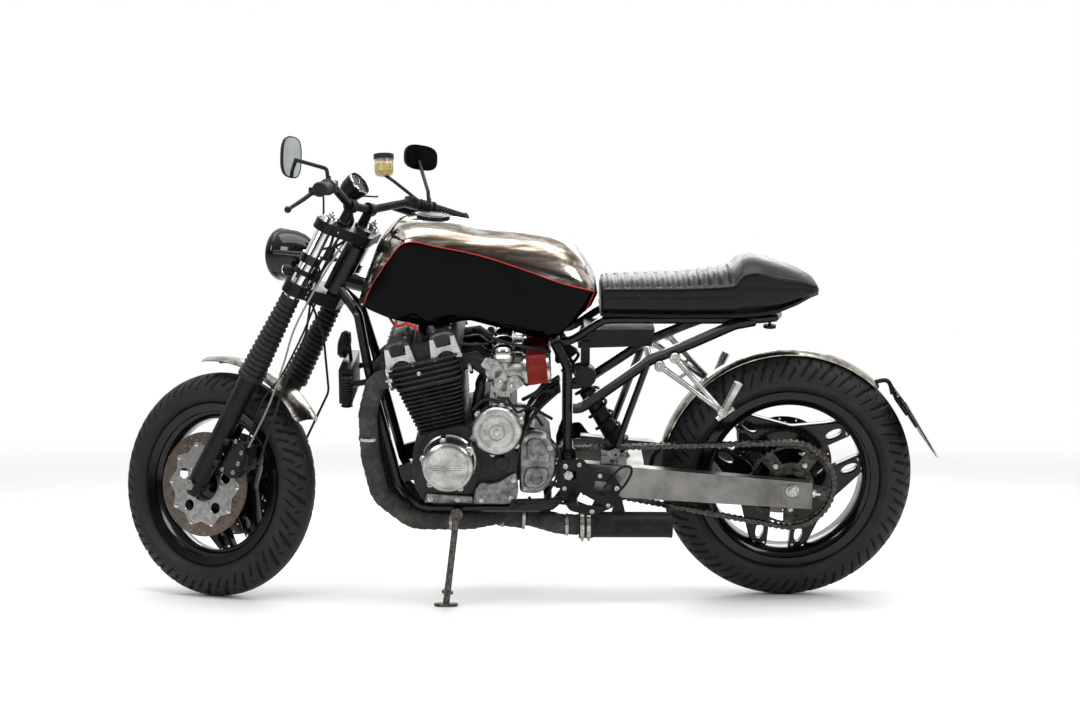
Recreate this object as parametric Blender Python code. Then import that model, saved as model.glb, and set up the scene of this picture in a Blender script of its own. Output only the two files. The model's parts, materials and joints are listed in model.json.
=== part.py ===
"""Cafe racer motorcycle with an air-cooled four-cylinder engine, parked on its side stand.

Everything is modelled upright, in the motorcycle's own frame: x runs rearward from
the front axle, y to the rider's right and z up from the ground. The steering, the
wheels and the stand hang on empties on their axes. At the end the steering is turned
to where it is parked and the whole motorcycle is leaned over onto its stand.
"""

from math import acos, atan2, cos, pi, radians, sin, sqrt, tan

import bmesh
import bpy
import numpy as np
from mathutils import Matrix, Vector

# Stance and steering
FRONT_AXLE_Z = 0.302
REAR_AXLE_Z = 0.336
LEAN_angle = radians(12.19)
STEER_angle = radians(32.0)
RAKE_angle = radians(27.5)
FORK_OFFSET = 0.045
FORK_SPREAD = 0.100

# Gaps between pieces
SEAT_GAP = 0.0003
RUNNING_GAP = 0.0010
OVERRUN = 0.001

# Wheels: overall radius, height of the tyre's side, its width, rim width inside, hub half width
FRONT_TYRE_RADIUS = 0.302
FRONT_TYRE_SIDE = 0.0988
FRONT_TYRE_WIDTH = 0.112
FRONT_BEAD_RADIUS = FRONT_TYRE_RADIUS - FRONT_TYRE_SIDE
FRONT_RIM_WIDTH = 0.064
FRONT_HUB_HALF = 0.052
REAR_TYRE_RADIUS = 0.336
REAR_TYRE_SIDE = 0.1074
REAR_TYRE_WIDTH = 0.142
REAR_BEAD_RADIUS = REAR_TYRE_RADIUS - REAR_TYRE_SIDE
REAR_RIM_WIDTH = 0.100
REAR_HUB_HALF = 0.068
RIM_FLANGE_HEIGHT = 0.0145
RIM_FLANGE_WALL = 0.007
RIM_WELL_DEPTH = 0.018
RIM_WELL_SHELF = 0.012
RIM_WELL_STEP = 0.0192
RIM_WALL = 0.008
HUB_RADIUS = 0.070
SPOKE_THICKNESS = 0.030
SPOKE_ROOT_DEPTH = 0.013
AXLE_RADIUS = 0.010
WHEEL_SIDES = 32
TYRE_STEPS = 3

# The three bent spokes of a wheel, as shares of the radius inside its rim
SPOKE_COUNT = 3
SPOKE_DIP_share = 0.68
SPOKE_OUTER_share = 0.375
SPOKE_GAP_share = 0.145
SPOKE_CROTCH_share = 0.47
SPOKE_HOLE_share = 0.062
FRONT_SPOKE_angle = radians(60)
REAR_SPOKE_angle = radians(25)

# Brake discs: their radius is a share of the bead's, and their inner edge a share of their own
FRONT_DISC_share = 0.689
REAR_DISC_share = 0.6037
DISC_INNER_share = 0.745
FRONT_DISC_RADIUS = FRONT_DISC_share * FRONT_BEAD_RADIUS
FRONT_DISC_INNER = DISC_INNER_share * FRONT_DISC_RADIUS
FRONT_DISC_Y = 0.066
REAR_DISC_RADIUS = REAR_DISC_share * REAR_BEAD_RADIUS
REAR_DISC_INNER = DISC_INNER_share * REAR_DISC_RADIUS
REAR_DISC_Y = 0.090
REAR_CALIPER_share = 0.871
CALIPER_SLOT_DEEPER = 0.004
DISC_THICKNESS = 0.005
DISC_LOBES = 10
DISC_LOBE_share = 0.125
DISC_BOSS_share = 0.85

# Final drive
CHAIN_PITCH = 0.015875
CHAIN_Y = 0.0975
CHAIN_HALF_WIDTH = 0.0105
CHAIN_PLATE = 0.0045
CHAIN_HEIGHT = 0.015
REAR_TEETH = 46
FRONT_TEETH = 17
SPROCKET_THICKNESS = 0.006
SPROCKET_INNER = 0.055
SPROCKET_HOLES = 5
FRONT_SPROCKET_X = 0.865
FRONT_SPROCKET_Z = 0.390

# Fork, measured along its legs from the front axle
TUBE_RADIUS = 0.0195
SLIDER_RADIUS = 0.0265
SLIDER_FOOT = 0.030
SLIDER_TOP = 0.330
GAITER_BOTTOM = 0.3303
GAITER_TOP = 0.577
GAITER_LOW_RADIUS = 0.0350
GAITER_HIGH_RADIUS = 0.0255
GAITER_PLEATS = 9
GAITER_SIDES = 10
GAITER_PLEAT_DEPTH = 0.0045
LOWER_CLAMP_AT = 0.585
UPPER_CLAMP_AT = 0.772
LOWER_CLAMP_HEIGHT = 0.034
UPPER_CLAMP_HEIGHT = 0.028
TUBE_TOP = 0.812
CALIPER_AT_share = 0.843
CALIPER_LUG_DOWN_share = 0.236
CALIPER_LUG_UP_share = 0.229
CALIPER_FRONT = 0.038
CALIPER_DEPTH = 0.054
CALIPER_AT = CALIPER_AT_share * FRONT_DISC_RADIUS
CLAMP_WALL = 0.012
STEM_RADIUS = 0.014
STEM_NUT_RADIUS = 0.019
STEM_NUT_HEIGHT = 0.012

# Frame tubes
PIVOT_X = 0.948
PIVOT_Z = 0.387
HEAD_TUBE_RADIUS = 0.028
HEAD_TUBE_LENGTH = 0.135
BACKBONE_RADIUS = 0.021
BACKBONE_REAR_X = PIVOT_X - 0.036
BACKBONE_REAR_Z = 0.722
BACKBONE_DROP = 0.030
CRADLE_RADIUS = 0.0128
CRADLE_SPREAD = 0.103
RAIL_SPREAD = 0.140
RAIL_Z = 0.287
LUG_TOP_Z = 0.3447
UPRIGHT_X = PIVOT_X - 0.002
UPRIGHT_SPREAD = 0.126
UPRIGHT_TOP_share = 0.9
RAIL_CROSS_X = PIVOT_X - 0.053
TUBE_SIDES = 8
TUBE_FLAT_share = cos(pi / TUBE_SIDES)
SUBFRAME_RADIUS = 0.014
DIAGONAL_X = UPRIGHT_X + 0.212
DIAGONAL_Z = 0.678
STRUT_FOOT_X = UPRIGHT_X + 0.1146
STRUT_FOOT_Z = 0.4085
STRUT_RADIUS = 0.0095
CROSS_TUBE_RADIUS = 0.009
SUBFRAME_SPREAD = 0.112
SEAT_RAIL_SPREAD = 0.080
SEAT_PAN = 0.010
SEAT_RAIL_RADIUS = 0.011
SEAT_RAIL_Z = 0.800 - SEAT_PAN - 2 * SEAT_GAP - SEAT_RAIL_RADIUS * TUBE_FLAT_share

# Swingarm: its length from the pivot to the rear axle, its two box arms and its cross beam
SWINGARM_LENGTH = 0.5873
WHEELBASE = PIVOT_X + SWINGARM_LENGTH
ARM_Y = 0.130
ARM_WALL = 0.030
ARM_FRONT_HEIGHT = 0.088
ARM_REAR_HEIGHT = 0.071
ARM_NOSE = 0.037
ARM_TAIL = 0.0527
ARM_FRONT_DROP = 0.021
ARM_END_DROP = 0.016
ARM_FRONT_X = PIVOT_X + ARM_NOSE
ARM_END_X = WHEELBASE + ARM_TAIL
ARM_FRONT_Z = PIVOT_Z - ARM_FRONT_DROP
ARM_END_Z = REAR_AXLE_Z - ARM_END_DROP
BEAM_TO_TYRE = 0.0493
BEAM_DEPTH = 0.075
BEAM_UNDER_share = 0.86
BEAM_OVER_share = 0.73
BEAM_REAR_X = WHEELBASE - REAR_TYRE_RADIUS - BEAM_TO_TYRE
BEAM_FRONT_X = BEAM_REAR_X - BEAM_DEPTH
SHOCK_FOOT_BACK = 0.023
SHOCK_FOOT_RISE = 0.0381
SHOCK_EYE_DEPTH = 0.030
SHOCK_EYE_RADIUS = 0.012
SHOCK_COILS = 5
SHOCK_COIL_RADIUS = 0.034
SHOCK_BODY_RADIUS = 0.024

# Engine
CRANK_X = 0.638
CRANK_Z = 0.428
CASE_HALF_WIDTH = 0.170
CASE_REAR_X = 0.811
CYLINDER_TILT_angle = radians(13)
BLOCK_HALF_WIDTH = 0.205
BLOCK_START = 0.078
BLOCK_HEIGHT = 0.134
BLOCK_DEPTH = 0.172
BLOCK_FOOT_DEPTH = 0.125
BLOCK_FOOT_HALF_WIDTH = 0.168
FIN_COUNT = 9
FIN_DEPTH = 0.016
FIN_FILL_share = 0.36
HEAD_HEIGHT = 0.062
HEAD_DEPTH = 0.185
HEAD_FINS = 4
PORT_share = 0.46
CAM_SPACING = 0.118
CAM_RADIUS = 0.036
CAM_RISE = 0.298
CAM_HALF_LENGTH = 0.188
COVER_RADIUS = 0.066
COVER_DEPTH = 0.085
GENERATOR_X = 0.763
GENERATOR_Z = 0.509
GENERATOR_RADIUS = 0.063

# Exhaust
PORT_Y = (-0.155, -0.052, 0.052, 0.155)
PIPE_RADIUS = 0.0245
PIPE_RUN_Z = 0.2465
COLLECTOR_X = 0.800
COLLECTOR_RADIUS = 0.034
TAIL_RADIUS = 0.0265
SILENCER_FRONT = 0.976
SILENCER_REAR = 1.222
SILENCER_RADIUS = 0.034
SILENCER_Y = -0.150
SILENCER_Z = 0.243

# Side stand
STAND_PIVOT = (0.658, -0.196, 0.286)
STAND_FOOT_X = 0.6296
STAND_FOOT_Y = -0.2360
STAND_LEG_RADIUS = 0.009
STAND_FOOT_LENGTH = 0.062
STAND_FOOT_WIDTH = 0.034
STAND_FOOT_THICKNESS = 0.008

# Tank, seat and lamps
TANK_TUNNEL_HALF = 0.045
TANK_REAR_Z = 0.742
TANK_TUNNEL_FRONT_Z = 0.884
TANK_TUNNEL_REAR_Z = 0.832
FILLER_RADIUS = 0.044
FILLER_HEIGHT = 0.007
FILLER_X = 0.595
HEADLAMP_RADIUS = 0.071
HEADLAMP_DEPTH = 0.115
HEADLAMP_X = 0.150
HEADLAMP_Z = 0.930
GAUGE_RADIUS = 0.034
GAUGE_DEPTH = 0.052
BAR_RADIUS = 0.011
GRIP_RADIUS = 0.0165
GRIP_LENGTH = 0.108
LEVER_LENGTH = 0.155
STAY_RADIUS = 0.006
STEM_BAR_RADIUS = 0.005
RESERVOIR_RADIUS = 0.026
RESERVOIR_HEIGHT = 0.060
HORN_RADIUS = 0.038
FOOTREST_SPREAD = 0.168
FOOTREST_END = 0.262
FOOTREST_TOP_Z = 0.434
FOOTREST_Z = 0.325
FOOTREST_TOE_X = 0.805
REAR_GUARD_CLEAR = 0.009
REAR_GUARD_CROWN = 0.0085
REAR_GUARD_HALF = 0.033
REAR_GUARD_SHEET = 0.0025
REAR_GUARD_FRONT_angle = radians(166)
REAR_GUARD_END_angle = radians(46)
GUARD_STAY_RADIUS = 0.006
FRONT_GUARD_CLEAR = 0.040
FRONT_GUARD_HALF = 0.056
FRONT_GUARD_SHEET = 0.0022
FRONT_GUARD_FRONT_angle = radians(100)
FRONT_GUARD_END_angle = radians(34)
PLATE_angle = radians(38.59)
PLATE_CLEAR = 0.0359
PLATE_WIDTH = 0.229
PLATE_HEIGHT = 0.178
PLATE_THICKNESS = 0.003

FORK_LINE = Vector((sin(RAKE_angle), 0, cos(RAKE_angle)))
FORK_BACK = Vector((cos(RAKE_angle), 0, -sin(RAKE_angle)))
FRONT_AXLE = Vector((0, 0, FRONT_AXLE_Z))
REAR_AXLE = Vector((WHEELBASE, 0, REAR_AXLE_Z))
STEERING_POINT = FRONT_AXLE + FORK_OFFSET * FORK_BACK
PLATE_WAY = Vector((cos(PLATE_angle), 0, sin(PLATE_angle)))
PLATE_TOP = REAR_AXLE + (REAR_TYRE_RADIUS + PLATE_CLEAR) * PLATE_WAY
PLATE_DOWN = Vector((0.094, 0, -0.152)).normalized()
PLATE_OUT = Vector((0, 1, 0)).cross(PLATE_DOWN).normalized() * -1

for thing in list(bpy.data.objects):
    bpy.data.objects.remove(thing, do_unlink=True)


def material(name, colour, roughness, metallic):
    made = bpy.data.materials.new(name)
    made.use_nodes = True
    shader = made.node_tree.nodes["Principled BSDF"]
    shader.inputs["Base Color"].default_value = (*colour, 1)
    shader.inputs["Roughness"].default_value = roughness
    shader.inputs["Metallic"].default_value = metallic
    made.diffuse_color = (*colour, 1)
    return made


BLACK_GLOSS = ("black gloss paint", (0.012, 0.012, 0.014), 0.15, 0.0)
BLACK_SATIN = ("black satin paint", (0.020, 0.020, 0.022), 0.45, 0.0)
BLACK_PLASTIC = ("black plastic", (0.025, 0.025, 0.025), 0.55, 0.0)
ALUMINIUM = ("aluminium", (0.60, 0.60, 0.61), 0.35, 1.0)
POLISHED = ("polished aluminium", (0.80, 0.79, 0.78), 0.10, 1.0)
CHROME = ("chrome", (0.80, 0.80, 0.82), 0.06, 1.0)
STEEL = ("bright steel", (0.50, 0.50, 0.50), 0.30, 1.0)
RUBBER = ("rubber", (0.020, 0.020, 0.020), 0.80, 0.0)
LEATHER = ("black leather", (0.018, 0.018, 0.018), 0.50, 0.0)
WRAP = ("exhaust wrap", (0.055, 0.048, 0.042), 0.90, 0.0)
CHAIN_STEEL = ("chain steel", (0.10, 0.085, 0.07), 0.50, 0.8)
DISC_STEEL = ("brake disc steel", (0.22, 0.19, 0.17), 0.35, 1.0)
PLATE_WHITE = ("plate", (0.75, 0.75, 0.72), 0.40, 0.0)
AMBER_FLUID = ("reservoir", (0.75, 0.68, 0.35), 0.20, 0.0)


def smooth(mesh):
    mesh.shade_smooth()
    mesh.set_sharp_from_angle(angle=radians(35))


def mesh_of(shell, name="shell"):
    """A mesh from (points, faces) with its faces pointing out."""
    points, faces = shell
    mesh = bpy.data.meshes.new(name)
    mesh.from_pydata([tuple(point) for point in points], [], faces)
    work = bmesh.new()
    work.from_mesh(mesh)
    bmesh.ops.recalc_face_normals(work, faces=work.faces)
    work.to_mesh(mesh)
    work.free()
    return mesh


def make(name, finish, base, adds=(), cuts=()):
    """One named object: a base shell, with shells joined to it and shells cut from it."""
    helpers = []

    def helper(shell):
        obj = bpy.data.objects.new(name + "_tool", mesh_of(shell))
        bpy.context.scene.collection.objects.link(obj)
        helpers.append(obj)
        return obj

    target = helper(base)
    for operation, shells in (("UNION", adds), ("DIFFERENCE", cuts)):
        for shell in shells:
            step = target.modifiers.new(operation.lower(), "BOOLEAN")
            step.operation = operation
            step.solver = "EXACT"
            step.object = helper(shell)
    graph = bpy.context.evaluated_depsgraph_get()
    mesh = bpy.data.meshes.new_from_object(target.evaluated_get(graph))
    for obj in helpers:
        bpy.data.objects.remove(obj, do_unlink=True)
    mesh.name = name
    if finish[0] in bpy.data.materials:
        paint = bpy.data.materials[finish[0]]
    else:
        paint = material(*finish)
    mesh.materials.clear()
    mesh.materials.append(paint)
    smooth(mesh)
    obj = bpy.data.objects.new(name, mesh)
    bpy.context.scene.collection.objects.link(obj)
    return obj


def rings_to_shell(rings, around=False):
    """Joins rings of equally many points. The ends are capped, or joined to each other."""
    count = len(rings[0])
    points = [Vector(point) for ring in rings for point in ring]
    faces = []
    steps = len(rings) if around else len(rings) - 1
    for row in range(steps):
        first, second = row * count, (row + 1) % len(rings) * count
        for side in range(count):
            after = (side + 1) % count
            faces.append((first + side, first + after, second + after, second + side))
    if not around:
        faces.append(tuple(range(count)))
        faces.append(tuple(range((len(rings) - 1) * count, len(rings) * count)))
    return points, faces


def lathe(profile, sides, origin=(0, 0, 0), axis=(0, 0, 1), ring=False, phase=0.0):
    """Turns a profile of (radius, height) about an axis. A ring's profile is closed."""
    turn = Vector((0, 0, 1)).rotation_difference(Vector(axis)).to_matrix().to_4x4()
    place = Matrix.Translation(Vector(origin)) @ turn
    angles = [phase + 2 * pi * step / sides for step in range(sides)]
    rings = []
    for radius, height in profile:
        ring_points = [(radius * cos(a), radius * sin(a), height) for a in angles]
        rings.append([place @ Vector(point) for point in ring_points])
    return rings_to_shell(rings, around=ring)


def rod(start, end, radius, sides=12, end_radius=None):
    start, end = Vector(start), Vector(end)
    last = radius if end_radius is None else end_radius
    return lathe([(radius, 0), (last, (end - start).length)], sides, start, end - start)


def bore(start, end, radius, sides=12):
    """A cutter whose flats clear a round piece of this radius by the seat gap."""
    return rod(start, end, (radius + SEAT_GAP) / cos(pi / sides), sides)


def prism(outline, low, high):
    """An outline of (x, z) drawn out along y."""
    rings = [[(x, y, z) for x, z in outline] for y in (low, high)]
    return rings_to_shell(rings)


def block(low, high):
    (x0, y0, z0), (x1, y1, z1) = low, high
    return prism([(x0, z0), (x1, z0), (x1, z1), (x0, z1)], y0, y1)


def bent(corners, bend, steps=4):
    """A path with its corners rounded by arcs of the bend radius, where there is room."""
    corners = [Vector(corner) for corner in corners]
    path = [corners[0]]
    for before, corner, after in zip(corners, corners[1:], corners[2:]):
        inward, onward = (before - corner), (after - corner)
        angle = inward.angle(onward)
        reach = min(bend / tan(angle / 2), 0.49 * inward.length, 0.49 * onward.length)
        start = corner + inward.normalized() * reach
        end = corner + onward.normalized() * reach
        for step in range(steps + 1):
            along = step / steps
            first = start.lerp(corner, along)
            second = corner.lerp(end, along)
            path.append(first.lerp(second, along))
    path.append(corners[-1])
    return path


def sweep(path, section, up=(0, 1, 0), closed=False, scales=None):
    """Carries a section of (across, up) along a path, with up kept as near as can be."""
    path = [Vector(point) for point in path]
    rings = []
    for index, point in enumerate(path):
        if closed:
            ahead, behind = path[(index + 1) % len(path)], path[index - 1]
        else:
            ahead = path[min(index + 1, len(path) - 1)]
            behind = path[max(index - 1, 0)]
        tangent = (ahead - behind).normalized()
        across = tangent.cross(Vector(up)).normalized()
        above = across.cross(tangent)
        size = scales[index] if scales else 1
        rings.append([point + size * (across * a + above * b) for a, b in section])
    return rings_to_shell(rings, around=closed)


def circle(radius, sides=10):
    angles = [2 * pi * (step + 0.5) / sides for step in range(sides)]
    return [(radius * cos(a), radius * sin(a)) for a in angles]


def tube(corners, radius, bend=0.0, sides=10, up=(0, 1, 0), steps=4, scales=None):
    path = bent(corners, bend, steps) if bend else [Vector(c) for c in corners]
    return sweep(path, circle(radius, sides), up, scales=scales)


def mirrored(point, side):
    """The point with its y turned to the given side, -1 for left and 1 for right."""
    return (point[0], abs(point[1]) * side, point[2])


def on_leg(along, side=0.0):
    """A point on a fork leg, by its distance from the axle along the leg."""
    return FRONT_AXLE + along * FORK_LINE + Vector((0, side * FORK_SPREAD, 0))


def on_stem(along):
    return STEERING_POINT + along * FORK_LINE


def lowest_of_tyre(centre, axle, radius, crown):
    """How low a leaning tyre reaches: a ring of the crown's radius about the axle."""
    return centre.z - (radius - crown) * sqrt(1 - axle.z * axle.z) - crown


STEERED = (
    Matrix.Translation(STEERING_POINT)
    @ Matrix.Rotation(-STEER_angle, 4, FORK_LINE)
    @ Matrix.Translation(-STEERING_POINT)
)


def stance():
    """The lean, with the pitch and height at which both tyres touch the floor."""
    pitch = 0.0
    for _ in range(6):
        tilt = Matrix.Rotation(pitch, 4, "Y") @ Matrix.Rotation(LEAN_angle, 4, "X")
        front = tilt @ STEERED
        axle = Vector((0, 1, 0))
        low_front = lowest_of_tyre(
            front @ FRONT_AXLE, front.to_3x3() @ axle, FRONT_TYRE_RADIUS, FRONT_TYRE_WIDTH / 2
        )
        low_rear = lowest_of_tyre(
            tilt @ REAR_AXLE, tilt.to_3x3() @ axle, REAR_TYRE_RADIUS, REAR_TYRE_WIDTH / 2
        )
        pitch += atan2(low_rear - low_front, WHEELBASE)
    return Matrix.Translation((0, 0, -low_rear)) @ tilt


STANCE = stance()
empties = {}


def axis_empty(name, origin, axis, parent=None):
    """An empty with its z along a joint's axis. Its rest place is kept for its pieces."""
    turn = Vector((0, 0, 1)).rotation_difference(Vector(axis)).to_matrix().to_4x4()
    empty = bpy.data.objects.new(name, None)
    bpy.context.scene.collection.objects.link(empty)
    rest = Matrix.Translation(Vector(origin)) @ turn
    if parent:
        empty.parent = parent
        empty.matrix_parent_inverse = empties[parent.name].inverted()
    empty.matrix_basis = rest
    empties[name] = rest
    return empty


def hang(empty, *objects):
    for obj in objects:
        obj.parent = empty
        obj.matrix_parent_inverse = empties[empty.name].inverted()


motorcycle = axis_empty("motorcycle_axis", (0, 0, 0), (0, 0, 1))
steering = axis_empty("steering_axis", STEERING_POINT, FORK_LINE, motorcycle)
front_wheel_axis = axis_empty("front_wheel_axis", FRONT_AXLE, (0, 1, 0), steering)
rear_wheel_axis = axis_empty("rear_wheel_axis", REAR_AXLE, (0, 1, 0), motorcycle)


def floor_to_bike(x, y, height):
    """The point of the leaning motorcycle that stands at x, y and a height on the floor."""
    return STANCE.inverted() @ Vector((x, y, height))


def contact_phase(attitude):
    """The turn about its axle that puts one of a tyre's edges exactly on the floor."""
    down = attitude.to_3x3().inverted() @ Vector((0, 0, -1))
    return -atan2(down.z, down.x)


def tyre(name, centre, radius, width, bead, rim_width, phase):
    """A tyre with an edge along its middle and one where it stands when it leans."""
    crown = width / 2
    seat = rim_width / 2 - SEAT_GAP
    bead_corner = (bead + SEAT_GAP) / cos(pi / WHEEL_SIDES)
    flange_top = bead + RIM_FLANGE_HEIGHT
    side = [
        (bead_corner, seat),
        (flange_top + RIM_FLANGE_WALL / 4, seat),
        (flange_top + RIM_FLANGE_WALL, (seat + crown) / 2),
    ]
    shoulder = [(pi / 2 - LEAN_angle) * step / TYRE_STEPS for step in range(TYRE_STEPS + 1)]
    arc = []
    for angle in [*shoulder, pi / 2, *[pi - angle for angle in reversed(shoulder)]]:
        arc.append((radius - crown + crown * sin(angle), crown * cos(angle)))
    profile = side + arc + [(r, -h) for r, h in reversed(side)]
    shell = lathe(profile, WHEEL_SIDES, centre, (0, 1, 0), ring=True, phase=phase)
    return make(name, RUBBER, shell)


def spoke_outline(inside, turn):
    """Half of a bent spoke is drawn from its dip to the rim and back, then mirrored."""
    half_step = pi / SPOKE_COUNT
    along = Vector((cos(half_step), sin(half_step)))
    across = Vector((sin(half_step), -cos(half_step)))
    outer, gap = SPOKE_OUTER_share * inside, SPOKE_GAP_share * inside
    reach = inside + RIM_WALL / 2
    half = [
        Vector((SPOKE_DIP_share * inside, 0)),
        sqrt(reach * reach - outer * outer) * along + outer * across,
        sqrt(reach * reach - gap * gap) * along + gap * across,
        SPOKE_CROTCH_share * inside * along + gap * across,
    ]
    root = [Vector((HUB_RADIUS - SPOKE_ROOT_DEPTH, 0))]
    outline = half + root + [Vector((p.x, -p.y)) for p in reversed(half[1:])]
    spun = Matrix.Rotation(turn, 2)
    return [spun @ point for point in outline]


def wheel(name, centre, bead, rim_width, hub_half, first_angle):
    """A rim, a hub and bent spokes with a hole near each end."""
    half = rim_width / 2
    flange = bead + RIM_FLANGE_HEIGHT
    well = bead - RIM_WELL_DEPTH
    inside = well - RIM_WALL
    rim = [
        (inside, half - RIM_WELL_SHELF),
        (bead - RIM_WALL, half + RIM_FLANGE_WALL / 2),
        (flange, half + RIM_FLANGE_WALL),
        (flange, half),
        (bead, half),
        (well, half - RIM_WELL_STEP),
    ]
    profile = rim + [(r, -h) for r, h in reversed(rim)]
    sideways = (0, 1, 0)
    shells = []
    holes = []
    pair_turn = 2 * pi / SPOKE_COUNT
    for number in range(SPOKE_COUNT):
        turn = first_angle + pair_turn * (number + 0.5)
        outline = [(centre.x + p.x, centre.z + p.y) for p in spoke_outline(inside, turn)]
        shells.append(prism(outline, -SPOKE_THICKNESS / 2, SPOKE_THICKNESS / 2))
        for end in (-1, 1):
            pair = turn + end * pair_turn / 2
            offset = -end * (SPOKE_OUTER_share + SPOKE_GAP_share) / 2 * inside
            reach = 0.84 * inside
            x = reach * cos(pair) - offset * sin(pair)
            z = reach * sin(pair) + offset * cos(pair)
            spot = centre + Vector((x, -SPOKE_THICKNESS, z))
            holes.append(
                rod(spot, spot + Vector((0, 2 * SPOKE_THICKNESS, 0)), SPOKE_HOLE_share * inside, 8)
            )
    hub = lathe(
        [
            (HUB_RADIUS * 0.55, -hub_half),
            (HUB_RADIUS * 0.75, -hub_half * 0.7),
            (HUB_RADIUS, -SPOKE_THICKNESS * 0.62),
            (HUB_RADIUS, SPOKE_THICKNESS * 0.62),
            (HUB_RADIUS * 0.75, hub_half * 0.7),
            (HUB_RADIUS * 0.55, hub_half),
        ],
        24,
        centre,
        sideways,
    )
    axle_bore = bore(
        centre - Vector((0, 2 * hub_half, 0)), centre + Vector((0, 2 * hub_half, 0)), AXLE_RADIUS
    )
    base = lathe(profile, WHEEL_SIDES, centre, sideways, ring=True)
    return make(name, BLACK_GLOSS, base, [*shells, hub], [axle_bore, *holes])


def brake_disc(name, centre, radius, inner, y, hub_half, side):
    """A flat disc on a scalloped carrier that seats on the end of the hub."""
    where = centre + Vector((0, y * side, 0))
    outward = (0, side, 0)
    half = DISC_THICKNESS / 2
    ring = [(inner, -half), (radius, -half), (radius, half), (inner, half)]
    base = lathe(ring, 24, where, outward, ring=True)
    seat = hub_half + SEAT_GAP - y
    deep = DISC_LOBE_share * inner
    outline = []
    points = DISC_LOBES * 3
    for step in range(points):
        angle = 2 * pi * step / points
        reach = inner - deep + deep * cos(DISC_LOBES * angle) + 2 * OVERRUN
        outline.append((where.x + reach * cos(angle), where.z + reach * sin(angle)))
    face = where.y - side * half * 0.8, where.y + side * half * 0.8
    carrier = prism(outline, min(face), max(face))
    wide = DISC_BOSS_share * (inner - 2 * deep)
    boss = lathe([(wide * 0.53, seat), (wide, half / 2)], 14, where, outward)
    depth = Vector((0, 2 * y, 0))
    axle_bore = bore(where - depth, where + depth, AXLE_RADIUS)
    return make(name, DISC_STEEL, base, [carrier, boss], [axle_bore])


def pitch_radius(teeth):
    return CHAIN_PITCH / (2 * sin(pi / teeth))


def sprocket():
    """The rear sprocket, toothed, with lightening holes. It seats on the left of the hub."""
    tip = pitch_radius(REAR_TEETH) - RUNNING_GAP
    depth = 0.007
    outline = []
    for tooth in range(REAR_TEETH):
        for part, height in ((-0.5, -depth), (0, 0)):
            angle = 2 * pi * (tooth + part) / REAR_TEETH
            reach = tip + height
            outline.append((REAR_AXLE.x + reach * cos(angle), REAR_AXLE.z + reach * sin(angle)))
    half = SPROCKET_THICKNESS / 2
    base = prism(outline, -CHAIN_Y - half, -CHAIN_Y + half)
    centre = REAR_AXLE + Vector((0, -CHAIN_Y, 0))
    inward = REAR_HUB_HALF + SEAT_GAP
    boss = rod(
        REAR_AXLE + Vector((0, -CHAIN_Y, 0)), REAR_AXLE + Vector((0, -inward, 0)), SPROCKET_INNER, 14
    )
    cuts = [
        bore(
            REAR_AXLE - Vector((0, CHAIN_Y + half * 4, 0)),
            REAR_AXLE - Vector((0, inward / 2, 0)),
            AXLE_RADIUS,
        )
    ]
    for number in range(SPROCKET_HOLES):
        angle = 2 * pi * number / SPROCKET_HOLES
        spot = centre + 0.082 * Vector((cos(angle), 0, sin(angle)))
        depth_y = Vector((0, 2 * half, 0))
        cuts.append(rod(spot - depth_y, spot + depth_y, 0.018, 7))
    return make("rear_sprocket", STEEL, base, [boss], cuts)


def chain_path():
    """Points round both sprockets, and the outward direction at each."""
    front = Vector((FRONT_SPROCKET_X, -CHAIN_Y, FRONT_SPROCKET_Z))
    rear = Vector((REAR_AXLE.x, -CHAIN_Y, REAR_AXLE.z))
    small, large = pitch_radius(FRONT_TEETH), pitch_radius(REAR_TEETH)
    gap = rear - front
    slope = atan2(gap.z, gap.x)
    flare = acos((small - large) / gap.length)
    path = []
    for centre, radius, start, turn, steps in (
        (rear, large, slope + flare, -2 * flare, 26),
        (front, small, slope - flare, -2 * (pi - flare), 10),
    ):
        for step in range(steps + 1):
            angle = start + turn * step / steps
            away = Vector((cos(angle), 0, sin(angle)))
            path.append((centre + radius * away, away))
    return path


def chain():
    """One closed loop: two rows of plates, joined outside the teeth by the rollers."""
    outer, inner = CHAIN_HALF_WIDTH, CHAIN_HALF_WIDTH - CHAIN_PLATE
    half = CHAIN_HEIGHT / 2
    section = [
        (-outer, -half),
        (-inner, -half),
        (-inner, RUNNING_GAP / 2),
        (inner, RUNNING_GAP / 2),
        (inner, -half),
        (outer, -half),
        (outer, half),
        (-outer, half),
    ]
    rings = []
    for point, away in chain_path():
        rings.append([point + Vector((0, a, 0)) + away * b for a, b in section])
    return make("chain", CHAIN_STEEL, rings_to_shell(rings, around=True))


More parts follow.
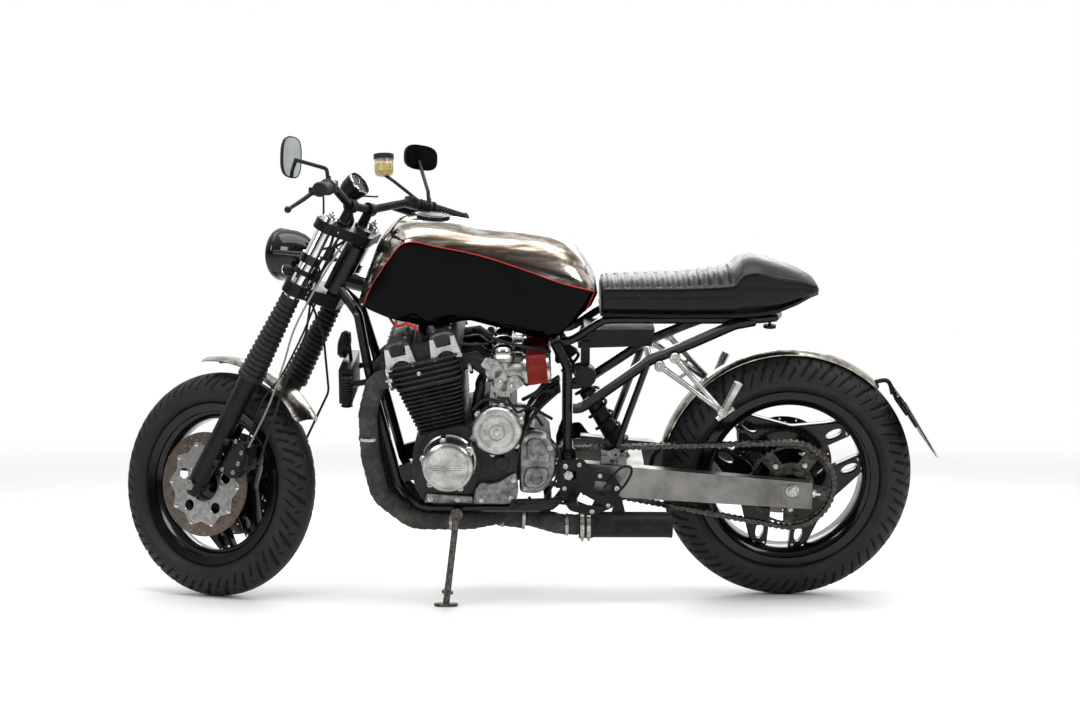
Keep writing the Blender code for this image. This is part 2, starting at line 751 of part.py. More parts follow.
def fork_leg(side, word):
    """A chrome tube, its ribbed gaiter and the slider with its lugs."""
    start = on_leg(SLIDER_TOP + SEAT_GAP, side)
    chrome = make("fork_tube_" + word, CHROME, rod(start, on_leg(TUBE_TOP, side), TUBE_RADIUS, 16))
    span = GAITER_TOP - GAITER_BOTTOM
    inside = (TUBE_RADIUS + SEAT_GAP) / cos(pi / GAITER_SIDES)
    profile = [(inside, 0)]
    for pleat in range(GAITER_PLEATS + 1):
        share = pleat / GAITER_PLEATS
        radius = GAITER_LOW_RADIUS + share * (GAITER_HIGH_RADIUS - GAITER_LOW_RADIUS)
        profile.append((radius, span * share))
        if pleat < GAITER_PLEATS:
            middle = (pleat + 0.5) / GAITER_PLEATS
            profile.append((radius - GAITER_PLEAT_DEPTH, span * middle))
    profile.append((inside, span))
    gaiter = make(
        "fork_gaiter_" + word,
        RUBBER,
        lathe(profile, GAITER_SIDES, on_leg(GAITER_BOTTOM, side), FORK_LINE, ring=True),
    )
    foot = on_leg(-SLIDER_FOOT, side)
    body = lathe(
        [
            (SLIDER_RADIUS * 0.62, 0),
            (SLIDER_RADIUS * 0.86, SLIDER_FOOT * 0.5),
            (SLIDER_RADIUS, SLIDER_FOOT * 2),
            (SLIDER_RADIUS, SLIDER_FOOT + SLIDER_TOP),
        ],
        18,
        foot,
        FORK_LINE,
    )
    lugs = []
    low = CALIPER_AT - CALIPER_LUG_DOWN_share * FRONT_DISC_RADIUS
    high = CALIPER_AT + CALIPER_LUG_UP_share * FRONT_DISC_RADIUS
    for along in (low, high):
        spot = on_leg(along, side)
        lugs.append(rod(spot, spot + (CALIPER_FRONT - SEAT_GAP) * FORK_BACK, 0.011, 8))
    across = Vector((0, 2 * SLIDER_RADIUS, 0))
    axle_bore = bore(on_leg(0, side) - across, on_leg(0, side) + across, AXLE_RADIUS)
    slider = make("fork_slider_" + word, BLACK_SATIN, body, lugs, [axle_bore])
    return chrome, gaiter, slider


def clamp_plate(along, height, reach_back):
    """A clamp's plate round both tubes and back to the stem, drawn along the fork."""
    wall = TUBE_RADIUS + CLAMP_WALL
    lobe = []
    for step in range(7):
        angle = -pi / 2 + pi * step / 6
        lobe.append((-wall * sin(angle), FORK_SPREAD + wall * cos(angle)))
    outline = lobe + [(back, -across) for back, across in reversed(lobe)]
    outline.append((reach_back, -STEM_NUT_RADIUS - CLAMP_WALL))
    outline.append((reach_back + CLAMP_WALL, 0))
    outline.append((reach_back, STEM_NUT_RADIUS + CLAMP_WALL))
    sideways = Vector((0, 1, 0))
    rings = []
    for level in (along, along + height):
        base = FRONT_AXLE + level * FORK_LINE
        rings.append([base + back * FORK_BACK + across * sideways for back, across in outline])
    return rings_to_shell(rings)


def clamp_bores(along, height):
    cuts = []
    for side in (-1, 1):
        low, high = on_leg(along - CLAMP_WALL, side), on_leg(along + height + CLAMP_WALL, side)
        cuts.append(bore(low, high, TUBE_RADIUS, 14))
    return cuts


def steering_head():
    reach = FORK_OFFSET + STEM_NUT_RADIUS
    lower = make(
        "fork_lower_clamp",
        BLACK_SATIN,
        clamp_plate(LOWER_CLAMP_AT, LOWER_CLAMP_HEIGHT, reach),
        [rod(on_stem(LOWER_CLAMP_AT), on_stem(UPPER_CLAMP_AT - SEAT_GAP), STEM_RADIUS, 16)],
        clamp_bores(LOWER_CLAMP_AT, LOWER_CLAMP_HEIGHT),
    )
    top = UPPER_CLAMP_AT + UPPER_CLAMP_HEIGHT
    upper = make(
        "fork_top_clamp",
        BLACK_SATIN,
        clamp_plate(UPPER_CLAMP_AT, UPPER_CLAMP_HEIGHT, reach),
        [
            rod(on_stem(top - OVERRUN), on_stem(top + STEM_NUT_HEIGHT), STEM_NUT_RADIUS, 12),
        ],
        clamp_bores(UPPER_CLAMP_AT, UPPER_CLAMP_HEIGHT),
    )
    return lower, upper


def head_tube_shell():
    middle = (LOWER_CLAMP_AT + LOWER_CLAMP_HEIGHT + UPPER_CLAMP_AT) / 2
    return rod(
        on_stem(middle - HEAD_TUBE_LENGTH / 2), on_stem(middle + HEAD_TUBE_LENGTH / 2), HEAD_TUBE_RADIUS, 16
    )


def main_frame():
    """Head tube, backbone, two downtubes that run on as the cradle, and the rear uprights."""
    head = on_stem((LOWER_CLAMP_AT + LOWER_CLAMP_HEIGHT + UPPER_CLAMP_AT) / 2)
    knee = Vector((BACKBONE_REAR_X, 0, BACKBONE_REAR_Z))
    bend_spread = UPRIGHT_SPREAD * UPRIGHT_TOP_share
    adds = [
        tube([head - BACKBONE_DROP * FORK_LINE, knee], BACKBONE_RADIUS, sides=10),
        rod((knee.x, -bend_spread, knee.z), (knee.x, bend_spread, knee.z), CRADLE_RADIUS),
        rod(
            (RAIL_CROSS_X, -RAIL_SPREAD, RAIL_Z),
            (RAIL_CROSS_X, RAIL_SPREAD, RAIL_Z),
            CRADLE_RADIUS * 0.9,
        ),
    ]
    plate_half = 0.004
    for side in (-1, 1):
        top = on_stem(LOWER_CLAMP_AT + LOWER_CLAMP_HEIGHT + 0.03)
        corners = [
            top + Vector((0, side * 0.008, 0)),
            (0.398, side * 0.045, 0.785),
            (0.426, side * CRADLE_SPREAD, 0.657),
            (0.448, side * CRADLE_SPREAD, 0.556),
            (0.503, side * CRADLE_SPREAD, 0.335),
            (0.560, side * RAIL_SPREAD, RAIL_Z),
            (RAIL_CROSS_X + 0.010, side * RAIL_SPREAD, RAIL_Z),
            (UPRIGHT_X, side * UPRIGHT_SPREAD, RAIL_Z + 0.05),
            (UPRIGHT_X, side * UPRIGHT_SPREAD, BACKBONE_REAR_Z - 0.06),
            (knee.x, side * bend_spread, BACKBONE_REAR_Z),
        ]
        adds.append(tube(corners, CRADLE_RADIUS, bend=0.05, sides=8, steps=2))
        y = side * UPRIGHT_SPREAD
        outline = [
            (PIVOT_X - 0.030, PIVOT_Z - 0.045),
            (PIVOT_X + 0.018, PIVOT_Z - 0.040),
            (PIVOT_X + 0.024, PIVOT_Z),
            (PIVOT_X + 0.018, PIVOT_Z + 0.055),
            (PIVOT_X - 0.012, PIVOT_Z + 0.075),
            (PIVOT_X - 0.030, PIVOT_Z + 0.020),
        ]
        adds.append(prism(outline, y - plate_half, y + plate_half))
        end = UPRIGHT_SPREAD + CRADLE_RADIUS
        nut = (PIVOT_X, side * end, PIVOT_Z), (PIVOT_X, side * (end + 0.008), PIVOT_Z)
        adds.append(rod(*nut, AXLE_RADIUS * 1.5, 6))
    end = UPRIGHT_SPREAD + CRADLE_RADIUS + OVERRUN
    adds.append(rod((PIVOT_X, -end, PIVOT_Z), (PIVOT_X, end, PIVOT_Z), AXLE_RADIUS, 10))
    adds.append(stand_bracket_shell())
    for side in (-1, 1):
        front_lug = [(0.500, 0.345), (0.5475, 0.352), (0.5419, 0.400), (0.490, 0.385)]
        low, high = sorted((side * (CRADLE_SPREAD - 0.006), side * (CRADLE_SPREAD + 0.006)))
        adds.append(prism(front_lug, low, high))
        rear_lug = [
            (RAIL_CROSS_X - 0.008, RAIL_Z),
            (RAIL_CROSS_X + 0.009, RAIL_Z),
            (RAIL_CROSS_X + 0.007, LUG_TOP_Z),
            (RAIL_CROSS_X - 0.023, LUG_TOP_Z),
        ]
        low, high = sorted((side * 0.040, side * 0.054))
        adds.append(prism(rear_lug, low, high))
        foot = Vector((knee.x - 0.004, side * 0.085, knee.z))
        adds.append(rod(foot, foot + Vector((0, 0, TANK_REAR_Z - SEAT_GAP - knee.z)), 0.011, 8))
    half = TANK_TUNNEL_HALF - SEAT_GAP
    adds.append(rod((0.475, -half, 0.842), (0.475, half, 0.842), 0.014, 10))
    cuts = [bore(on_stem(LOWER_CLAMP_AT), on_stem(UPPER_CLAMP_AT + OVERRUN), STEM_RADIUS, 16)]
    return make("main_frame", BLACK_GLOSS, head_tube_shell(), adds, cuts)


def subframe():
    """Seat rails with a hoop behind, and the diagonals and struts that carry them."""
    adds = []
    front_x = BACKBONE_REAR_X + CRADLE_RADIUS + SEAT_GAP
    right = [
        (front_x, SEAT_RAIL_SPREAD, BACKBONE_REAR_Z),
        (UPRIGHT_X + 0.009, SEAT_RAIL_SPREAD, BACKBONE_REAR_Z),
        (UPRIGHT_X + 0.094, SEAT_RAIL_SPREAD, SEAT_RAIL_Z),
        (UPRIGHT_X + 0.454, SEAT_RAIL_SPREAD, SEAT_RAIL_Z),
        (UPRIGHT_X + 0.554, SEAT_RAIL_SPREAD * 0.8, SEAT_RAIL_Z),
    ]
    hoop = [mirrored(corner, -1) for corner in right] + right[::-1]
    base = tube(hoop, SEAT_RAIL_RADIUS, bend=0.06, sides=8, up=(0, 0, 1), steps=2)
    for side in (-1, 1):
        y = side * SUBFRAME_SPREAD
        adds.append(
            tube(
                [
                    (UPRIGHT_X + CRADLE_RADIUS + SEAT_GAP, side * UPRIGHT_SPREAD, 0.553),
                    (UPRIGHT_X + 0.034, side * UPRIGHT_SPREAD, 0.553),
                    (DIAGONAL_X, y, DIAGONAL_Z),
                    (DIAGONAL_X + 0.112, y, 0.7255),
                    (DIAGONAL_X + 0.220, y * 0.85, 0.770),
                    (DIAGONAL_X + 0.272, side * SEAT_RAIL_SPREAD * 0.9, 0.774),
                ],
                SUBFRAME_RADIUS,
                bend=0.05,
                sides=8,
                steps=2,
            )
        )
        top = (DIAGONAL_X - 0.006, y * 1.04, DIAGONAL_Z - 0.010)
        adds.append(rod(top, (STRUT_FOOT_X, y * 1.12, STRUT_FOOT_Z), STRUT_RADIUS, 6))
    for x, half, z in (
        (UPRIGHT_X + 0.154, SEAT_RAIL_SPREAD, SEAT_RAIL_Z),
        (DIAGONAL_X, SUBFRAME_SPREAD, DIAGONAL_Z + 0.002),
    ):
        adds.append(rod((x, -half, z), (x, half, z), CROSS_TUBE_RADIUS, 6))
    return make("subframe", BLACK_GLOSS, base, adds)


def shock_ends():
    """The shock's lower end over the swingarm's beam, and its upper one under the frame."""
    x = BEAM_FRONT_X + SHOCK_FOOT_BACK
    foot = Vector((x, 0, arm_height(x)[1] + SHOCK_FOOT_RISE))
    top = Vector((BACKBONE_REAR_X, 0, BACKBONE_REAR_Z))
    return foot, top + (foot - top).normalized() * (BACKBONE_RADIUS + SEAT_GAP)


def arm_height(x):
    """Half the depth of the swingarm at x, and the height of its middle."""
    share = (x - ARM_FRONT_X) / (ARM_END_X - ARM_FRONT_X)
    height = ARM_FRONT_HEIGHT + share * (ARM_REAR_HEIGHT - ARM_FRONT_HEIGHT)
    return height / 2, ARM_FRONT_Z + share * (ARM_END_Z - ARM_FRONT_Z)


def swingarm():
    """Two tapered box arms, a cross beam and the pivot tube."""
    adds = []
    front_half, front_z = arm_height(ARM_FRONT_X)
    end_half, end_z = arm_height(ARM_END_X)
    pivot_half = UPRIGHT_SPREAD - CRADLE_RADIUS - SEAT_GAP
    pivot = rod((PIVOT_X, -pivot_half, PIVOT_Z), (PIVOT_X, pivot_half, PIVOT_Z), 0.022, 16)
    for side in (-1, 1):
        outline = [
            (ARM_FRONT_X, front_z - front_half),
            (ARM_END_X, end_z - end_half),
            (ARM_END_X, end_z + end_half),
            (ARM_FRONT_X, front_z + front_half),
        ]
        low, high = sorted((side * (ARM_Y - ARM_WALL / 2), side * (ARM_Y + ARM_WALL / 2)))
        adds.append(prism(outline, low, high))
        nose = [
            (PIVOT_X - 0.016, PIVOT_Z + 0.0155),
            (PIVOT_X - 0.016, PIVOT_Z - 0.016),
            (ARM_FRONT_X + 0.03, front_z - front_half + 0.002),
            (ARM_FRONT_X + 0.03, front_z + front_half - 0.006),
        ]
        low, high = sorted((side * 0.1087, side * pivot_half))
        adds.append(prism(nose, low, high))
        low, high = sorted((side * 0.1095, side * (ARM_Y - 0.002)))
        joint = [
            (ARM_FRONT_X + 0.002, front_z - front_half + 0.010),
            (ARM_FRONT_X + 0.028, front_z - front_half + 0.010),
            (ARM_FRONT_X + 0.028, front_z + front_half - 0.010),
            (ARM_FRONT_X + 0.002, front_z + front_half - 0.010),
        ]
        adds.append(prism(joint, low, high))
    under, over = [], []
    for x in (BEAM_FRONT_X, BEAM_REAR_X):
        half, middle = arm_height(x)
        under.append((x, middle - BEAM_UNDER_share * half))
        over.append((x, middle + BEAM_OVER_share * half))
    adds.append(prism(under + over[::-1], -ARM_Y, ARM_Y))
    low, high = shock_ends()
    upward = (high - low).normalized()
    adds.append(rod(low - SHOCK_EYE_DEPTH * upward, low - SEAT_GAP * upward, SHOCK_EYE_RADIUS))
    bores = [
        bore((PIVOT_X, -ARM_Y, PIVOT_Z), (PIVOT_X, ARM_Y, PIVOT_Z), AXLE_RADIUS),
        bore(REAR_AXLE - Vector((0, 2 * ARM_Y, 0)), REAR_AXLE + Vector((0, 2 * ARM_Y, 0)), AXLE_RADIUS),
    ]
    return make("swingarm", ALUMINIUM, pivot, adds, bores)


def axle(name, centre, half, head):
    """A spindle with a nut at each end."""
    base = rod(centre - Vector((0, half, 0)), centre + Vector((0, half, 0)), AXLE_RADIUS, 10)
    nuts = []
    for side in (-1, 1):
        inner = centre + Vector((0, side * (half - OVERRUN), 0))
        outer = centre + Vector((0, side * (half + head), 0))
        nuts.append(rod(inner, outer, AXLE_RADIUS * 1.5, 6))
    return make(name, STEEL, base, nuts)


CYLINDER_BACK = Vector((cos(CYLINDER_TILT_angle), 0, sin(CYLINDER_TILT_angle)))
PORT_UP = BLOCK_START + BLOCK_HEIGHT + PORT_share * HEAD_HEIGHT


def along_cylinder(up, back=0.0):
    """A point in the engine's side view, up the cylinders from the crank and back."""
    x = CRANK_X - up * sin(CYLINDER_TILT_angle) + back * cos(CYLINDER_TILT_angle)
    z = CRANK_Z + up * cos(CYLINDER_TILT_angle) + back * sin(CYLINDER_TILT_angle)
    return x, z


def finned(start, height, depths, half_widths, fins, fin_depth):
    """A stack of wide fins and narrower core with cut corners, tapering from foot to top."""
    pitch = height / (fins - 1 + FIN_FILL_share)
    fin = pitch * FIN_FILL_share
    levels = []
    for number in range(fins):
        low = number * pitch
        levels += [(low, 0), (low + fin, 0)]
        if number < fins - 1:
            levels += [(low + fin, fin_depth), (low + pitch, fin_depth)]
    rings = []
    for up, inset in levels:
        share = up / height
        half = (depths[0] + share * (depths[1] - depths[0])) / 2 - inset
        wide = half_widths[0] + share * (half_widths[1] - half_widths[0]) - inset
        corner = 0.018 - inset * 0.4
        outline = [
            (-half, -wide + corner),
            (-half + corner, -wide),
            (half - corner, -wide),
            (half, -wide + corner),
            (half, wide - corner),
            (half - corner, wide),
            (-half + corner, wide),
            (-half, wide - corner),
        ]
        ring = []
        for back, across in outline:
            x, z = along_cylinder(start + up, back)
            ring.append((x, across, z))
        rings.append(ring)
    return rings_to_shell(rings)


def crankcase():
    foot = BLOCK_START - SEAT_GAP
    outline = [
        (0.566, 0.318),
        (0.548, 0.350),
        (0.541, 0.410),
        (0.545, 0.450),
        along_cylinder(foot, -BLOCK_FOOT_DEPTH / 2 - 0.004),
        along_cylinder(foot, BLOCK_FOOT_DEPTH / 2 + 0.012),
        (0.722, 0.545),
        (0.742, 0.566),
        (0.785, 0.566),
        (CASE_REAR_X, 0.525),
        (CASE_REAR_X, 0.330),
        (0.785, 0.304),
        (0.600, 0.304),
    ]
    rear = [
        (0.790, 0.345),
        (0.895, 0.345),
        (0.907, 0.380),
        (0.900, 0.440),
        (0.860, 0.486),
        (0.790, 0.500),
    ]
    sump = [(0.620, 0.290), (0.760, 0.290), (0.790, 0.310), (0.600, 0.310)]
    base = prism(outline, -CASE_HALF_WIDTH, CASE_HALF_WIDTH)
    adds = [
        prism(rear, -CHAIN_Y + 0.018, 0.150),
        prism(sump, -0.100, 0.100),
        lathe(
            [(GENERATOR_RADIUS, 0), (GENERATOR_RADIUS, 0.030), (GENERATOR_RADIUS - 0.008, 0.036)],
            16,
            (GENERATOR_X, -CASE_HALF_WIDTH + 0.006, GENERATOR_Z),
            (0, -1, 0),
        ),
    ]
    return make("crankcase", ALUMINIUM, base, adds)


def engine():
    start = BLOCK_START
    cylinder_block = make(
        "cylinder_block",
        BLACK_SATIN,
        finned(
            start,
            BLOCK_HEIGHT,
            (BLOCK_FOOT_DEPTH, BLOCK_DEPTH),
            (BLOCK_FOOT_HALF_WIDTH, BLOCK_HALF_WIDTH),
            FIN_COUNT,
            FIN_DEPTH,
        ),
    )
    top = start + BLOCK_HEIGHT + SEAT_GAP
    cams = []
    for back in (-CAM_SPACING / 2, CAM_SPACING / 2):
        x, z = along_cylinder(CAM_RISE, back)
        cams.append(rod((x, -CAM_HALF_LENGTH, z), (x, CAM_HALF_LENGTH, z), CAM_RADIUS, 12))
    bridge = []
    for up, back in ((top + HEAD_HEIGHT - 0.006, -0.075), (top + HEAD_HEIGHT - 0.006, 0.075)):
        bridge.append(along_cylinder(up, back))
    for up, back in ((CAM_RISE + 0.006, 0.060), (CAM_RISE + 0.006, -0.060)):
        bridge.append(along_cylinder(up, back))
    cams.append(prism(bridge, -CAM_HALF_LENGTH + 0.012, CAM_HALF_LENGTH - 0.012))
    for y in PORT_Y:
        middle = Vector(along_cylinder(PORT_UP)[:1] + (y,) + along_cylinder(PORT_UP)[1:])
        half = HEAD_DEPTH / 2 * CYLINDER_BACK
        cams.append(rod(middle - half, middle + half, 0.026, 8))
    cylinder_head = make(
        "cylinder_head",
        BLACK_SATIN,
        finned(
            top,
            HEAD_HEIGHT,
            (BLOCK_DEPTH, HEAD_DEPTH),
            (BLOCK_HALF_WIDTH, BLOCK_HALF_WIDTH),
            HEAD_FINS,
            FIN_DEPTH,
        ),
        cams,
    )
    covers = []
    for side, word in ((-1, "left"), (1, "right")):
        face = side * (CASE_HALF_WIDTH + SEAT_GAP)
        profile = [
            (COVER_RADIUS + 0.006, 0),
            (COVER_RADIUS + 0.006, 0.020),
            (COVER_RADIUS, 0.026),
            (COVER_RADIUS, COVER_DEPTH - 0.010),
            (COVER_RADIUS - 0.010, COVER_DEPTH),
        ]
        shell = lathe(profile, 20, (CRANK_X, face, CRANK_Z), (0, side, 0))
        covers.append(make("crank_cover_" + word, ALUMINIUM, shell))
    cover = [
        (0.8205, 0.330),
        (0.872, 0.326),
        (0.897, 0.350),
        (0.914, 0.378),
        (0.917, 0.440),
        (0.890, 0.490),
        (0.850, 0.495),
        (0.8205, 0.480),
    ]
    plate = prism(cover, -0.150, -0.116)
    leg = block((0.840, -0.120, 0.455), (0.858, -CHAIN_Y + 0.0177, 0.480))
    made = make("sprocket_cover", ALUMINIUM, plate, [leg])
    return [cylinder_block, cylinder_head, *covers, made]


def carburettors():
    """Four carburettors on their stubs, with a bar across them and a pod filter on each."""
    x0, z0 = along_cylinder(PORT_UP, HEAD_DEPTH / 2)
    adds = []
    for y in PORT_Y:
        start = Vector((x0, y, z0)) + SEAT_GAP * CYLINDER_BACK
        adds.append(rod(start, start + 0.030 * CYLINDER_BACK, 0.021, 8))
        adds.append(rod(start + 0.022 * CYLINDER_BACK, (0.745, y, 0.657), 0.021, 8))
        adds.append(rod((0.738, y, 0.657), (0.832, y, 0.660), 0.026, 8))
        adds.append(rod((0.778, y, 0.590), (0.778, y, 0.728), 0.030, 8))
        adds.append(rod((0.828, y, 0.661), (0.8352, y, 0.661), 0.036, 10))
        adds.append(rod((0.835, y, 0.661), (0.900, y, 0.667), 0.040, 10, 0.036))
    bar = block((0.760, -0.160, 0.600), (0.772, 0.160, 0.622))
    return make("carburettors", ALUMINIUM, bar, adds)


def exhaust():
    """Four wrapped pipes that run down, under the engine and into one."""
    shells = []
    port_x, port_z = along_cylinder(PORT_UP, -HEAD_DEPTH / 2)
    port = Vector((port_x, 0, port_z)) - SEAT_GAP * CYLINDER_BACK
    run = (-0.128, -0.072, -0.016, 0.040)
    for y, low_y in zip(PORT_Y, run):
        corners = [
            port + Vector((0, y, 0)),
            port + Vector((0, y, 0)) - 0.045 * CYLINDER_BACK,
            (0.428, y, 0.545),
            (0.432, y, 0.430),
            (0.455, (y + low_y) / 2, 0.320),
            (0.540, low_y, PIPE_RUN_Z),
            (0.690, low_y, PIPE_RUN_Z),
            (COLLECTOR_X, -0.060, PIPE_RUN_Z),
        ]
        shells.append(tube(corners, PIPE_RADIUS, bend=0.075, sides=7, steps=2))
    merge = tube(
        [
            (COLLECTOR_X - 0.02, -0.060, PIPE_RUN_Z),
            (0.850, -0.070, 0.240),
            (0.930, SILENCER_Y, SILENCER_Z),
            (SILENCER_FRONT + 0.03, SILENCER_Y, SILENCER_Z),
        ],
        TAIL_RADIUS,
        bend=0.06,
        sides=8,
        steps=2,
    )
    joiner = rod(
        (COLLECTOR_X - 0.035, -0.050, PIPE_RUN_Z),
        (COLLECTOR_X + 0.035, -0.066, PIPE_RUN_Z - 0.003),
        COLLECTOR_RADIUS * 1.15,
        12,
    )
    pipes = make("exhaust_pipes", WRAP, shells[0], [*shells[1:], joiner, merge])
    hole = bore(
        (SILENCER_FRONT - 0.01, SILENCER_Y, SILENCER_Z),
        (SILENCER_FRONT + 0.036, SILENCER_Y, SILENCER_Z),
        TAIL_RADIUS,
    )
    body = lathe(
        [
            (SILENCER_RADIUS * 1.05, 0),
            (SILENCER_RADIUS * 1.05, 0.035),
            (SILENCER_RADIUS, 0.042),
            (SILENCER_RADIUS, SILENCER_REAR - SILENCER_FRONT),
            (SILENCER_RADIUS * 0.6, SILENCER_REAR - SILENCER_FRONT),
            (SILENCER_RADIUS * 0.6, SILENCER_REAR - SILENCER_FRONT - 0.06),
        ],
        18,
        (SILENCER_FRONT, SILENCER_Y, SILENCER_Z),
        (1, 0, 0),
    )
    silencer = make("silencer", BLACK_SATIN, body, [], [hole])
    return pipes, silencer


STAND_TOP = Vector(STAND_PIVOT)
STAND_FOOT = Vector((STAND_FOOT_X, STAND_FOOT_Y, 0.0477))
STAND_DOWN = (STAND_FOOT - STAND_TOP).normalized()
STAND_FOLDED = Vector((0.99, -0.015, -0.10)).normalized()
STAND_AXIS = STAND_DOWN.cross(STAND_FOLDED).normalized()
stand_axis = axis_empty("side_stand_axis", STAND_TOP, STAND_AXIS, motorcycle)


def side_stand():
    """A tubular leg on a pivot boss, with a ring near its end and a flat oval foot."""
    outward = -STAND_AXIS if STAND_AXIS.y > 0 else STAND_AXIS
    base = rod(STAND_TOP - outward * 0.009, STAND_TOP + outward * 0.009, 0.016, 16)
    world_foot = STANCE @ STAND_FOOT
    low, high = [], []
    for step in range(20):
        angle = 2 * pi * step / 20
        x = world_foot.x + STAND_FOOT_LENGTH / 2 * cos(angle)
        y = world_foot.y + STAND_FOOT_WIDTH / 2 * sin(angle)
        low.append(floor_to_bike(x, y, 0))
        high.append(floor_to_bike(x, y, STAND_FOOT_THICKNESS))
    ankle = floor_to_bike(world_foot.x, world_foot.y, STAND_FOOT_THICKNESS / 2)
    ring_at = STAND_TOP.lerp(ankle, 0.86)
    along = (ankle - STAND_TOP).normalized()
    adds = [
        rings_to_shell([low, high]),
        rod(STAND_TOP + outward * 0.002, ankle, STAND_LEG_RADIUS, 12),
        rod(ring_at - along * 0.004, ring_at + along * 0.004, STAND_LEG_RADIUS * 1.7, 12),
    ]
    return make("side_stand", BLACK_SATIN, base, adds)


def stand_bracket_shell():
    outward = -STAND_AXIS if STAND_AXIS.y > 0 else STAND_AXIS
    reach = (-RAIL_SPREAD - STAND_TOP.y) / -outward.y
    return rod(STAND_TOP - outward * reach, STAND_TOP - outward * (0.009 + SEAT_GAP), 0.012, 12)


# Each row of the tank: x and z of its lower edge, of its side crease and of its top, half width
TANK_ROWS = (
    (0.400, 0.822, 0.412, 0.850, 0.432, 0.914, 0.056),
    (0.410, 0.815, 0.436, 0.868, 0.458, 0.978, 0.085),
    (0.450, 0.800, 0.483, 0.939, 0.505, 1.027, 0.116),
    (0.510, 0.782, 0.532, 0.990, 0.560, 1.036, 0.132),
    (0.600, 0.770, 0.618, 0.979, 0.640, 1.031, 0.139),
    (0.696, 0.785, 0.720, 0.958, 0.730, 1.014, 0.141),
    (0.790, 0.760, 0.822, 0.925, 0.830, 1.003, 0.139),
    (0.873, 0.742, 0.924, 0.886, 0.915, 0.987, 0.130),
    (0.925, 0.742, 0.985, 0.868, 0.963, 0.958, 0.117),
    (0.985, 0.798, 1.012, 0.857, 1.005, 0.900, 0.098),
    (1.004, 0.812, 1.022, 0.850, 1.018, 0.872, 0.084),
)


def fuel_tank():
    """A loft over the backbone: rounded top, crease along the side and a tunnel below."""
    rings = []
    for bx, bz, cx, cz, tx, tz, half in TANK_ROWS:
        share = (bx - TANK_ROWS[0][0]) / (TANK_ROWS[-1][0] - TANK_ROWS[0][0])
        roof = TANK_TUNNEL_FRONT_Z + share * (TANK_TUNNEL_REAR_Z - TANK_TUNNEL_FRONT_Z)
        rise = (roof - bz) / (tz - bz)
        roof_x = bx + rise * (tx - bx)
        tunnel = min(TANK_TUNNEL_HALF, half * 0.7)
        right = [
            (tx, 0.0, tz),
            (tx + 0.10 * (cx - tx), half * 0.45, tz + 0.06 * (cz - tz)),
            (tx + 0.40 * (cx - tx), half * 0.78, tz + 0.30 * (cz - tz)),
            (tx + 0.75 * (cx - tx), half * 0.94, tz + 0.66 * (cz - tz)),
            (cx, half, cz),
            ((bx + cx) / 2, half * 0.99, (bz + cz) / 2),
            (bx + 0.15 * (cx - bx), half * 0.93, bz + 0.12 * (cz - bz)),
            (bx, half * 0.86, bz),
            (bx, tunnel, bz),
            (roof_x, tunnel, roof),
        ]
        left = [(x, -y, z) for x, y, z in reversed(right[1:])]
        rings.append(right + left)
    return make("fuel_tank", POLISHED, rings_to_shell(rings))


def filler_cap():
    base = (FILLER_X, 0, 1.0345)
    profile = [
        (FILLER_RADIUS, 0),
        (FILLER_RADIUS, FILLER_HEIGHT - 0.002),
        (FILLER_RADIUS - 0.003, FILLER_HEIGHT),
    ]
    return make("filler_cap", BLACK_SATIN, lathe(profile, 20, base, (0.06, 0, 1)))


# Each row of the seat: x, z of its underside, z of its seam, z of its top, half width
SEAT_ROWS = (
    (1.030, 0.800, 0.840, 0.862, 0.096),
    (1.040, 0.800, 0.862, 0.879, 0.104),
    (1.120, 0.800, 0.864, 0.885, 0.111),
    (1.221, 0.800, 0.866, 0.888, 0.118),
    (1.317, 0.801, 0.870, 0.900, 0.121),
    (1.370, 0.801, 0.874, 0.908, 0.121),
    (1.398, 0.802, 0.902, 0.932, 0.120),
    (1.425, 0.803, 0.908, 0.938, 0.118),
    (1.488, 0.811, 0.893, 0.922, 0.110),
    (1.540, 0.830, 0.883, 0.897, 0.097),
    (1.575, 0.846, 0.868, 0.872, 0.082),
    (1.598, 0.850, 0.858, 0.862, 0.060),
)


def seat():
    rings = []
    for x, bottom, seam, top, half in SEAT_ROWS:
        right = [
            (x, 0.0, top),
            (x, half * 0.50, top - 0.06 * (top - seam)),
            (x, half * 0.82, top - 0.35 * (top - seam)),
            (x, half, seam),
            (x, half * 1.01, (seam + bottom) / 2),
            (x, half * 0.97, bottom),
        ]
        left = [(x, -y, z) for _, y, z in reversed(right)]
        rings.append(right + left[:-1])
    cushion = make("seat", LEATHER, rings_to_shell(rings))
    pan = []
    for x, bottom, seam, top, half in SEAT_ROWS:
        under = bottom - SEAT_GAP
        wide = half * 0.97
        deep = under - SEAT_PAN
        pan.append(
            [(x, -wide, under), (x, wide, under), (x, wide - 0.006, deep), (x, -wide + 0.006, deep)]
        )
    tail = rod((1.476, -0.035, 0.804), (1.476, -0.035, 0.752), 0.004, 8)
    bobbin = rod((1.476, -0.035, 0.756), (1.476, -0.035, 0.748), 0.017, 14)
    base = make("seat_pan", BLACK_SATIN, rings_to_shell(pan), [tail, bobbin])
    return cushion, base


def electrics_box():
    front = BACKBONE_REAR_X + 0.061
    outline = [(front, 0.700), (front + 0.192, 0.706), (front + 0.200, 0.750), (front + 0.017, 0.750)]
    half = SEAT_RAIL_SPREAD - SEAT_RAIL_RADIUS * TUBE_FLAT_share - SEAT_GAP
    base = prism(outline, -half, half)
    x = front + 0.019
    canister = rod((x, -0.108, 0.632), (x, -0.062, 0.632), 0.028, 20)
    neck = block((x - 0.012, -0.078, 0.645), (x + 0.012, -0.062, 0.720))
    return make("electrics_box", BLACK_PLASTIC, base, [canister, neck])


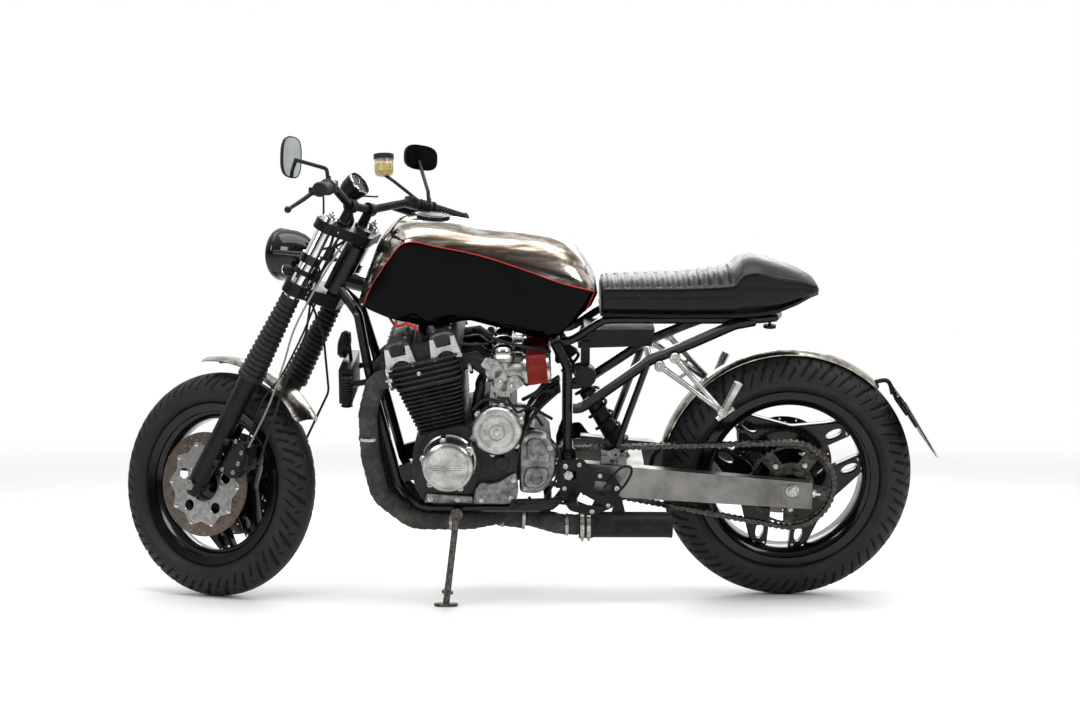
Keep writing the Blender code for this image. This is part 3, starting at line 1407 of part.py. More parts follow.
def rear_guard():
    """A narrow polished blade that follows the tyre, on one arm from the axle."""
    inner = REAR_TYRE_RADIUS + REAR_GUARD_CLEAR
    edge = inner - REAR_GUARD_CROWN
    first, last = REAR_GUARD_FRONT_angle, REAR_GUARD_END_angle
    rings = []
    steps = 12
    for step in range(steps + 1):
        angle = first + (last - first) * step / steps
        outward = Vector((cos(angle), 0, sin(angle)))
        ring = []
        for lift, side in ((0, -1), (REAR_GUARD_CROWN, 0), (0, 1)):
            sideways = Vector((0, side * REAR_GUARD_HALF, 0))
            ring.append(REAR_AXLE + outward * (edge + lift) + sideways)
        for lift, side in ((0, 1), (REAR_GUARD_CROWN, 0), (0, -1)):
            sideways = Vector((0, side * REAR_GUARD_HALF, 0))
            ring.append(REAR_AXLE + outward * (edge + lift + REAR_GUARD_SHEET) + sideways)
        rings.append(ring)
    turn = first - radians(1)
    front = REAR_AXLE + (inner - 0.002) * Vector((cos(turn), 0, sin(turn)))
    middle = arm_height(BEAM_REAR_X)[1]
    corners = [
        front,
        (BEAM_REAR_X + 0.028, 0, middle + 0.032),
        (BEAM_REAR_X + 0.022, 0, middle),
        (BEAM_REAR_X + SEAT_GAP, 0, middle),
    ]
    adds = [tube(corners, GUARD_STAY_RADIUS, bend=0.02, sides=6, steps=2)]
    end = REAR_AXLE + (inner + 0.001) * Vector((cos(radians(48)), 0, sin(radians(48))))
    hold = PLATE_TOP + 0.40 * PLATE_HEIGHT * PLATE_DOWN - 0.0085 * PLATE_OUT
    turn = PLATE_TOP + 0.10 * PLATE_HEIGHT * PLATE_DOWN - 0.012 * PLATE_OUT
    elbow = REAR_AXLE + (REAR_TYRE_RADIUS + 0.038) * Vector((cos(radians(45)), 0, sin(radians(45))))
    corners = [end, elbow, turn, hold]
    adds.append(tube(corners, GUARD_STAY_RADIUS, bend=0.02, sides=6, steps=2))
    adds.append(plate_shell(0.20, 0.60, 0.15, -SEAT_GAP - 0.010, -SEAT_GAP))
    return make("rear_guard", POLISHED, rings_to_shell(rings), adds)


def plate_shell(start, end, half_width, near, far):
    """A slab behind or in the number plate: its run down it, its width and its depth."""
    rings = []
    for depth in (near, far):
        ring = []
        for down, across in ((start, -1), (start, 1), (end, 1), (end, -1)):
            sideways = Vector((0, across * half_width * PLATE_WIDTH, 0))
            ring.append(PLATE_TOP + PLATE_DOWN * down * PLATE_HEIGHT + sideways + PLATE_OUT * depth)
        rings.append(ring)
    return rings_to_shell(rings)


def number_plate():
    return make("number_plate", PLATE_WHITE, plate_shell(0, 1, 0.5, 0, PLATE_THICKNESS))


def pillion_hanger(side, word):
    """A bright V of two arms from the frame tube to the folding peg."""
    seat_y = SUBFRAME_SPREAD + SUBFRAME_RADIUS * TUBE_FLAT_share + SEAT_GAP
    near = side * (seat_y + 0.004)
    far = side * 0.150
    lugs = [(1.183, near, 0.668), (1.222, near, 0.690)]
    pivot = (1.345, far, 0.552)
    base = rod(lugs[0], pivot, 0.0075, 6)
    adds = [rod(lugs[1], pivot, 0.0075, 6)]
    for lug in lugs:
        face = Vector((lug[0], side * seat_y, lug[2]))
        adds.append(rod(face, (lug[0], near + side * 0.012, lug[2]), 0.013, 8))
    adds.append(rod((1.345, far - side * 0.008, 0.552), (1.345, far + side * 0.022, 0.552), 0.013, 8))
    adds.append(rod((1.350, far + side * 0.010, 0.556), (1.384, far + side * 0.020, 0.632), 0.009, 8, 0.012))
    return make("pillion_hanger_" + word, ALUMINIUM, base, adds)


def footrest(side, word):
    """A rider's footrest on its bracket, with the gear lever or the brake pedal."""
    y = side * (UPRIGHT_SPREAD + CRADLE_RADIUS * TUBE_FLAT_share + SEAT_GAP)
    out = side * FOOTREST_SPREAD
    end = side * FOOTREST_END
    top, knee = Vector((UPRIGHT_X, 0, FOOTREST_TOP_Z)), Vector((UPRIGHT_X + 0.006, 0, FOOTREST_TOP_Z - 0.049))
    peg = Vector((UPRIGHT_X + 0.014, 0, FOOTREST_Z))
    toe = Vector((FOOTREST_TOE_X, 0, FOOTREST_Z - 0.007))
    across = Vector((0, 1, 0))
    base = rod(top + y * across, top + (y + side * 0.008) * across, 0.010, 8)
    bracket = [top + (y + side * 0.001) * across, top + out * across, knee + out * across, peg + out * across]
    start = peg + Vector((-0.002, out, 0.002))
    middle = Vector((UPRIGHT_X - 0.046, out + side * 0.006, toe.z))
    adds = [
        tube(bracket, 0.008, bend=0.02, sides=6, steps=2, up=(0.9, 0.3, 0)),
        rod(peg + (out - side * 0.004) * across, peg + Vector((0, end, 0.004)), 0.012, 8),
        tube([start, middle, toe + (out + side * 0.014) * across], 0.0055, bend=0.02, sides=6),
        rod(toe + (out + side * 0.008) * across, toe + (end - side * 0.030) * across, 0.009, 6),
    ]
    return make("footrest_" + word, BLACK_SATIN, base, adds)


def front_fittings():
    """Oil cooler across the downtubes and the horn above it."""
    cooler = block((0.350, -0.112, 0.560), (0.384, 0.112, 0.650))
    ahead = Vector((-0.977, 0, -0.2128))
    ears = []
    for y in (-CRADLE_SPREAD, CRADLE_SPREAD):
        on_tube = Vector((0.434, y, 0.620)) + (CRADLE_RADIUS * TUBE_FLAT_share + SEAT_GAP) * ahead
        ears.append(rod(on_tube, on_tube + 0.045 * ahead, 0.008, 6))
    horn_at = Vector((0.352, 0.0, 0.694))
    profile = [
        (0.014, -0.020),
        (HORN_RADIUS - 0.002, -0.014),
        (HORN_RADIUS, 0),
        (HORN_RADIUS - 0.008, 0.010),
        (0.008, 0.014),
    ]
    horn = lathe(profile, 14, horn_at, (-1, 0, 0.2))
    stay = rod(horn_at + Vector((0.016, 0, -0.003)), (0.372, 0, 0.6495), 0.005, 6)
    return make("oil_cooler", BLACK_SATIN, cooler, [*ears, horn, stay])


def rear_shock():
    low, high = shock_ends()
    length = (high - low).length
    eye, body, coil_radius = SHOCK_EYE_RADIUS, SHOCK_BODY_RADIUS, SHOCK_COIL_RADIUS
    profile = [(eye, 0), (body, 0.020)]
    for coil in range(SHOCK_COILS):
        start = 0.030 + coil * (length - 0.110) / SHOCK_COILS
        profile += [(coil_radius, start + 0.004), (coil_radius, start + 0.016), (body, start + 0.020)]
    profile += [(body + 0.002, length - 0.060), (eye * 1.5, length - 0.020), (eye, length)]
    return make("rear_shock", BLACK_SATIN, lathe(profile, 12, low, high - low))


def rear_caliper():
    """The rear brake caliper astride its disc, on a bracket from the axle."""
    y = REAR_DISC_Y
    reach = REAR_CALIPER_share * REAR_DISC_RADIUS * sqrt(0.5)
    spot = REAR_AXLE + Vector((-reach, 0, reach))
    back, up, down = 0.36 * REAR_DISC_RADIUS, 0.29 * REAR_DISC_RADIUS, 0.16 * REAR_DISC_RADIUS
    body = block((spot.x - back, y - 0.024, spot.z - down), (spot.x + up, y + 0.024, spot.z + up))
    slot_half = DISC_THICKNESS / 2 + RUNNING_GAP
    edge = REAR_DISC_RADIUS + CALIPER_SLOT_DEEPER
    slot_profile = [(0.04, -slot_half), (edge, -slot_half), (edge, slot_half), (0.04, slot_half)]
    slot = lathe(slot_profile, 40, REAR_AXLE + Vector((0, y, 0)), (0, 1, 0), ring=True)
    outline = [
        (REAR_AXLE.x - 0.020, REAR_AXLE.z - 0.020),
        (REAR_AXLE.x + 0.020, REAR_AXLE.z - 0.016),
        (REAR_AXLE.x + 0.018, REAR_AXLE.z + 0.020),
        (spot.x + 0.030, spot.z + 0.030),
        (spot.x - 0.030, spot.z - 0.010),
    ]
    arm = prism(outline, y + 0.010, ARM_Y - ARM_WALL / 2 - SEAT_GAP)
    axle_bore = bore(REAR_AXLE, REAR_AXLE + Vector((0, 2 * ARM_Y, 0)), AXLE_RADIUS)
    return make("rear_caliper", BLACK_SATIN, body, [arm], [slot, axle_bore])


def front_caliper(side, word):
    """A caliper astride the front disc, behind the slider on its two lugs."""
    y = FRONT_DISC_Y * side
    centre = on_leg(CALIPER_AT) + (CALIPER_FRONT + CALIPER_DEPTH / 2) * FORK_BACK
    half = CALIPER_DEPTH / 2
    wide, narrow = 0.37 * FRONT_DISC_RADIUS, 0.257 * FRONT_DISC_RADIUS
    reach = 0.414 * FRONT_DISC_RADIUS
    outline = [(-wide, -half), (wide, -half), (reach, 0), (narrow, half), (-narrow, half), (-reach, 0)]
    rings = []
    for level in (y - side * 0.026, y + side * 0.034):
        ring = []
        for up, back in outline:
            ring.append(centre + up * FORK_LINE + back * FORK_BACK + Vector((0, level, 0)))
        rings.append(ring)
    slot_half = DISC_THICKNESS / 2 + RUNNING_GAP
    edge = FRONT_DISC_RADIUS + CALIPER_SLOT_DEEPER
    slot_profile = [(0.04, -slot_half), (edge, -slot_half), (edge, slot_half), (0.04, slot_half)]
    slot = lathe(slot_profile, 40, FRONT_AXLE + Vector((0, y, 0)), (0, 1, 0), ring=True)
    return make("front_caliper_" + word, BLACK_SATIN, rings_to_shell(rings), [], [slot])


def front_guard():
    """A short polished blade over the front tyre, carried by a strap to each slider."""
    inner = FRONT_TYRE_RADIUS + FRONT_GUARD_CLEAR
    first, last = FRONT_GUARD_FRONT_angle, FRONT_GUARD_END_angle
    rings = []
    steps = 10
    for step in range(steps + 1):
        angle = first + (last - first) * step / steps
        outward = Vector((cos(angle), 0, sin(angle)))
        ring = []
        for thick in (0, FRONT_GUARD_SHEET):
            row = [(-1, -0.012), (-0.6, -0.002), (0, 0.002), (0.6, -0.002), (1, -0.012)]
            row = row if thick == 0 else list(reversed(row))
            for share, lift in row:
                sideways = Vector((0, share * FRONT_GUARD_HALF, 0))
                ring.append(FRONT_AXLE + outward * (inner + lift + thick) + sideways)
        rings.append(ring)
    adds = []
    for side in (-1, 1):
        at = on_leg(0.300, side)
        inside = at - Vector((0, side * (SLIDER_RADIUS + SEAT_GAP), 0))
        elbow = inside - Vector((0, side * 0.008, 0))
        hold = on_leg(inner - 0.006, side * 0.42)
        adds.append(rod(inside, elbow - Vector((0, side * 0.004, 0)), 0.007, 8))
        adds.append(rod(elbow, hold, 0.0065, 8))
    return make("front_guard", POLISHED, rings_to_shell(rings), adds)


def headlamp():
    """A bowl with a deep rim and domed lens, on two stays from the fork tubes."""
    profile = [
        (0.030, -0.006),
        (HEADLAMP_RADIUS * 0.75, -0.001),
        (HEADLAMP_RADIUS - 0.004, 0.004),
        (HEADLAMP_RADIUS, 0.006),
        (HEADLAMP_RADIUS, 0.022),
        (HEADLAMP_RADIUS - 0.004, 0.026),
        (HEADLAMP_RADIUS * 0.93, 0.055),
        (HEADLAMP_RADIUS * 0.72, 0.088),
        (HEADLAMP_RADIUS * 0.36, HEADLAMP_DEPTH),
    ]
    bowl = lathe(profile, 12, (HEADLAMP_X, 0, HEADLAMP_Z), (1, 0, 0))
    adds = []
    cuts = []
    for side in (-1, 1):
        at = on_leg(0.690, side)
        ring = rod(at - 0.012 * FORK_LINE, at + 0.012 * FORK_LINE, TUBE_RADIUS + 0.006, 14)
        adds.append(ring)
        eye = Vector((HEADLAMP_X + 0.040, side * (HEADLAMP_RADIUS - 0.004), HEADLAMP_Z))
        across = Vector((0, side, 0))
        stay = [eye - 0.010 * across, eye + 0.012 * across, at - 0.022 * FORK_BACK]
        adds.append(tube(stay, STAY_RADIUS, sides=6, up=(0, 0, 1)))
        cuts.append(bore(at - 0.05 * FORK_LINE, at + 0.05 * FORK_LINE, TUBE_RADIUS, 16))
    return make("headlamp", BLACK_GLOSS, bowl, adds, cuts)


def instrument():
    face = Vector((0.392, 0, 1.124))
    way = Vector((0.80, 0, 0.60)).normalized()
    top = UPPER_CLAMP_AT + UPPER_CLAMP_HEIGHT
    profile = [
        (GAUGE_RADIUS * 0.6, 0),
        (GAUGE_RADIUS * 0.9, GAUGE_DEPTH * 0.3),
        (GAUGE_RADIUS, GAUGE_DEPTH - 0.012),
        (GAUGE_RADIUS, GAUGE_DEPTH),
    ]
    bowl = lathe(profile, 16, face - way * GAUGE_DEPTH, way)
    foot = on_leg(top + SEAT_GAP)
    knee = foot + 0.012 * FORK_LINE
    path = [foot, knee, (0.362, 0, 1.060), face - way * (GAUGE_DEPTH - 0.010)]
    stay = tube(path, STAY_RADIUS, bend=0.01, sides=6, steps=2)
    return make("instrument", BLACK_SATIN, bowl, [stay])


BAR_INNER = (0.398, 0.050, 1.058)
BAR_RISE = (0.432, 0.185, 1.094)
BAR_END = (0.508, 0.345, 1.066)


def handlebar():
    """A low one-piece bar on two risers that stand on the top clamp."""
    corners = [mirrored(BAR_END, -1), mirrored(BAR_RISE, -1), mirrored(BAR_INNER, -1)]
    corners += [mirrored(BAR_INNER, 1), mirrored(BAR_RISE, 1), mirrored(BAR_END, 1)]
    base = tube(corners, BAR_RADIUS, bend=0.05, sides=8, up=(0, 0, 1), steps=3)
    top = UPPER_CLAMP_AT + UPPER_CLAMP_HEIGHT
    adds = []
    for side in (-1, 1):
        bar = Vector(mirrored(BAR_INNER, side)) - Vector((0, side * 0.006, 0))
        back = (bar - FRONT_AXLE).dot(FORK_BACK)
        foot = FRONT_AXLE + (top + SEAT_GAP) * FORK_LINE + back * FORK_BACK + Vector((0, bar.y, 0))
        adds.append(rod(foot, bar + 0.004 * FORK_LINE, 0.013, 8))
        adds.append(rod(bar - Vector((0, 0.012, 0)), bar + Vector((0, 0.012, 0)), 0.018, 10))
    return make("handlebar", BLACK_SATIN, base, adds)


def grip(side, word):
    rise, end = Vector(mirrored(BAR_RISE, side)), Vector(mirrored(BAR_END, side))
    way = (end - rise).normalized()
    start = end - way * GRIP_LENGTH
    hole = bore(start - way * 0.02, end + way * 0.0005, BAR_RADIUS, 10)
    profile = [
        (GRIP_RADIUS + 0.004, 0),
        (GRIP_RADIUS + 0.004, 0.005),
        (GRIP_RADIUS, 0.009),
        (GRIP_RADIUS, GRIP_LENGTH - 0.002),
        (GRIP_RADIUS + 0.002, GRIP_LENGTH + 0.003),
        (GRIP_RADIUS - 0.003, GRIP_LENGTH + 0.008),
    ]
    return make("grip_" + word, RUBBER, lathe(profile, 12, start, way), [], [hole])


def lever(side, word):
    """A perch clamped on the bar with its lever in front of the grip."""
    rise, end = Vector(mirrored(BAR_RISE, side)), Vector(mirrored(BAR_END, side))
    way = (end - rise).normalized()
    at = rise + way * 0.041
    clamp = rod(at - way * 0.011, at + way * 0.011, BAR_RADIUS + 0.0065, 10)
    hole = bore(at - way * 0.03, at + way * 0.03, BAR_RADIUS, 8)
    ahead = Vector((-0.045, side * 0.006, -0.014))
    pivot = at + ahead
    blade = [
        pivot - way * 0.006,
        pivot + way * 0.050 + Vector((-0.008, 0, -0.012)),
        pivot + way * LEVER_LENGTH + Vector((-0.038, 0, -0.036)),
    ]
    ball = [(0.001, -0.009), (0.007, -0.006), (0.009, 0), (0.007, 0.006), (0.001, 0.009)]
    adds = [
        rod(at + ahead * 0.25, pivot, 0.009, 6),
        rod(pivot - Vector((0, 0, 0.010)), pivot + Vector((0, 0, 0.010)), 0.011, 8),
        tube(blade, 0.0060, bend=0.04, sides=6, up=(0, 0, 1)),
        lathe(ball, 6, blade[-1], blade[-1] - blade[-2]),
    ]
    if side > 0:
        adds.append(rod(pivot - way * 0.052, pivot + way * 0.002, 0.012, 8))
    return make(("clutch_lever", "brake_lever")[side > 0], BLACK_SATIN, clamp, adds, [hole])


RESERVOIR_AT = Vector((0.352, 0.172, 1.162))


def reservoir():
    """A clear cup with a dark cap, on a stay down to the bar."""
    profile = [
        (RESERVOIR_RADIUS - 0.010, 0),
        (RESERVOIR_RADIUS - 0.002, 0.006),
        (RESERVOIR_RADIUS, 0.045),
        (RESERVOIR_RADIUS + 0.002, 0.046),
        (RESERVOIR_RADIUS + 0.002, RESERVOIR_HEIGHT),
    ]
    cup = lathe(profile, 14, RESERVOIR_AT, (-0.1, 0, 1))
    rise, end = Vector(mirrored(BAR_RISE, 1)), Vector(mirrored(BAR_END, 1))
    way = (end - rise).normalized()
    at = rise + way * 0.021
    ring = rod(at - way * 0.006, at + way * 0.006, BAR_RADIUS + 0.005, 10)
    hole = bore(at - way * 0.02, at + way * 0.02, BAR_RADIUS, 8)
    knee = RESERVOIR_AT + Vector((0.030, 0, -0.012))
    path = [at + Vector((0, 0, 0.013)), knee, RESERVOIR_AT + Vector((0, 0, 0.004))]
    stay = tube(path, STEM_BAR_RADIUS, bend=0.02, sides=6)
    return make("brake_reservoir", AMBER_FLUID, cup, [ring, stay], [hole])


def mirror(side, word, centre, normal, width, height):
    """A stem from the bar to a thin rounded mirror."""
    rise, end = Vector(mirrored(BAR_RISE, side)), Vector(mirrored(BAR_END, side))
    way = (end - rise).normalized()
    at = rise + way * 0.061
    clamp = rod(at - way * 0.006, at + way * 0.006, BAR_RADIUS + 0.006, 10)
    hole = bore(at - way * 0.02, at + way * 0.02, BAR_RADIUS, 8)
    normal = Vector(normal).normalized()
    across = Vector((0, 0, 1)).cross(normal).normalized()
    up = normal.cross(across)
    centre = Vector(centre)
    rings = []
    for depth, size in ((-0.016, 0.55), (-0.010, 0.90), (-0.002, 1.0), (0.002, 1.0), (0.003, 0.93)):
        ring = []
        for step in range(16):
            angle = 2 * pi * step / 16
            a, b = cos(angle), sin(angle)
            bulge = (abs(a) ** 3 + abs(b) ** 3) ** (-1 / 3)
            edge = across * a * width / 2 + up * b * height / 2
            ring.append(centre + normal * depth + size * bulge * edge)
        rings.append(ring)
    back = centre - normal * 0.013
    path = [at + Vector((0, 0, 0.012)), at + Vector((-0.006, side * 0.002, 0.045)), back]
    stem = tube(path, STEM_BAR_RADIUS, bend=0.012, sides=6)
    return make("mirror_" + word, BLACK_PLASTIC, clamp, [rings_to_shell(rings), stem], [hole])


def brake_hoses():
    """Two hoses from a splitter under the lower clamp down to the calipers."""
    split = on_leg(LOWER_CLAMP_AT - SEAT_GAP) - 0.004 * FORK_BACK
    base = rod(split - 0.026 * FORK_LINE, split, 0.010, 8)
    adds = []
    for side in (-1, 1):
        back = CALIPER_FRONT + CALIPER_DEPTH + SEAT_GAP
        end = on_leg(CALIPER_AT) + back * FORK_BACK + Vector((0, side * (FRONT_DISC_Y + 0.014), 0))
        corners = [
            split - 0.015 * FORK_LINE,
            on_leg(0.50) + 0.055 * FORK_BACK + Vector((0, side * 0.040, 0)),
            on_leg(0.36) + 0.110 * FORK_BACK + Vector((0, side * 0.105, 0)),
            end + 0.040 * FORK_BACK + 0.03 * FORK_LINE,
            end + 0.012 * FORK_BACK,
            end,
        ]
        adds.append(tube(corners, 0.0032, bend=0.05, sides=5, steps=3))
    return make("brake_hoses", BLACK_PLASTIC, base, adds)


def turn_and_lean():
    """Turns the steering to where it is parked and leans the motorcycle on its stand."""
    steering.matrix_basis = empties["steering_axis"] @ Matrix.Rotation(-STEER_angle, 4, "Z")
    motorcycle.matrix_basis = STANCE
    bpy.context.view_layer.update()
    corners = []
    for obj in bpy.data.objects:
        if obj.type == "MESH":
            corners += [obj.matrix_world @ vertex.co for vertex in obj.data.vertices]
    low = np.min([tuple(corner) for corner in corners], axis=0)
    high = np.max([tuple(corner) for corner in corners], axis=0)
    shift = Matrix.Translation((-(low[0] + high[0]) / 2, -(low[1] + high[1]) / 2, -low[2]))
    motorcycle.matrix_basis = shift @ STANCE
    bpy.context.view_layer.update()


front_tyre = tyre(
    "front_tyre",
    FRONT_AXLE,
    FRONT_TYRE_RADIUS,
    FRONT_TYRE_WIDTH,
    FRONT_BEAD_RADIUS,
    FRONT_RIM_WIDTH,
    contact_phase(STANCE @ STEERED),
)
front_wheel = wheel(
    "front_wheel", FRONT_AXLE, FRONT_BEAD_RADIUS, FRONT_RIM_WIDTH, FRONT_HUB_HALF, FRONT_SPOKE_angle
)
rear_tyre = tyre(
    "rear_tyre",
    REAR_AXLE,
    REAR_TYRE_RADIUS,
    REAR_TYRE_WIDTH,
    REAR_BEAD_RADIUS,
    REAR_RIM_WIDTH,
    contact_phase(STANCE),
)
rear_wheel = wheel(
    "rear_wheel", REAR_AXLE, REAR_BEAD_RADIUS, REAR_RIM_WIDTH, REAR_HUB_HALF, REAR_SPOKE_angle
)
hang(front_wheel_axis, front_tyre, front_wheel)
hang(rear_wheel_axis, rear_tyre, rear_wheel, sprocket())
for side, word in ((-1, "left"), (1, "right")):
    disc = brake_disc(
        "front_disc_" + word,
        FRONT_AXLE,
        FRONT_DISC_RADIUS,
        FRONT_DISC_INNER,
        FRONT_DISC_Y,
        FRONT_HUB_HALF,
        side,
    )
    hang(front_wheel_axis, disc)
rear_disc = brake_disc(
    "rear_disc", REAR_AXLE, REAR_DISC_RADIUS, REAR_DISC_INNER, REAR_DISC_Y, REAR_HUB_HALF, 1
)
hang(rear_wheel_axis, rear_disc)
for side, word in ((-1, "left"), (1, "right")):
    hang(steering, *fork_leg(side, word), grip(side, word), lever(side, word), front_caliper(side, word))
    hang(motorcycle, pillion_hanger(side, word), footrest(side, word))
hang(steering, *steering_head(), front_guard(), headlamp(), instrument())
hang(steering, handlebar(), reservoir(), brake_hoses())
hang(
    steering,
    mirror(-1, "left", (0.385, -0.300, 1.150), (1, -0.10, 0.05), 0.070, 0.104),
    mirror(1, "right", (0.372, 0.320, 1.232), (0.92, -0.38, 0.05), 0.112, 0.070),
    axle("front_axle", FRONT_AXLE, FORK_SPREAD + 0.030, 0.006),
)
hang(motorcycle, main_frame(), subframe(), swingarm(), axle("rear_axle", REAR_AXLE, ARM_Y + 0.018, 0.007))
hang(motorcycle, crankcase(), *engine(), carburettors(), *exhaust(), chain(), rear_caliper(), rear_shock())
hang(motorcycle, fuel_tank(), filler_cap(), *seat(), electrics_box(), rear_guard(), number_plate())
hang(motorcycle, front_fittings())
hang(stand_axis, side_stand())
turn_and_lean()
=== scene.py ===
"""A cafe racer motorcycle on its side stand, in a pale studio."""

import json
from math import acos, atan2, cos, pi, radians, sin, sqrt

import bpy
from mathutils import Matrix, Vector, noise

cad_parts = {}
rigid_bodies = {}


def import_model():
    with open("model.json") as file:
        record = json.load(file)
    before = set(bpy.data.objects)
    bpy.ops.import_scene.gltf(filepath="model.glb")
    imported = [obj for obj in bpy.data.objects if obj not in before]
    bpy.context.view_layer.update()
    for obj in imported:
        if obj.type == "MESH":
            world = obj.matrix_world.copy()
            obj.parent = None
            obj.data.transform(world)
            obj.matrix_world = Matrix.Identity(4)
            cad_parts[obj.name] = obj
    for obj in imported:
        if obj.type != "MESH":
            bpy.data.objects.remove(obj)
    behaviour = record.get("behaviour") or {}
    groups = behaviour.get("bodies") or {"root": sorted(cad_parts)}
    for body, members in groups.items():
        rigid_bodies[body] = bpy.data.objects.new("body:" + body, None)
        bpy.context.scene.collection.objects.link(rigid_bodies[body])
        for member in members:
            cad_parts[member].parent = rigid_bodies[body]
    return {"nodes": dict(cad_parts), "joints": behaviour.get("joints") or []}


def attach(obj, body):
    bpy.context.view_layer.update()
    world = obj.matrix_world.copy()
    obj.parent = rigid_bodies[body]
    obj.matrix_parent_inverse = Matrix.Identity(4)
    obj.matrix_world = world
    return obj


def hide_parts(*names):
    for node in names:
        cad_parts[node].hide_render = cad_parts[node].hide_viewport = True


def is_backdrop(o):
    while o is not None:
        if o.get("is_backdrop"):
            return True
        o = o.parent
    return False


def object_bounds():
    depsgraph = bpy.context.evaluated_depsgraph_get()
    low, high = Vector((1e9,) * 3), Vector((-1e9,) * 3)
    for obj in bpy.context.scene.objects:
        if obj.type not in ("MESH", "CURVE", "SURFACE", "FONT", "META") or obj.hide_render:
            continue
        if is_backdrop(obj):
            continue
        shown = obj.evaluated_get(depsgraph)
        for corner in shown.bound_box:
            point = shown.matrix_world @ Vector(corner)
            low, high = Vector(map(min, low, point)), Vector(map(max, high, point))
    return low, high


for leftover in list(bpy.data.objects):
    bpy.data.objects.remove(leftover)
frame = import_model()
cad_low, cad_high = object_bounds()

# The camera
# A tripod at about the height of the tank, square to the left side of the motorcycle. Its place and
# its focal length were fitted to the outlines of the two wheels.
PHOTO_WIDTH_px = 1080
PHOTO_FOCUS_px = 1879.84
SENSOR_mm = 36.0
CAMERA_AT = (0.0461, -4.9386, 0.7656)
CAMERA_DOWN_deg = 1.464

camera_data = bpy.data.cameras.new("tripod_camera")
camera_data.sensor_width = SENSOR_mm
camera_data.lens = SENSOR_mm * PHOTO_FOCUS_px / PHOTO_WIDTH_px
camera = bpy.data.objects.new("tripod_camera", camera_data)
camera.location = CAMERA_AT
camera.rotation_euler = (radians(90 - CAMERA_DOWN_deg), 0, 0)
bpy.context.scene.collection.objects.link(camera)
bpy.context.scene.camera = camera
bpy.context.scene.view_settings.view_transform = "Standard"


# The studio
# A pale matt floor that runs out into a white room. One large soft box hangs overhead, two smaller
# ones stand in front to the left and right, and one stands behind.
def linear(hex_colour):
    """An sRGB colour such as 8A8F94 as linear red, green, blue and alpha."""
    parts = [int(hex_colour[at : at + 2], 16) / 255 for at in (0, 2, 4)]
    return [part / 12.92 if part <= 0.04045 else ((part + 0.055) / 1.055) ** 2.4 for part in parts] + [1.0]


def feed(tree, node, inputs):
    """Gives each input of a node its value, or links it to the socket of another node."""
    for name, value in inputs.items():
        if isinstance(value, bpy.types.NodeSocket):
            tree.links.new(value, node.inputs[name])
        else:
            node.inputs[name].default_value = value


def add_node(tree, kind, settings=(), inputs=(), stops=()):
    """Adds a node. Settings are its own choices, inputs are values or sockets, and stops a ramp's colours."""
    made = tree.nodes.new("ShaderNode" + kind)
    for name, value in dict(settings).items():
        setattr(made, name, value)
    feed(tree, made, dict(inputs))
    for number, (place, colour) in enumerate(stops):
        elements = made.color_ramp.elements
        element = elements[number] if number < 2 else elements.new(place)
        element.position = place
        element.color = linear(colour)
    return made


world = bpy.data.worlds.new("white_room")
bpy.context.scene.world = world
world.use_nodes = True
sky = world.node_tree
sky.nodes.clear()
heading = add_node(sky, "SeparateXYZ", inputs={"Vector": add_node(sky, "TexCoord").outputs["Generated"]})
bright_above = add_node(
    sky, "MapRange",
    inputs={"Value": heading.outputs["Z"], "From Min": 0.10, "From Max": 0.75, "To Min": 0.0, "To Max": 0.6}
)
bright_behind = add_node(
    sky, "MapRange",
    inputs={
        "Value": heading.outputs["Y"], "From Min": -0.6, "From Max": 0.7, "To Min": 0.03, "To Max": 0.85
    }
)
room_light = add_node(
    sky, "Math", {"operation": "ADD", "use_clamp": True},
    {0: bright_above.outputs["Result"], 1: bright_behind.outputs["Result"]}
)
rays = add_node(sky, "LightPath")
clear_sight = add_node(
    sky, "Math", {"operation": "MAXIMUM"},
    {0: rays.outputs["Is Camera Ray"], 1: rays.outputs["Is Transmission Ray"]}
)
seen_strength = add_node(
    sky, "Math", {"operation": "MAXIMUM"}, {0: clear_sight.outputs[0], 1: room_light.outputs[0]}
)
backdrop = add_node(
    sky, "Background", inputs={"Color": linear("FFFFFF"), "Strength": seen_strength.outputs[0]}
)
add_node(sky, "OutputWorld", inputs={"Surface": backdrop.outputs[0]})

FLOOR_HALF = 30.0
FLOOR_CLEAR = 0.0005
floor_mesh = bpy.data.meshes.new("floor")
floor_corners = [(-1, -1), (1, -1), (1, 1), (-1, 1)]
floor_mesh.from_pydata(
    [(x * FLOOR_HALF, y * FLOOR_HALF, -FLOOR_CLEAR) for x, y in floor_corners], [], [(0, 1, 2, 3)]
)
floor = bpy.data.objects.new("floor", floor_mesh)
bpy.context.scene.collection.objects.link(floor)
floor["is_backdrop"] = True
floor_paint = bpy.data.materials.new("matt_floor_paint")
floor_paint.use_nodes = True
tree = floor_paint.node_tree
tree.nodes.clear()
place = add_node(tree, "TexCoord").outputs["Object"]
mottle = add_node(tree, "TexNoise", inputs={"Vector": place, "Scale": 3.0, "Detail": 6.0})
tone = add_node(
    tree, "ValToRGB", inputs={"Fac": mottle.outputs["Fac"]}, stops=((0.3, "DEDEDD"), (0.7, "E4E4E3"))
)
matt = add_node(tree, "BsdfPrincipled", inputs={"Base Color": tone.outputs["Color"], "Roughness": 0.55})
far_white = add_node(tree, "Emission", inputs={"Color": linear("FFFFFF"), "Strength": 1.0})
distance = add_node(tree, "VectorMath", {"operation": "LENGTH"}, {0: place})
fade = add_node(
    tree, "MapRange", {"interpolation_type": "SMOOTHSTEP"},
    {"Value": distance.outputs["Value"], "From Min": 2.0, "From Max": 7.0, "To Min": 0.0, "To Max": 1.0}
)
floor_rays = add_node(tree, "LightPath")
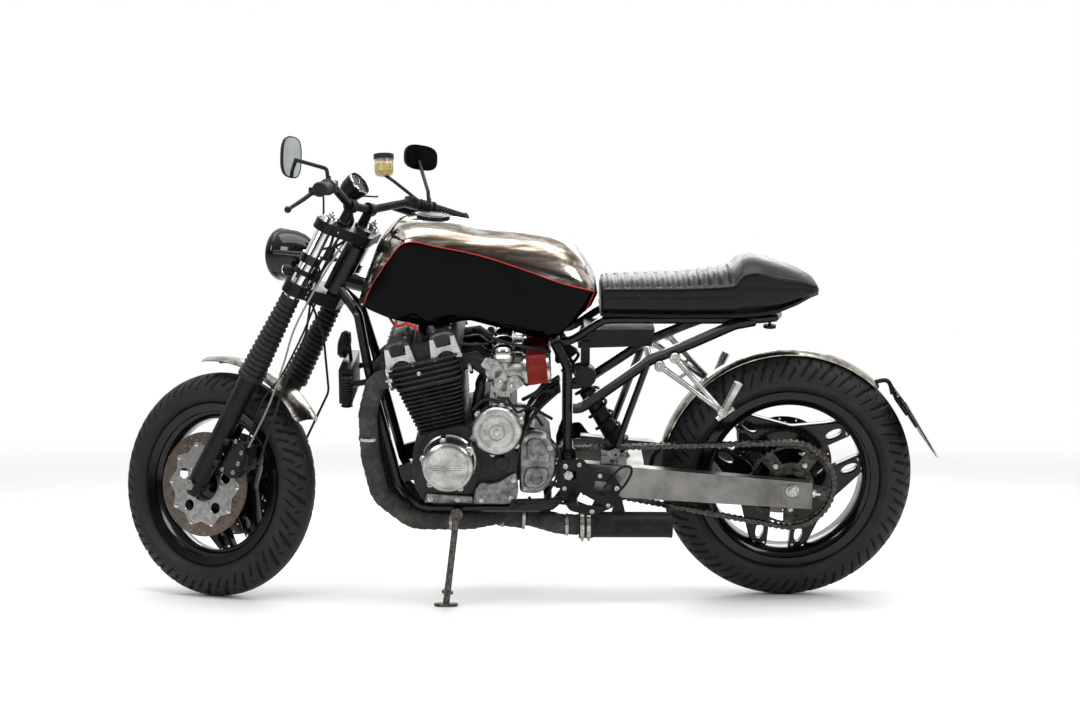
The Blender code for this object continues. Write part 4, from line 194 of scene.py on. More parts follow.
fade_seen = add_node(
    tree, "Math", {"operation": "MULTIPLY"},
    {0: fade.outputs["Result"], 1: floor_rays.outputs["Is Camera Ray"]}
)
blended = add_node(
    tree, "MixShader", inputs={0: fade_seen.outputs[0], 1: matt.outputs[0], 2: far_white.outputs[0]}
)
add_node(tree, "OutputMaterial", inputs={"Surface": blended.outputs[0]})
floor_mesh.materials.append(floor_paint)

SOFT_BOXES = (
    # place, what it points at, width, depth, watts
    ((0.0, -0.4, 3.6), (0.0, 0.1, 0.5), 4.2, 2.6, 130.0),
    ((-2.6, -3.4, 2.6), (-0.2, 0.1, 0.5), 1.4, 1.4, 66.0),
    ((2.9, -2.9, 2.2), (0.3, 0.1, 0.5), 1.2, 1.4, 46.0),
    ((0.4, 3.6, 2.6), (0.0, 0.1, 0.6), 3.0, 1.6, 60.0),
)
for number, (spot, target, width, depth, watts) in enumerate(SOFT_BOXES):
    lamp_data = bpy.data.lights.new(f"soft_box_{number}", "AREA")
    lamp_data.shape = "RECTANGLE"
    lamp_data.size = width
    lamp_data.size_y = depth
    lamp_data.energy = watts
    lamp = bpy.data.objects.new(f"soft_box_{number}", lamp_data)
    lamp.location = spot
    lamp.rotation_euler = (Vector(target) - Vector(spot)).to_track_quat("-Z", "Y").to_euler()
    bpy.context.scene.collection.objects.link(lamp)


# The motorcycle's own axes
# It leans on its stand and its fork is turned, so each piece is drawn upright and straight ahead,
# in metres from the front axle's foot, and then laid over with the body that carries it.
MM = 0.001
RAKE_angle = radians(27.5)
WHEELBASE = 1.5353
FRONT_RADIUS = 0.302
REAR_RADIUS = 0.336
FORK_SPREAD = 0.100
joints = {joint["name"]: joint for joint in frame["joints"]}
across = Vector(joints["rear_wheel_spin"]["axis"])
along = Vector((0, 1, 0)).cross(across).normalized()
upward = along.cross(across)
REAR_AXLE = Vector((WHEELBASE, 0, REAR_RADIUS))
FRONT_AXLE = Vector((0, 0, FRONT_RADIUS))
leaning = Matrix((along, across, upward)).transposed()
foot = Vector(joints["rear_wheel_spin"]["pos_m"]) - leaning @ REAR_AXLE
LEANING = Matrix.Translation(foot) @ leaning.to_4x4()
FORK_LINE = Vector((sin(RAKE_angle), 0, cos(RAKE_angle)))
FORK_BACK = Vector((cos(RAKE_angle), 0, -sin(RAKE_angle)))
straight = Matrix((FORK_BACK, Vector((0, 1, 0)), FORK_LINE))
wheel_line = Vector(joints["front_wheel_spin"]["axis"])
head_line = Vector(joints["steering_turn"]["axis"])
turned_axes = Matrix((wheel_line.cross(head_line), wheel_line, head_line)).transposed()
turned = turned_axes @ straight
hub = Vector(joints["front_wheel_spin"]["pos_m"]) - turned @ FRONT_AXLE
STEERED = Matrix.Translation(hub) @ turned.to_4x4()
PLACES = {
    "frame": LEANING, "rear_wheel": LEANING, "side_stand": LEANING, "steering": STEERED,
    "front_wheel": STEERED
}


# The tyres
# Black rubber moulded on a textile casing: a smooth side with raised rings, and a round tread
# with slanting grooves cut from the shoulders toward the middle. The faces down in the grooves
# get a darker rubber, as painted shade.
def piece(name, shape, material, body, stands_for=(), crease=32):
    """A mesh drawn upright, laid over with its body, finished and hung on it."""
    points, faces = shape
    mesh = bpy.data.meshes.new(name)
    mesh.from_pydata([PLACES[body] @ Vector(point) for point in points], [], faces)
    mesh.validate()
    mesh.shade_smooth()
    mesh.set_sharp_from_angle(angle=radians(crease))
    mesh.materials.append(material)
    made = bpy.data.objects.new(name, mesh)
    bpy.context.scene.collection.objects.link(made)
    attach(made, body)
    if stands_for:
        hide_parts(*stands_for)
    return made


def joined(*shapes):
    points, faces = [], []
    for some_points, some_faces in shapes:
        start = len(points)
        points += list(some_points)
        faces += [tuple(index + start for index in face) for face in some_faces]
    return points, faces


def shell(rings, around=False):
    """Faces between rings of points. Around closes the last ring on the first, else both ends are capped."""
    count = len(rings[0])
    points = [tuple(point) for ring in rings for point in ring]
    faces = []
    for number in range(len(rings) if around else len(rings) - 1):
        here, there = number * count, (number + 1) % len(rings) * count
        for step in range(count):
            after = (step + 1) % count
            faces.append((here + step, here + after, there + after, there + step))
    if not around:
        faces.append(tuple(reversed(range(count))))
        faces.append(tuple(range(len(points) - count, len(points))))
    return points, faces


def axes_about(axis):
    """Two directions square to an axis, so that the three are right-handed."""
    axis = Vector(axis).normalized()
    first = axis.orthogonal().normalized()
    return axis, first, axis.cross(first)


def lathe(profile, origin, axis, sides, ring=False):
    """A turned shape. The profile's rows are radius and distance along the axis."""
    axis, first, second = axes_about(axis)
    origin = Vector(origin)
    rings = []
    for radius, reach in profile:
        middle = origin + axis * reach
        ring_points = []
        for step in range(sides):
            angle = 2 * pi * step / sides
            ring_points.append(middle + radius * (cos(angle) * first + sin(angle) * second))
        rings.append(ring_points)
    return shell(rings, around=ring)


def new_surface(name):
    """A new material, its tree, its shader and its place on the object."""
    made = bpy.data.materials.new(name)
    made.use_nodes = True
    tree = made.node_tree
    return made, tree, tree.nodes["Principled BSDF"], add_node(tree, "TexCoord").outputs["Object"]


def rubber(name, dark, pale, grain_mm, roughness):
    """Black rubber: soft sheen, a fine moulded grain and a bloom of dust."""
    made, tree, shader, place = new_surface(name)
    dust = add_node(
        tree, "TexNoise", inputs={"Vector": place, "Scale": 1 / (60 * MM), "Detail": 8.0, "Roughness": 0.7}
    )
    tone = add_node(
        tree, "ValToRGB", inputs={"Fac": dust.outputs["Fac"]}, stops=((0.35, dark), (0.75, pale))
    )
    grain = add_node(
        tree, "TexNoise", inputs={"Vector": place, "Scale": 1 / (grain_mm * MM), "Detail": 3.0}
    )
    bump = add_node(
        tree, "Bump", inputs={"Height": grain.outputs["Fac"], "Strength": 0.25, "Distance": 0.4 * MM}
    )
    rough = add_node(
        tree, "MapRange",
        inputs={"Value": dust.outputs["Fac"], "To Min": roughness - 0.12, "To Max": roughness + 0.12}
    )
    feed(
        tree, shader,
        {
            "Specular IOR Level": 0.25, "Base Color": tone.outputs["Color"],
            "Roughness": rough.outputs["Result"], "Normal": bump.outputs["Normal"]
        }
    )
    return made


tyre_rubber = rubber("vulcanised_tyre_rubber", "121213", "262524", 1.6, 0.58)
# The grooves' rubber is darker than the tyre's: painted shade in the cuts of the tread.
painted_shade_groove_rubber = rubber("groove_painted_shade_rubber", "050505", "0B0B0B", 1.6, 0.80)
TREAD_STEPS = 720
TREAD_ROWS = 44
TREAD_DEPTH = 3.6 * MM
TYRES = (
    # name, body, radius, width, bead radius, rim width, repeats of the tread
    ("front_tyre", "front_wheel", FRONT_RADIUS, 0.112, 0.2032, 0.064, 30),
    ("rear_tyre", "rear_wheel", REAR_RADIUS, 0.142, 0.2286, 0.100, 34),
)


def tread_cut(turn, side, repeats):
    """How deep the tread is cut, from 0 to 1, at a share of the turn and across from -1 to 1."""
    reach = abs(side)
    shift = 0.5 if side > 0 else 0.0
    slash = (turn * repeats - 0.85 * reach ** 1.5 + shift) % 1.0
    long_cut = abs(slash - 0.5) < 0.075 and 0.14 < reach < 0.80
    short_cut = (abs(slash - 0.98) < 0.055 or abs(slash + 0.02) < 0.055) and 0.50 < reach < 0.90
    fine_cut = abs((turn * repeats * 2 + 0.5 * reach) % 1.0 - 0.5) < 0.09 and 0.30 < reach < 0.46
    return 1.0 if long_cut or short_cut or fine_cut else 0.0


for name, body, radius, width, bead, rim_width, repeats in TYRES:
    crown = width / 2
    flange = bead + 14.5 * MM
    sunk = []
    for reach, half in (
        (bead + 1.0 * MM, rim_width / 2 - 0.4 * MM), (flange + 1.5 * MM, rim_width / 2 - 0.4 * MM),
        (flange + 5 * MM, rim_width / 2 + (crown - rim_width / 2) * 0.35),
        (flange + 6 * MM, rim_width / 2 + (crown - rim_width / 2) * 0.42),
        (flange + 9 * MM, rim_width / 2 + (crown - rim_width / 2) * 0.55),
        (flange + 16 * MM, rim_width / 2 + (crown - rim_width / 2) * 0.78),
        (flange + 18 * MM, rim_width / 2 + (crown - rim_width / 2) * 0.86),
        (flange + 22 * MM, rim_width / 2 + (crown - rim_width / 2) * 0.91)
    ):
        if reach < radius - crown + 2 * MM:
            sunk.append((reach, half))
    rings = []
    for step in range(TREAD_STEPS):
        angle = 2 * pi * step / TREAD_STEPS
        outward = Vector((cos(angle), 0, sin(angle)))
        centre = Vector((0, 0, radius)) if body == "front_wheel" else REAR_AXLE
        ring = [centre + outward * reach + Vector((0, -half, 0)) for reach, half in sunk]
        for row in range(TREAD_ROWS + 1):
            side = -1 + 2 * row / TREAD_ROWS
            tilt = side * radians(92)
            cut = tread_cut(step / TREAD_STEPS, side, repeats) * TREAD_DEPTH
            reach = radius - crown + (crown - cut) * cos(tilt)
            ring.append(centre + outward * reach + Vector((0, (crown - cut * 0.8) * sin(tilt), 0)))
        ring += [centre + outward * reach + Vector((0, half, 0)) for reach, half in reversed(sunk)]
        rings.append(ring)
    # The ring of points runs from the left bead over the tread to the right one.
    tyre = piece(
        name + "_moulded", shell(rings, around=True), tyre_rubber, body, (name,), crease=28
    )
    # Faces that lie in a groove take the darker rubber, as painted shade.
    tyre.data.materials.append(painted_shade_groove_rubber)
    count = len(rings[0])
    for polygon in tyre.data.polygons:
        in_groove = 0
        for index in polygon.vertices:
            row = index % count - len(sunk)
            if 0 <= row <= TREAD_ROWS:
                in_groove += tread_cut(index // count / TREAD_STEPS, -1 + 2 * row / TREAD_ROWS, repeats)
        if in_groove >= 3:
            polygon.material_index = 1


# The wheels
# Cast aluminium under gloss black enamel. Three bent spokes run from rim to rim past the hub,
# in pairs, with an oval hole near each end and bright rivets where they meet the rim.
def in_mm(*rows):
    """Rows of sizes given in millimetres, in metres."""
    return [tuple(size * MM for size in row) for row in rows]


def plate(outline, holes, low, high, edge, placing):
    """A flat shape with holes, cut from sheet or cast, with rounded edges. It is drawn in x and y."""
    flat = bpy.data.curves.new("cut_plate", "CURVE")
    flat.dimensions = "2D"
    flat.fill_mode = "BOTH"
    flat.extrude = max((high - low) / 2 - edge, 0)
    flat.bevel_depth = edge
    flat.bevel_resolution = 1
    flat.offset = -edge
    for loop in (outline, *holes):
        spline = flat.splines.new("POLY")
        spline.points.add(len(loop) - 1)
        for point, (x, y) in zip(spline.points, loop):
            point.co = (x, y, 0, 1)
        spline.use_cyclic_u = True
    holder = bpy.data.objects.new("cut_plate", flat)
    mesh = holder.to_mesh()
    middle = Vector((0, 0, (low + high) / 2))
    points = [placing @ (vertex.co + middle) for vertex in mesh.vertices]
    faces = [tuple(polygon.vertices) for polygon in mesh.polygons]
    holder.to_mesh_clear()
    bpy.data.objects.remove(holder)
    bpy.data.curves.remove(flat)
    return points, faces


def upright(x, z, y=0.0):
    """A plate's x and y become the motorcycle's x and z, and its thickness runs to the left."""
    return Matrix.Translation((x, y, z)) @ Matrix.Rotation(pi / 2, 4, "X")


def ring_of(count, radius, size, start, steps):
    """Round holes in a circle."""
    loops = []
    for number in range(count):
        turn = start + 2 * pi * number / count
        middle = (radius * cos(turn), radius * sin(turn))
        loops.append(disc(size, steps, *middle))
    return loops


def disc(radius, steps, x=0.0, y=0.0):
    return [
        (x + radius * cos(2 * pi * s / steps), y + radius * sin(2 * pi * s / steps))
        for s in range(steps)
    ]


def rounded(corners, radius, steps=5):
    """An outline with its corners rounded off."""
    smooth = []
    for number, corner in enumerate(corners):
        corner = Vector(corner).to_2d()
        before = Vector(corners[number - 1]).to_2d() - corner
        after = Vector(corners[(number + 1) % len(corners)]).to_2d() - corner
        cut = min(radius, before.length * 0.48, after.length * 0.48)
        start, end = corner + before.normalized() * cut, corner + after.normalized() * cut
        for step in range(steps + 1):
            t = step / steps
            smooth.append(tuple((1 - t) ** 2 * start + 2 * t * (1 - t) * corner + t * t * end))
    return smooth


def enamel(name, colour, fleck, roughness, coat):
    """Stoved enamel: a hard even black with a faint ripple and a little dust."""
    made, tree, shader, place = new_surface(name)
    cloud = add_node(
        tree, "TexNoise", inputs={"Vector": place, "Scale": 1 / (40 * MM), "Detail": 7.0, "Roughness": 0.65}
    )
    tone = add_node(
        tree, "ValToRGB", inputs={"Fac": cloud.outputs["Fac"]}, stops=((0.40, colour), (0.80, fleck))
    )
    rough = add_node(
        tree, "MapRange",
        inputs={"Value": cloud.outputs["Fac"], "To Min": roughness * 0.6, "To Max": roughness * 1.5}
    )
    ripple = add_node(tree, "TexNoise", inputs={"Vector": place, "Scale": 1 / (5 * MM), "Detail": 2.0})
    bump = add_node(
        tree, "Bump", inputs={"Height": ripple.outputs["Fac"], "Strength": 0.06, "Distance": 0.3 * MM}
    )
    feed(
        tree, shader,
        {
            "Coat Weight": coat, "Coat Roughness": 0.06, "Coat IOR": 1.3, "Specular IOR Level": 0.18,
            "Base Color": tone.outputs["Color"], "Roughness": rough.outputs["Result"],
            "Normal": bump.outputs["Normal"]
        }
    )
    return made


def metal(name, dark, pale, patch_mm, roughness, bump_strength=0.1, grain_mm=0.8):
    """Bare metal: patches of tarnish over a fine grain."""
    made, tree, shader, place = new_surface(name)
    cloud = add_node(
        tree, "TexNoise",
        inputs={"Vector": place, "Scale": 1 / (patch_mm * MM), "Detail": 8.0, "Roughness": 0.65}
    )
    tone = add_node(
        tree, "ValToRGB", inputs={"Fac": cloud.outputs["Fac"]}, stops=((0.32, dark), (0.62, pale))
    )
    rough = add_node(
        tree, "MapRange",
        inputs={"Value": cloud.outputs["Fac"], "To Min": roughness * 1.5, "To Max": roughness * 0.6}
    )
    grain = add_node(
        tree, "TexNoise", inputs={"Vector": place, "Scale": 1 / (grain_mm * MM), "Detail": 2.0}
    )
    bump = add_node(
        tree, "Bump",
        inputs={"Height": grain.outputs["Fac"], "Strength": bump_strength, "Distance": 0.2 * MM}
    )
    feed(
        tree, shader,
        {
            "Metallic": 1.0, "Base Color": tone.outputs["Color"], "Roughness": rough.outputs["Result"],
            "Normal": bump.outputs["Normal"]
        }
    )
    return made


wheel_enamel = enamel("gloss_black_wheel_enamel", "050506", "0C0C0E", 0.16, 0.6)
rivet_steel = metal("bright_rivet_steel", "9A9A98", "D8D8D6", 6, 0.25)
SPOKES = 3
SPOKE_HALF = 15 * MM
WHEELS = (
    # name, body, bead radius, rim width, hub half width, first pair of spokes
    ("front_wheel", "front_wheel", 0.2032, 0.064, 0.052, radians(60)),
    ("rear_wheel", "rear_wheel", 0.2286, 0.100, 0.068, radians(25)),
)
for name, body, bead, rim_width, hub_half, first in WHEELS:
    centre = FRONT_AXLE if body == "front_wheel" else REAR_AXLE
    half = rim_width / 2
    well = bead - 18 * MM
    inside = well - 8 * MM
    flange = bead + 14.2 * MM
    rim = [
        (inside, 0.0), (inside, half - 14 * MM), (inside + 3 * MM, half - 9 * MM),
        (bead - 9 * MM, half - 3 * MM), (bead - 7 * MM, half + 1 * MM), (flange - 3 * MM, half + 5.6 * MM),
        (flange - 0.6 * MM, half + 6.4 * MM), (flange, half + 5 * MM), (flange, half + 1 * MM),
        (bead + 0.4 * MM, half), (well, half - 19 * MM)
    ]
    rim_shape = lathe(rim + [(r, -h) for r, h in reversed(rim[1:])], centre, (0, 1, 0), 128, ring=True)
    arms = []
    pair_turn = 2 * pi / SPOKES
    for number in range(SPOKES):
        turn = first + pair_turn * (number + 0.5)
        along_arm = Vector((cos(pair_turn / 2), sin(pair_turn / 2)))
        across_arm = Vector((sin(pair_turn / 2), -cos(pair_turn / 2)))
        outer, gap, reach = 0.375 * inside, 0.145 * inside, inside + 3 * MM
        half_arm = [
            Vector((0.68 * inside, 0)),
            sqrt(reach * reach - outer * outer) * along_arm + outer * across_arm,
            sqrt(reach * reach - gap * gap) * along_arm + gap * across_arm,
            0.47 * inside * along_arm + gap * across_arm
        ]
        outline = half_arm + [Vector((0.30 * inside, 0))] + [
            Vector((p.x, -p.y))
            for p in reversed(half_arm[1:])
        ]
        spin = Matrix.Rotation(turn, 2)
        outline = rounded([tuple(spin @ point) for point in outline], 12 * MM)
        holes = []
        rivets = []
        for end in (-1, 1):
            pair = turn + end * pair_turn / 2
            offset = -end * (outer + gap) / 2
            way, square = Vector((cos(pair), sin(pair))), Vector((-sin(pair), cos(pair)))
            middle = way * 0.80 * inside + square * offset
            hole = []
            for step in range(24):
                angle = 2 * pi * step / 24
                hole.append(tuple(
                    middle + way * 0.115 * inside * cos(angle) + square * 0.052 * inside * sin(angle)
                ))
            holes.append(hole)
            for share in (-0.30, 0.30):
                spot = way * 0.955 * inside + square * (offset + share * (outer - gap))
                rivets.append(spot)
        arms.append(plate(outline, holes, -SPOKE_HALF, SPOKE_HALF, 3 * MM, upright(centre.x, centre.z)))
        rivet_shapes = []
        for spot in rivets:
            for side in (-1, 1):
                head = centre + Vector((spot.x, side * (SPOKE_HALF - 0.4 * MM), spot.y))
                dome = in_mm((4.6, 0), (4.4, 1.2), (2.6, 2.6), (0.3, 3.0))
                rivet_shapes.append(lathe(dome, head, (0, side, 0), 12))
        piece(f"{name}_rivets_{number}", joined(*rivet_shapes), rivet_steel, body)
    barrel = []
    for share, reach in (
        (0.42, hub_half), (0.55, hub_half - 2 * MM), (0.60, hub_half - 12 * MM), (0.95, 22 * MM),
        (1.0, 18 * MM)
    ):
        barrel.append((0.070 * share, reach))
    hub_shape = lathe([(r, -h) for r, h in barrel] + list(reversed(barrel)), centre, (0, 1, 0), 48)
    piece(
        name + "_casting", joined(rim_shape, hub_shape, *arms), wheel_enamel, body, (name,),
        crease=38
    )


# The brakes
# Steel discs ground to a brown-grey ring, riveted to scalloped bright carriers, and cast calipers
# under dark grey enamel, bolted together on lugs behind the fork.
def brushed_ring(name, dark, pale, roughness):
    """Turned or ground steel: fine concentric lines that catch the light, darker where it runs hot."""
    made = metal(name, dark, pale, 26, roughness, 0.12, 0.5)
    made.node_tree.nodes["Principled BSDF"].inputs["Anisotropic"].default_value = 0.4
    return made


disc_steel = brushed_ring("ground_disc_steel", "5C524A", "857A70", 0.30)
carrier_alloy = metal("bright_disc_carrier", "8E8E8C", "CFCFCC", 14, 0.24)
caliper_paint = enamel("caliper_grey_enamel", "17181A", "2B2C2E", 0.42, 0.0)
bolt_steel = metal("zinc_plated_bolts", "6E6D6A", "C4C3BE", 5, 0.30)
DISCS = (
    # name, body, centre, radius, inner radius, where across, side it shows
    ("front_disc_left", "front_wheel", FRONT_AXLE, 0.140, 0.104, -0.066, -1),
    ("front_disc_right", "front_wheel", FRONT_AXLE, 0.140, 0.104, 0.066, 1),
    ("rear_disc", "rear_wheel", REAR_AXLE, 0.138, 0.104, 0.090, 1),
)
for name, body, centre, radius, inner, y, side in DISCS:
    half = 2.4 * MM
    band_holes = []
    for row, share in enumerate((0.22, 0.50, 0.78)):
        band_holes += ring_of(18, inner + share * (radius - inner), 2.2 * MM, row * 0.12, 10)
    facing = upright(centre.x, centre.z, y)
    band = plate(disc(radius, 96), [disc(inner, 72), *band_holes], -half, half, 0.5 * MM, facing)
    piece(name + "_band", band, disc_steel, body, (name,))
    scallops = []
    for step in range(120):
        turn = 2 * pi * step / 120
        scallops.append((0.107 + 0.006 * cos(10 * turn), turn))
    outline = [(reach * cos(turn), reach * sin(turn)) for reach, turn in scallops]
    windows = ring_of(5, 0.074, 15 * MM, 0.3, 24)
    spider = plate(
        outline, [disc(0.046, 36), *windows], -1.6 * MM, 1.6 * MM, 0.6 * MM,
        upright(centre.x, centre.z, y + side * 1.2 * MM)
    )
    bosses = []
    for number in range(10):
        turn = 2 * pi * number / 10
        at = centre + Vector((0.110 * cos(turn), y + side * 2.0 * MM, 0.110 * sin(turn)))
        bosses.append(lathe(in_mm((6.5, 0), (6.5, 1.4), (3.4, 2.4), (0.4, 2.4)), at, (0, side, 0), 16))
    for number in range(5):
        turn = 2 * pi * number / 5
        at = centre + Vector((0.055 * cos(turn), y + side * 2.0 * MM, 0.055 * sin(turn)))
        bosses.append(lathe(in_mm((6.0, 0), (6.0, 3.2), (5.2, 4.0), (0.4, 4.0)), at, (0, side, 0), 6))
    piece(name + "_carrier", joined(spider, *bosses), carrier_alloy, body)


def on_leg(reach, side=0.0):
    return FRONT_AXLE + reach * FORK_LINE + Vector((0, side * FORK_SPREAD, 0))


def on_fork(reach, back, y):
    """A point in the fork's own plane: along the leg, behind it and across."""
    return FRONT_AXLE + reach * FORK_LINE + back * FORK_BACK + Vector((0, y, 0))


def fork_plane(reach, back, y):
    """A plate lies in the fork's side view: its x runs back from the leg and its y up the leg."""
    turn = Matrix((FORK_BACK, FORK_LINE, Vector((0, -1, 0)))).transposed().to_4x4()
    return Matrix.Translation(on_fork(reach, back, y)) @ turn


SIDES = ((-1, "left"), (1, "right"))
CALIPER_UP = 0.118
for side, word in SIDES:
    disc_y = side * 0.066
    outer_half = [
        (-0.026, -0.046), (0.020, -0.050), (0.030, -0.020), (0.027, 0.024), (0.010, 0.052), (-0.022, 0.046)
    ]
    far = plate(
        rounded(outer_half, 9 * MM), [], -11 * MM, 11 * MM, 3 * MM,
        fork_plane(CALIPER_UP, 0.065, disc_y - side * 15 * MM)
    )
    near = plate(
        rounded(outer_half, 9 * MM), [], -13 * MM, 13 * MM, 4 * MM,
        fork_plane(CALIPER_UP, 0.065, disc_y + side * 18 * MM)
    )
    bridge = plate(
        rounded(
            [
                (0.032, -0.014), (0.041, -0.004), (0.032, 0.026), (0.004, 0.042), (-0.010, 0.032),
                (0.014, 0.002)
            ],
            3 * MM
        ),
        [], -20 * MM, 20 * MM, 2 * MM, fork_plane(CALIPER_UP, 0.066, disc_y)
    )
    pots = []
    for up in (-0.022, 0.022):
        start = on_fork(CALIPER_UP + up, 0.063, disc_y + side * 29 * MM)
        pots.append(lathe(
            in_mm((16, 0), (16, 3), (13, 5), (11, 5), (10, 3.4), (0.5, 3.4)), start, (0, side, 0), 28
        ))
    piece(
        "caliper_" + word, joined(far, near, bridge, *pots), caliper_paint, "steering",
        ("front_caliper_" + word,)
    )
    bolts = []
    for up, back in ((0.046, 0.048), (-0.040, 0.050), (0.0, 0.086), (0.030, 0.080), (-0.028, 0.084)):
        start = on_fork(CALIPER_UP + up, back, disc_y + side * 30.5 * MM)
        bolts.append(lathe(
            in_mm((6, 0), (6, 4), (5, 5), (3, 5), (3, 2), (0.4, 2)), start, (0, side, 0), 18
        ))
    piece("caliper_bolts_" + word, joined(*bolts), bolt_steel, "steering")


# The fork
# Ground steel tubes under hard chrome slide in black enamelled aluminium legs. Ribbed rubber
# gaiters clip over them, and two cast clamps with steel pinch bolts hold them to the frame's head.
satin_black = enamel("satin_black_enamel", "0A0A0B", "1A1A1A", 0.36, 0.0)
hard_chrome = metal("hard_chrome_plate", "A8A9AC", "E6E7E9", 70, 0.07, 0.02, 1.2)
gaiter_rubber = rubber("gaiter_rubber", "0E0E0F", "232221", 2.0, 0.50)
SLIDER_RADIUS = 26.5 * MM
GAITER_PLEATS = 15
for side, word in SIDES:
    base = on_leg(0, side)
    tube_rows = [
        (19.5 * MM, 0.3303), (19.5 * MM, 0.809), (18 * MM, 0.8115), (12 * MM, 0.812), (0.4 * MM, 0.812)
    ]
    piece(
        "stanchion_" + word, lathe(tube_rows, base, FORK_LINE, 64), hard_chrome, "steering",
        ("fork_tube_" + word,)
    )
    rows = [
        (20.2 * MM, 0.3305), (34.5 * MM, 0.3305), (35.0 * MM, 0.334), (35.0 * MM, 0.342), (31.5 * MM, 0.345)
    ]
    low, high = 0.347, 0.566
    for pleat in range(GAITER_PLEATS):
        share = pleat / (GAITER_PLEATS - 1)
        outside = (34.6 - 8.0 * share) * MM
        step = (high - low) / GAITER_PLEATS
        at = low + pleat * step
        for part, dip in ((0.0, 4.6), (0.18, 2.2), (0.36, 0.3), (0.5, 0.0), (0.64, 0.3), (0.82, 2.2)):
            rows.append((outside - dip * MM, at + part * step))
    rows += [
        (24.5 * MM, high + 1 * MM), (25.3 * MM, high + 2 * MM), (25.3 * MM, 0.5768), (20.0 * MM, 0.5768)
    ]
    piece(
        "gaiter_" + word, lathe(rows, base, FORK_LINE, 56, ring=True), gaiter_rubber, "steering",
        ("fork_gaiter_" + word,)
    )
    slider_rows = [
        (0.5 * MM, -0.030), (15 * MM, -0.030), (16.5 * MM, -0.028), (22 * MM, -0.016), (24 * MM, 0.0),
        (26 * MM, 0.028), (SLIDER_RADIUS, 0.040), (25.4 * MM, 0.090), (25.4 * MM, 0.300),
        (SLIDER_RADIUS, 0.306), (SLIDER_RADIUS, 0.3296), (20 * MM, 0.3300), (0.5 * MM, 0.3300)
    ]
    parts = [lathe(slider_rows, base, FORK_LINE, 56)]
    for reach in (0.085, 0.150):
        start = on_leg(reach, side)
        parts.append(lathe(in_mm((12.5, 0), (12.5, 34), (11, 37.6), (0.5, 37.6)), start, FORK_BACK, 24))
        web = [(-0.002, -0.010), (0.030, -0.008), (0.030, 0.008), (-0.002, 0.014)]
        parts.append(plate(
            rounded(web, 2 * MM), [], -6 * MM, 6 * MM, 1.5 * MM, fork_plane(reach, 0.0, side * FORK_SPREAD)
        ))
    pinch = lathe(in_mm((27, -5), (27, 5), (25, 7)), base, FORK_LINE, 40)
    parts.append(pinch)
    piece(
        "slider_" + word, joined(*parts), satin_black, "steering", ("fork_slider_" + word,)
    )


def dress(node, material, edge=0.5 * MM):
    """A carried-over solid keeps its shape, and gets its finish and softly rounded edges."""
    solid = frame["nodes"][node]
    for slot in solid.material_slots:
        slot.material = material
    if "custom_normal" in solid.data.attributes:
        solid.data.attributes.remove(solid.data.attributes["custom_normal"])
    solid.data.shade_smooth()
    weld = solid.modifiers.new("joined_facets", "WELD")
    weld.merge_threshold = 0.00002
    rounding = solid.modifiers.new("worn_edges", "BEVEL")
    rounding.width = edge
    rounding.segments = 2
    rounding.limit_method = "ANGLE"
    rounding.angle_limit = radians(30)
    evened = solid.modifiers.new("even_shading", "WEIGHTED_NORMAL")
    evened.keep_sharp = True


dress("fork_lower_clamp", satin_black, 1.2 * MM)
dress("fork_top_clamp", satin_black, 1.2 * MM)
clamp_trim = []
for side in (-1, 1):
    for reach in (0.585 + 0.010, 0.585 + 0.024, 0.772 + 0.014):
        start = on_fork(reach, 0.030, side * (FORK_SPREAD - 12 * MM))
        clamp_trim.append(lathe(
            in_mm((4.5, 0), (4.5, 6), (3.6, 7), (2.4, 7), (2.4, 4), (0.3, 4)), start, FORK_BACK, 16
        ))
    cap = on_leg(0.8122, side)
    clamp_trim.append(lathe(in_mm((15, 0), (15, 2), (13, 3), (0.4, 3)), cap, FORK_LINE, 32))
    clamp_trim.append(lathe(in_mm((8, 3), (8, 9), (7, 10), (0.4, 10)), cap, FORK_LINE, 6))
    clamp_trim.append(lathe(in_mm((2.5, 9), (2.5, 16), (0.3, 16)), cap, FORK_LINE, 12))
piece("clamp_bolts", joined(*clamp_trim), bolt_steel, "steering")
dress("front_axle", bolt_steel, 0.6 * MM)
dress("rear_axle", bolt_steel, 0.6 * MM)


# The headlamp
# A pressed steel bowl under gloss black enamel on two stays that clamp round the fork tubes. Its rim
# is of the same steel and holds a fluted glass over a bright reflector.
LAMP_AT = Vector((0.150, 0, 0.930))
gloss_black = enamel("gloss_black_enamel", "050506", "0D0D0E", 0.12, 0.8)
bowl_rows = in_mm(
    (69, 10), (70, 24), (69, 40), (64, 62), (54, 84), (40, 102), (26, 112), (12, 114.5), (0.5, 115)
)
lamp_parts = [lathe(in_mm((0.5, 12), (60, 12)) + bowl_rows, LAMP_AT, (1, 0, 0), 96)]


def round_bar(points, radius, sides):
    """A bar or hose of one thickness along a list of points."""
    points = [Vector(point) for point in points]
    rings = []
    side_way = None
    for number, point in enumerate(points):
        ahead, behind = points[min(number + 1, len(points) - 1)], points[max(number - 1, 0)]
        way = (ahead - behind).normalized()
        side_way = way.orthogonal() if side_way is None else side_way - side_way.dot(way) * way
        side_way.normalize()
        other = way.cross(side_way)
        size = radius[number] if isinstance(radius, (list, tuple)) else radius
        rings.append([
            point + size * (cos(a) * side_way + sin(a) * other)
            for a in (2 * pi * s / sides for s in range(sides))
        ])
    return shell(rings)


def on_curve(p, q, r, s, t):
    """What lies at the share t of the way from q to r, on a smooth curve that comes from p and goes to s."""
    bend, twist = 2 * p - 5 * q + 4 * r - s, 3 * q - p - 3 * r + s
    return 0.5 * (2 * q + (r - p) * t + bend * t * t + twist * t ** 3)


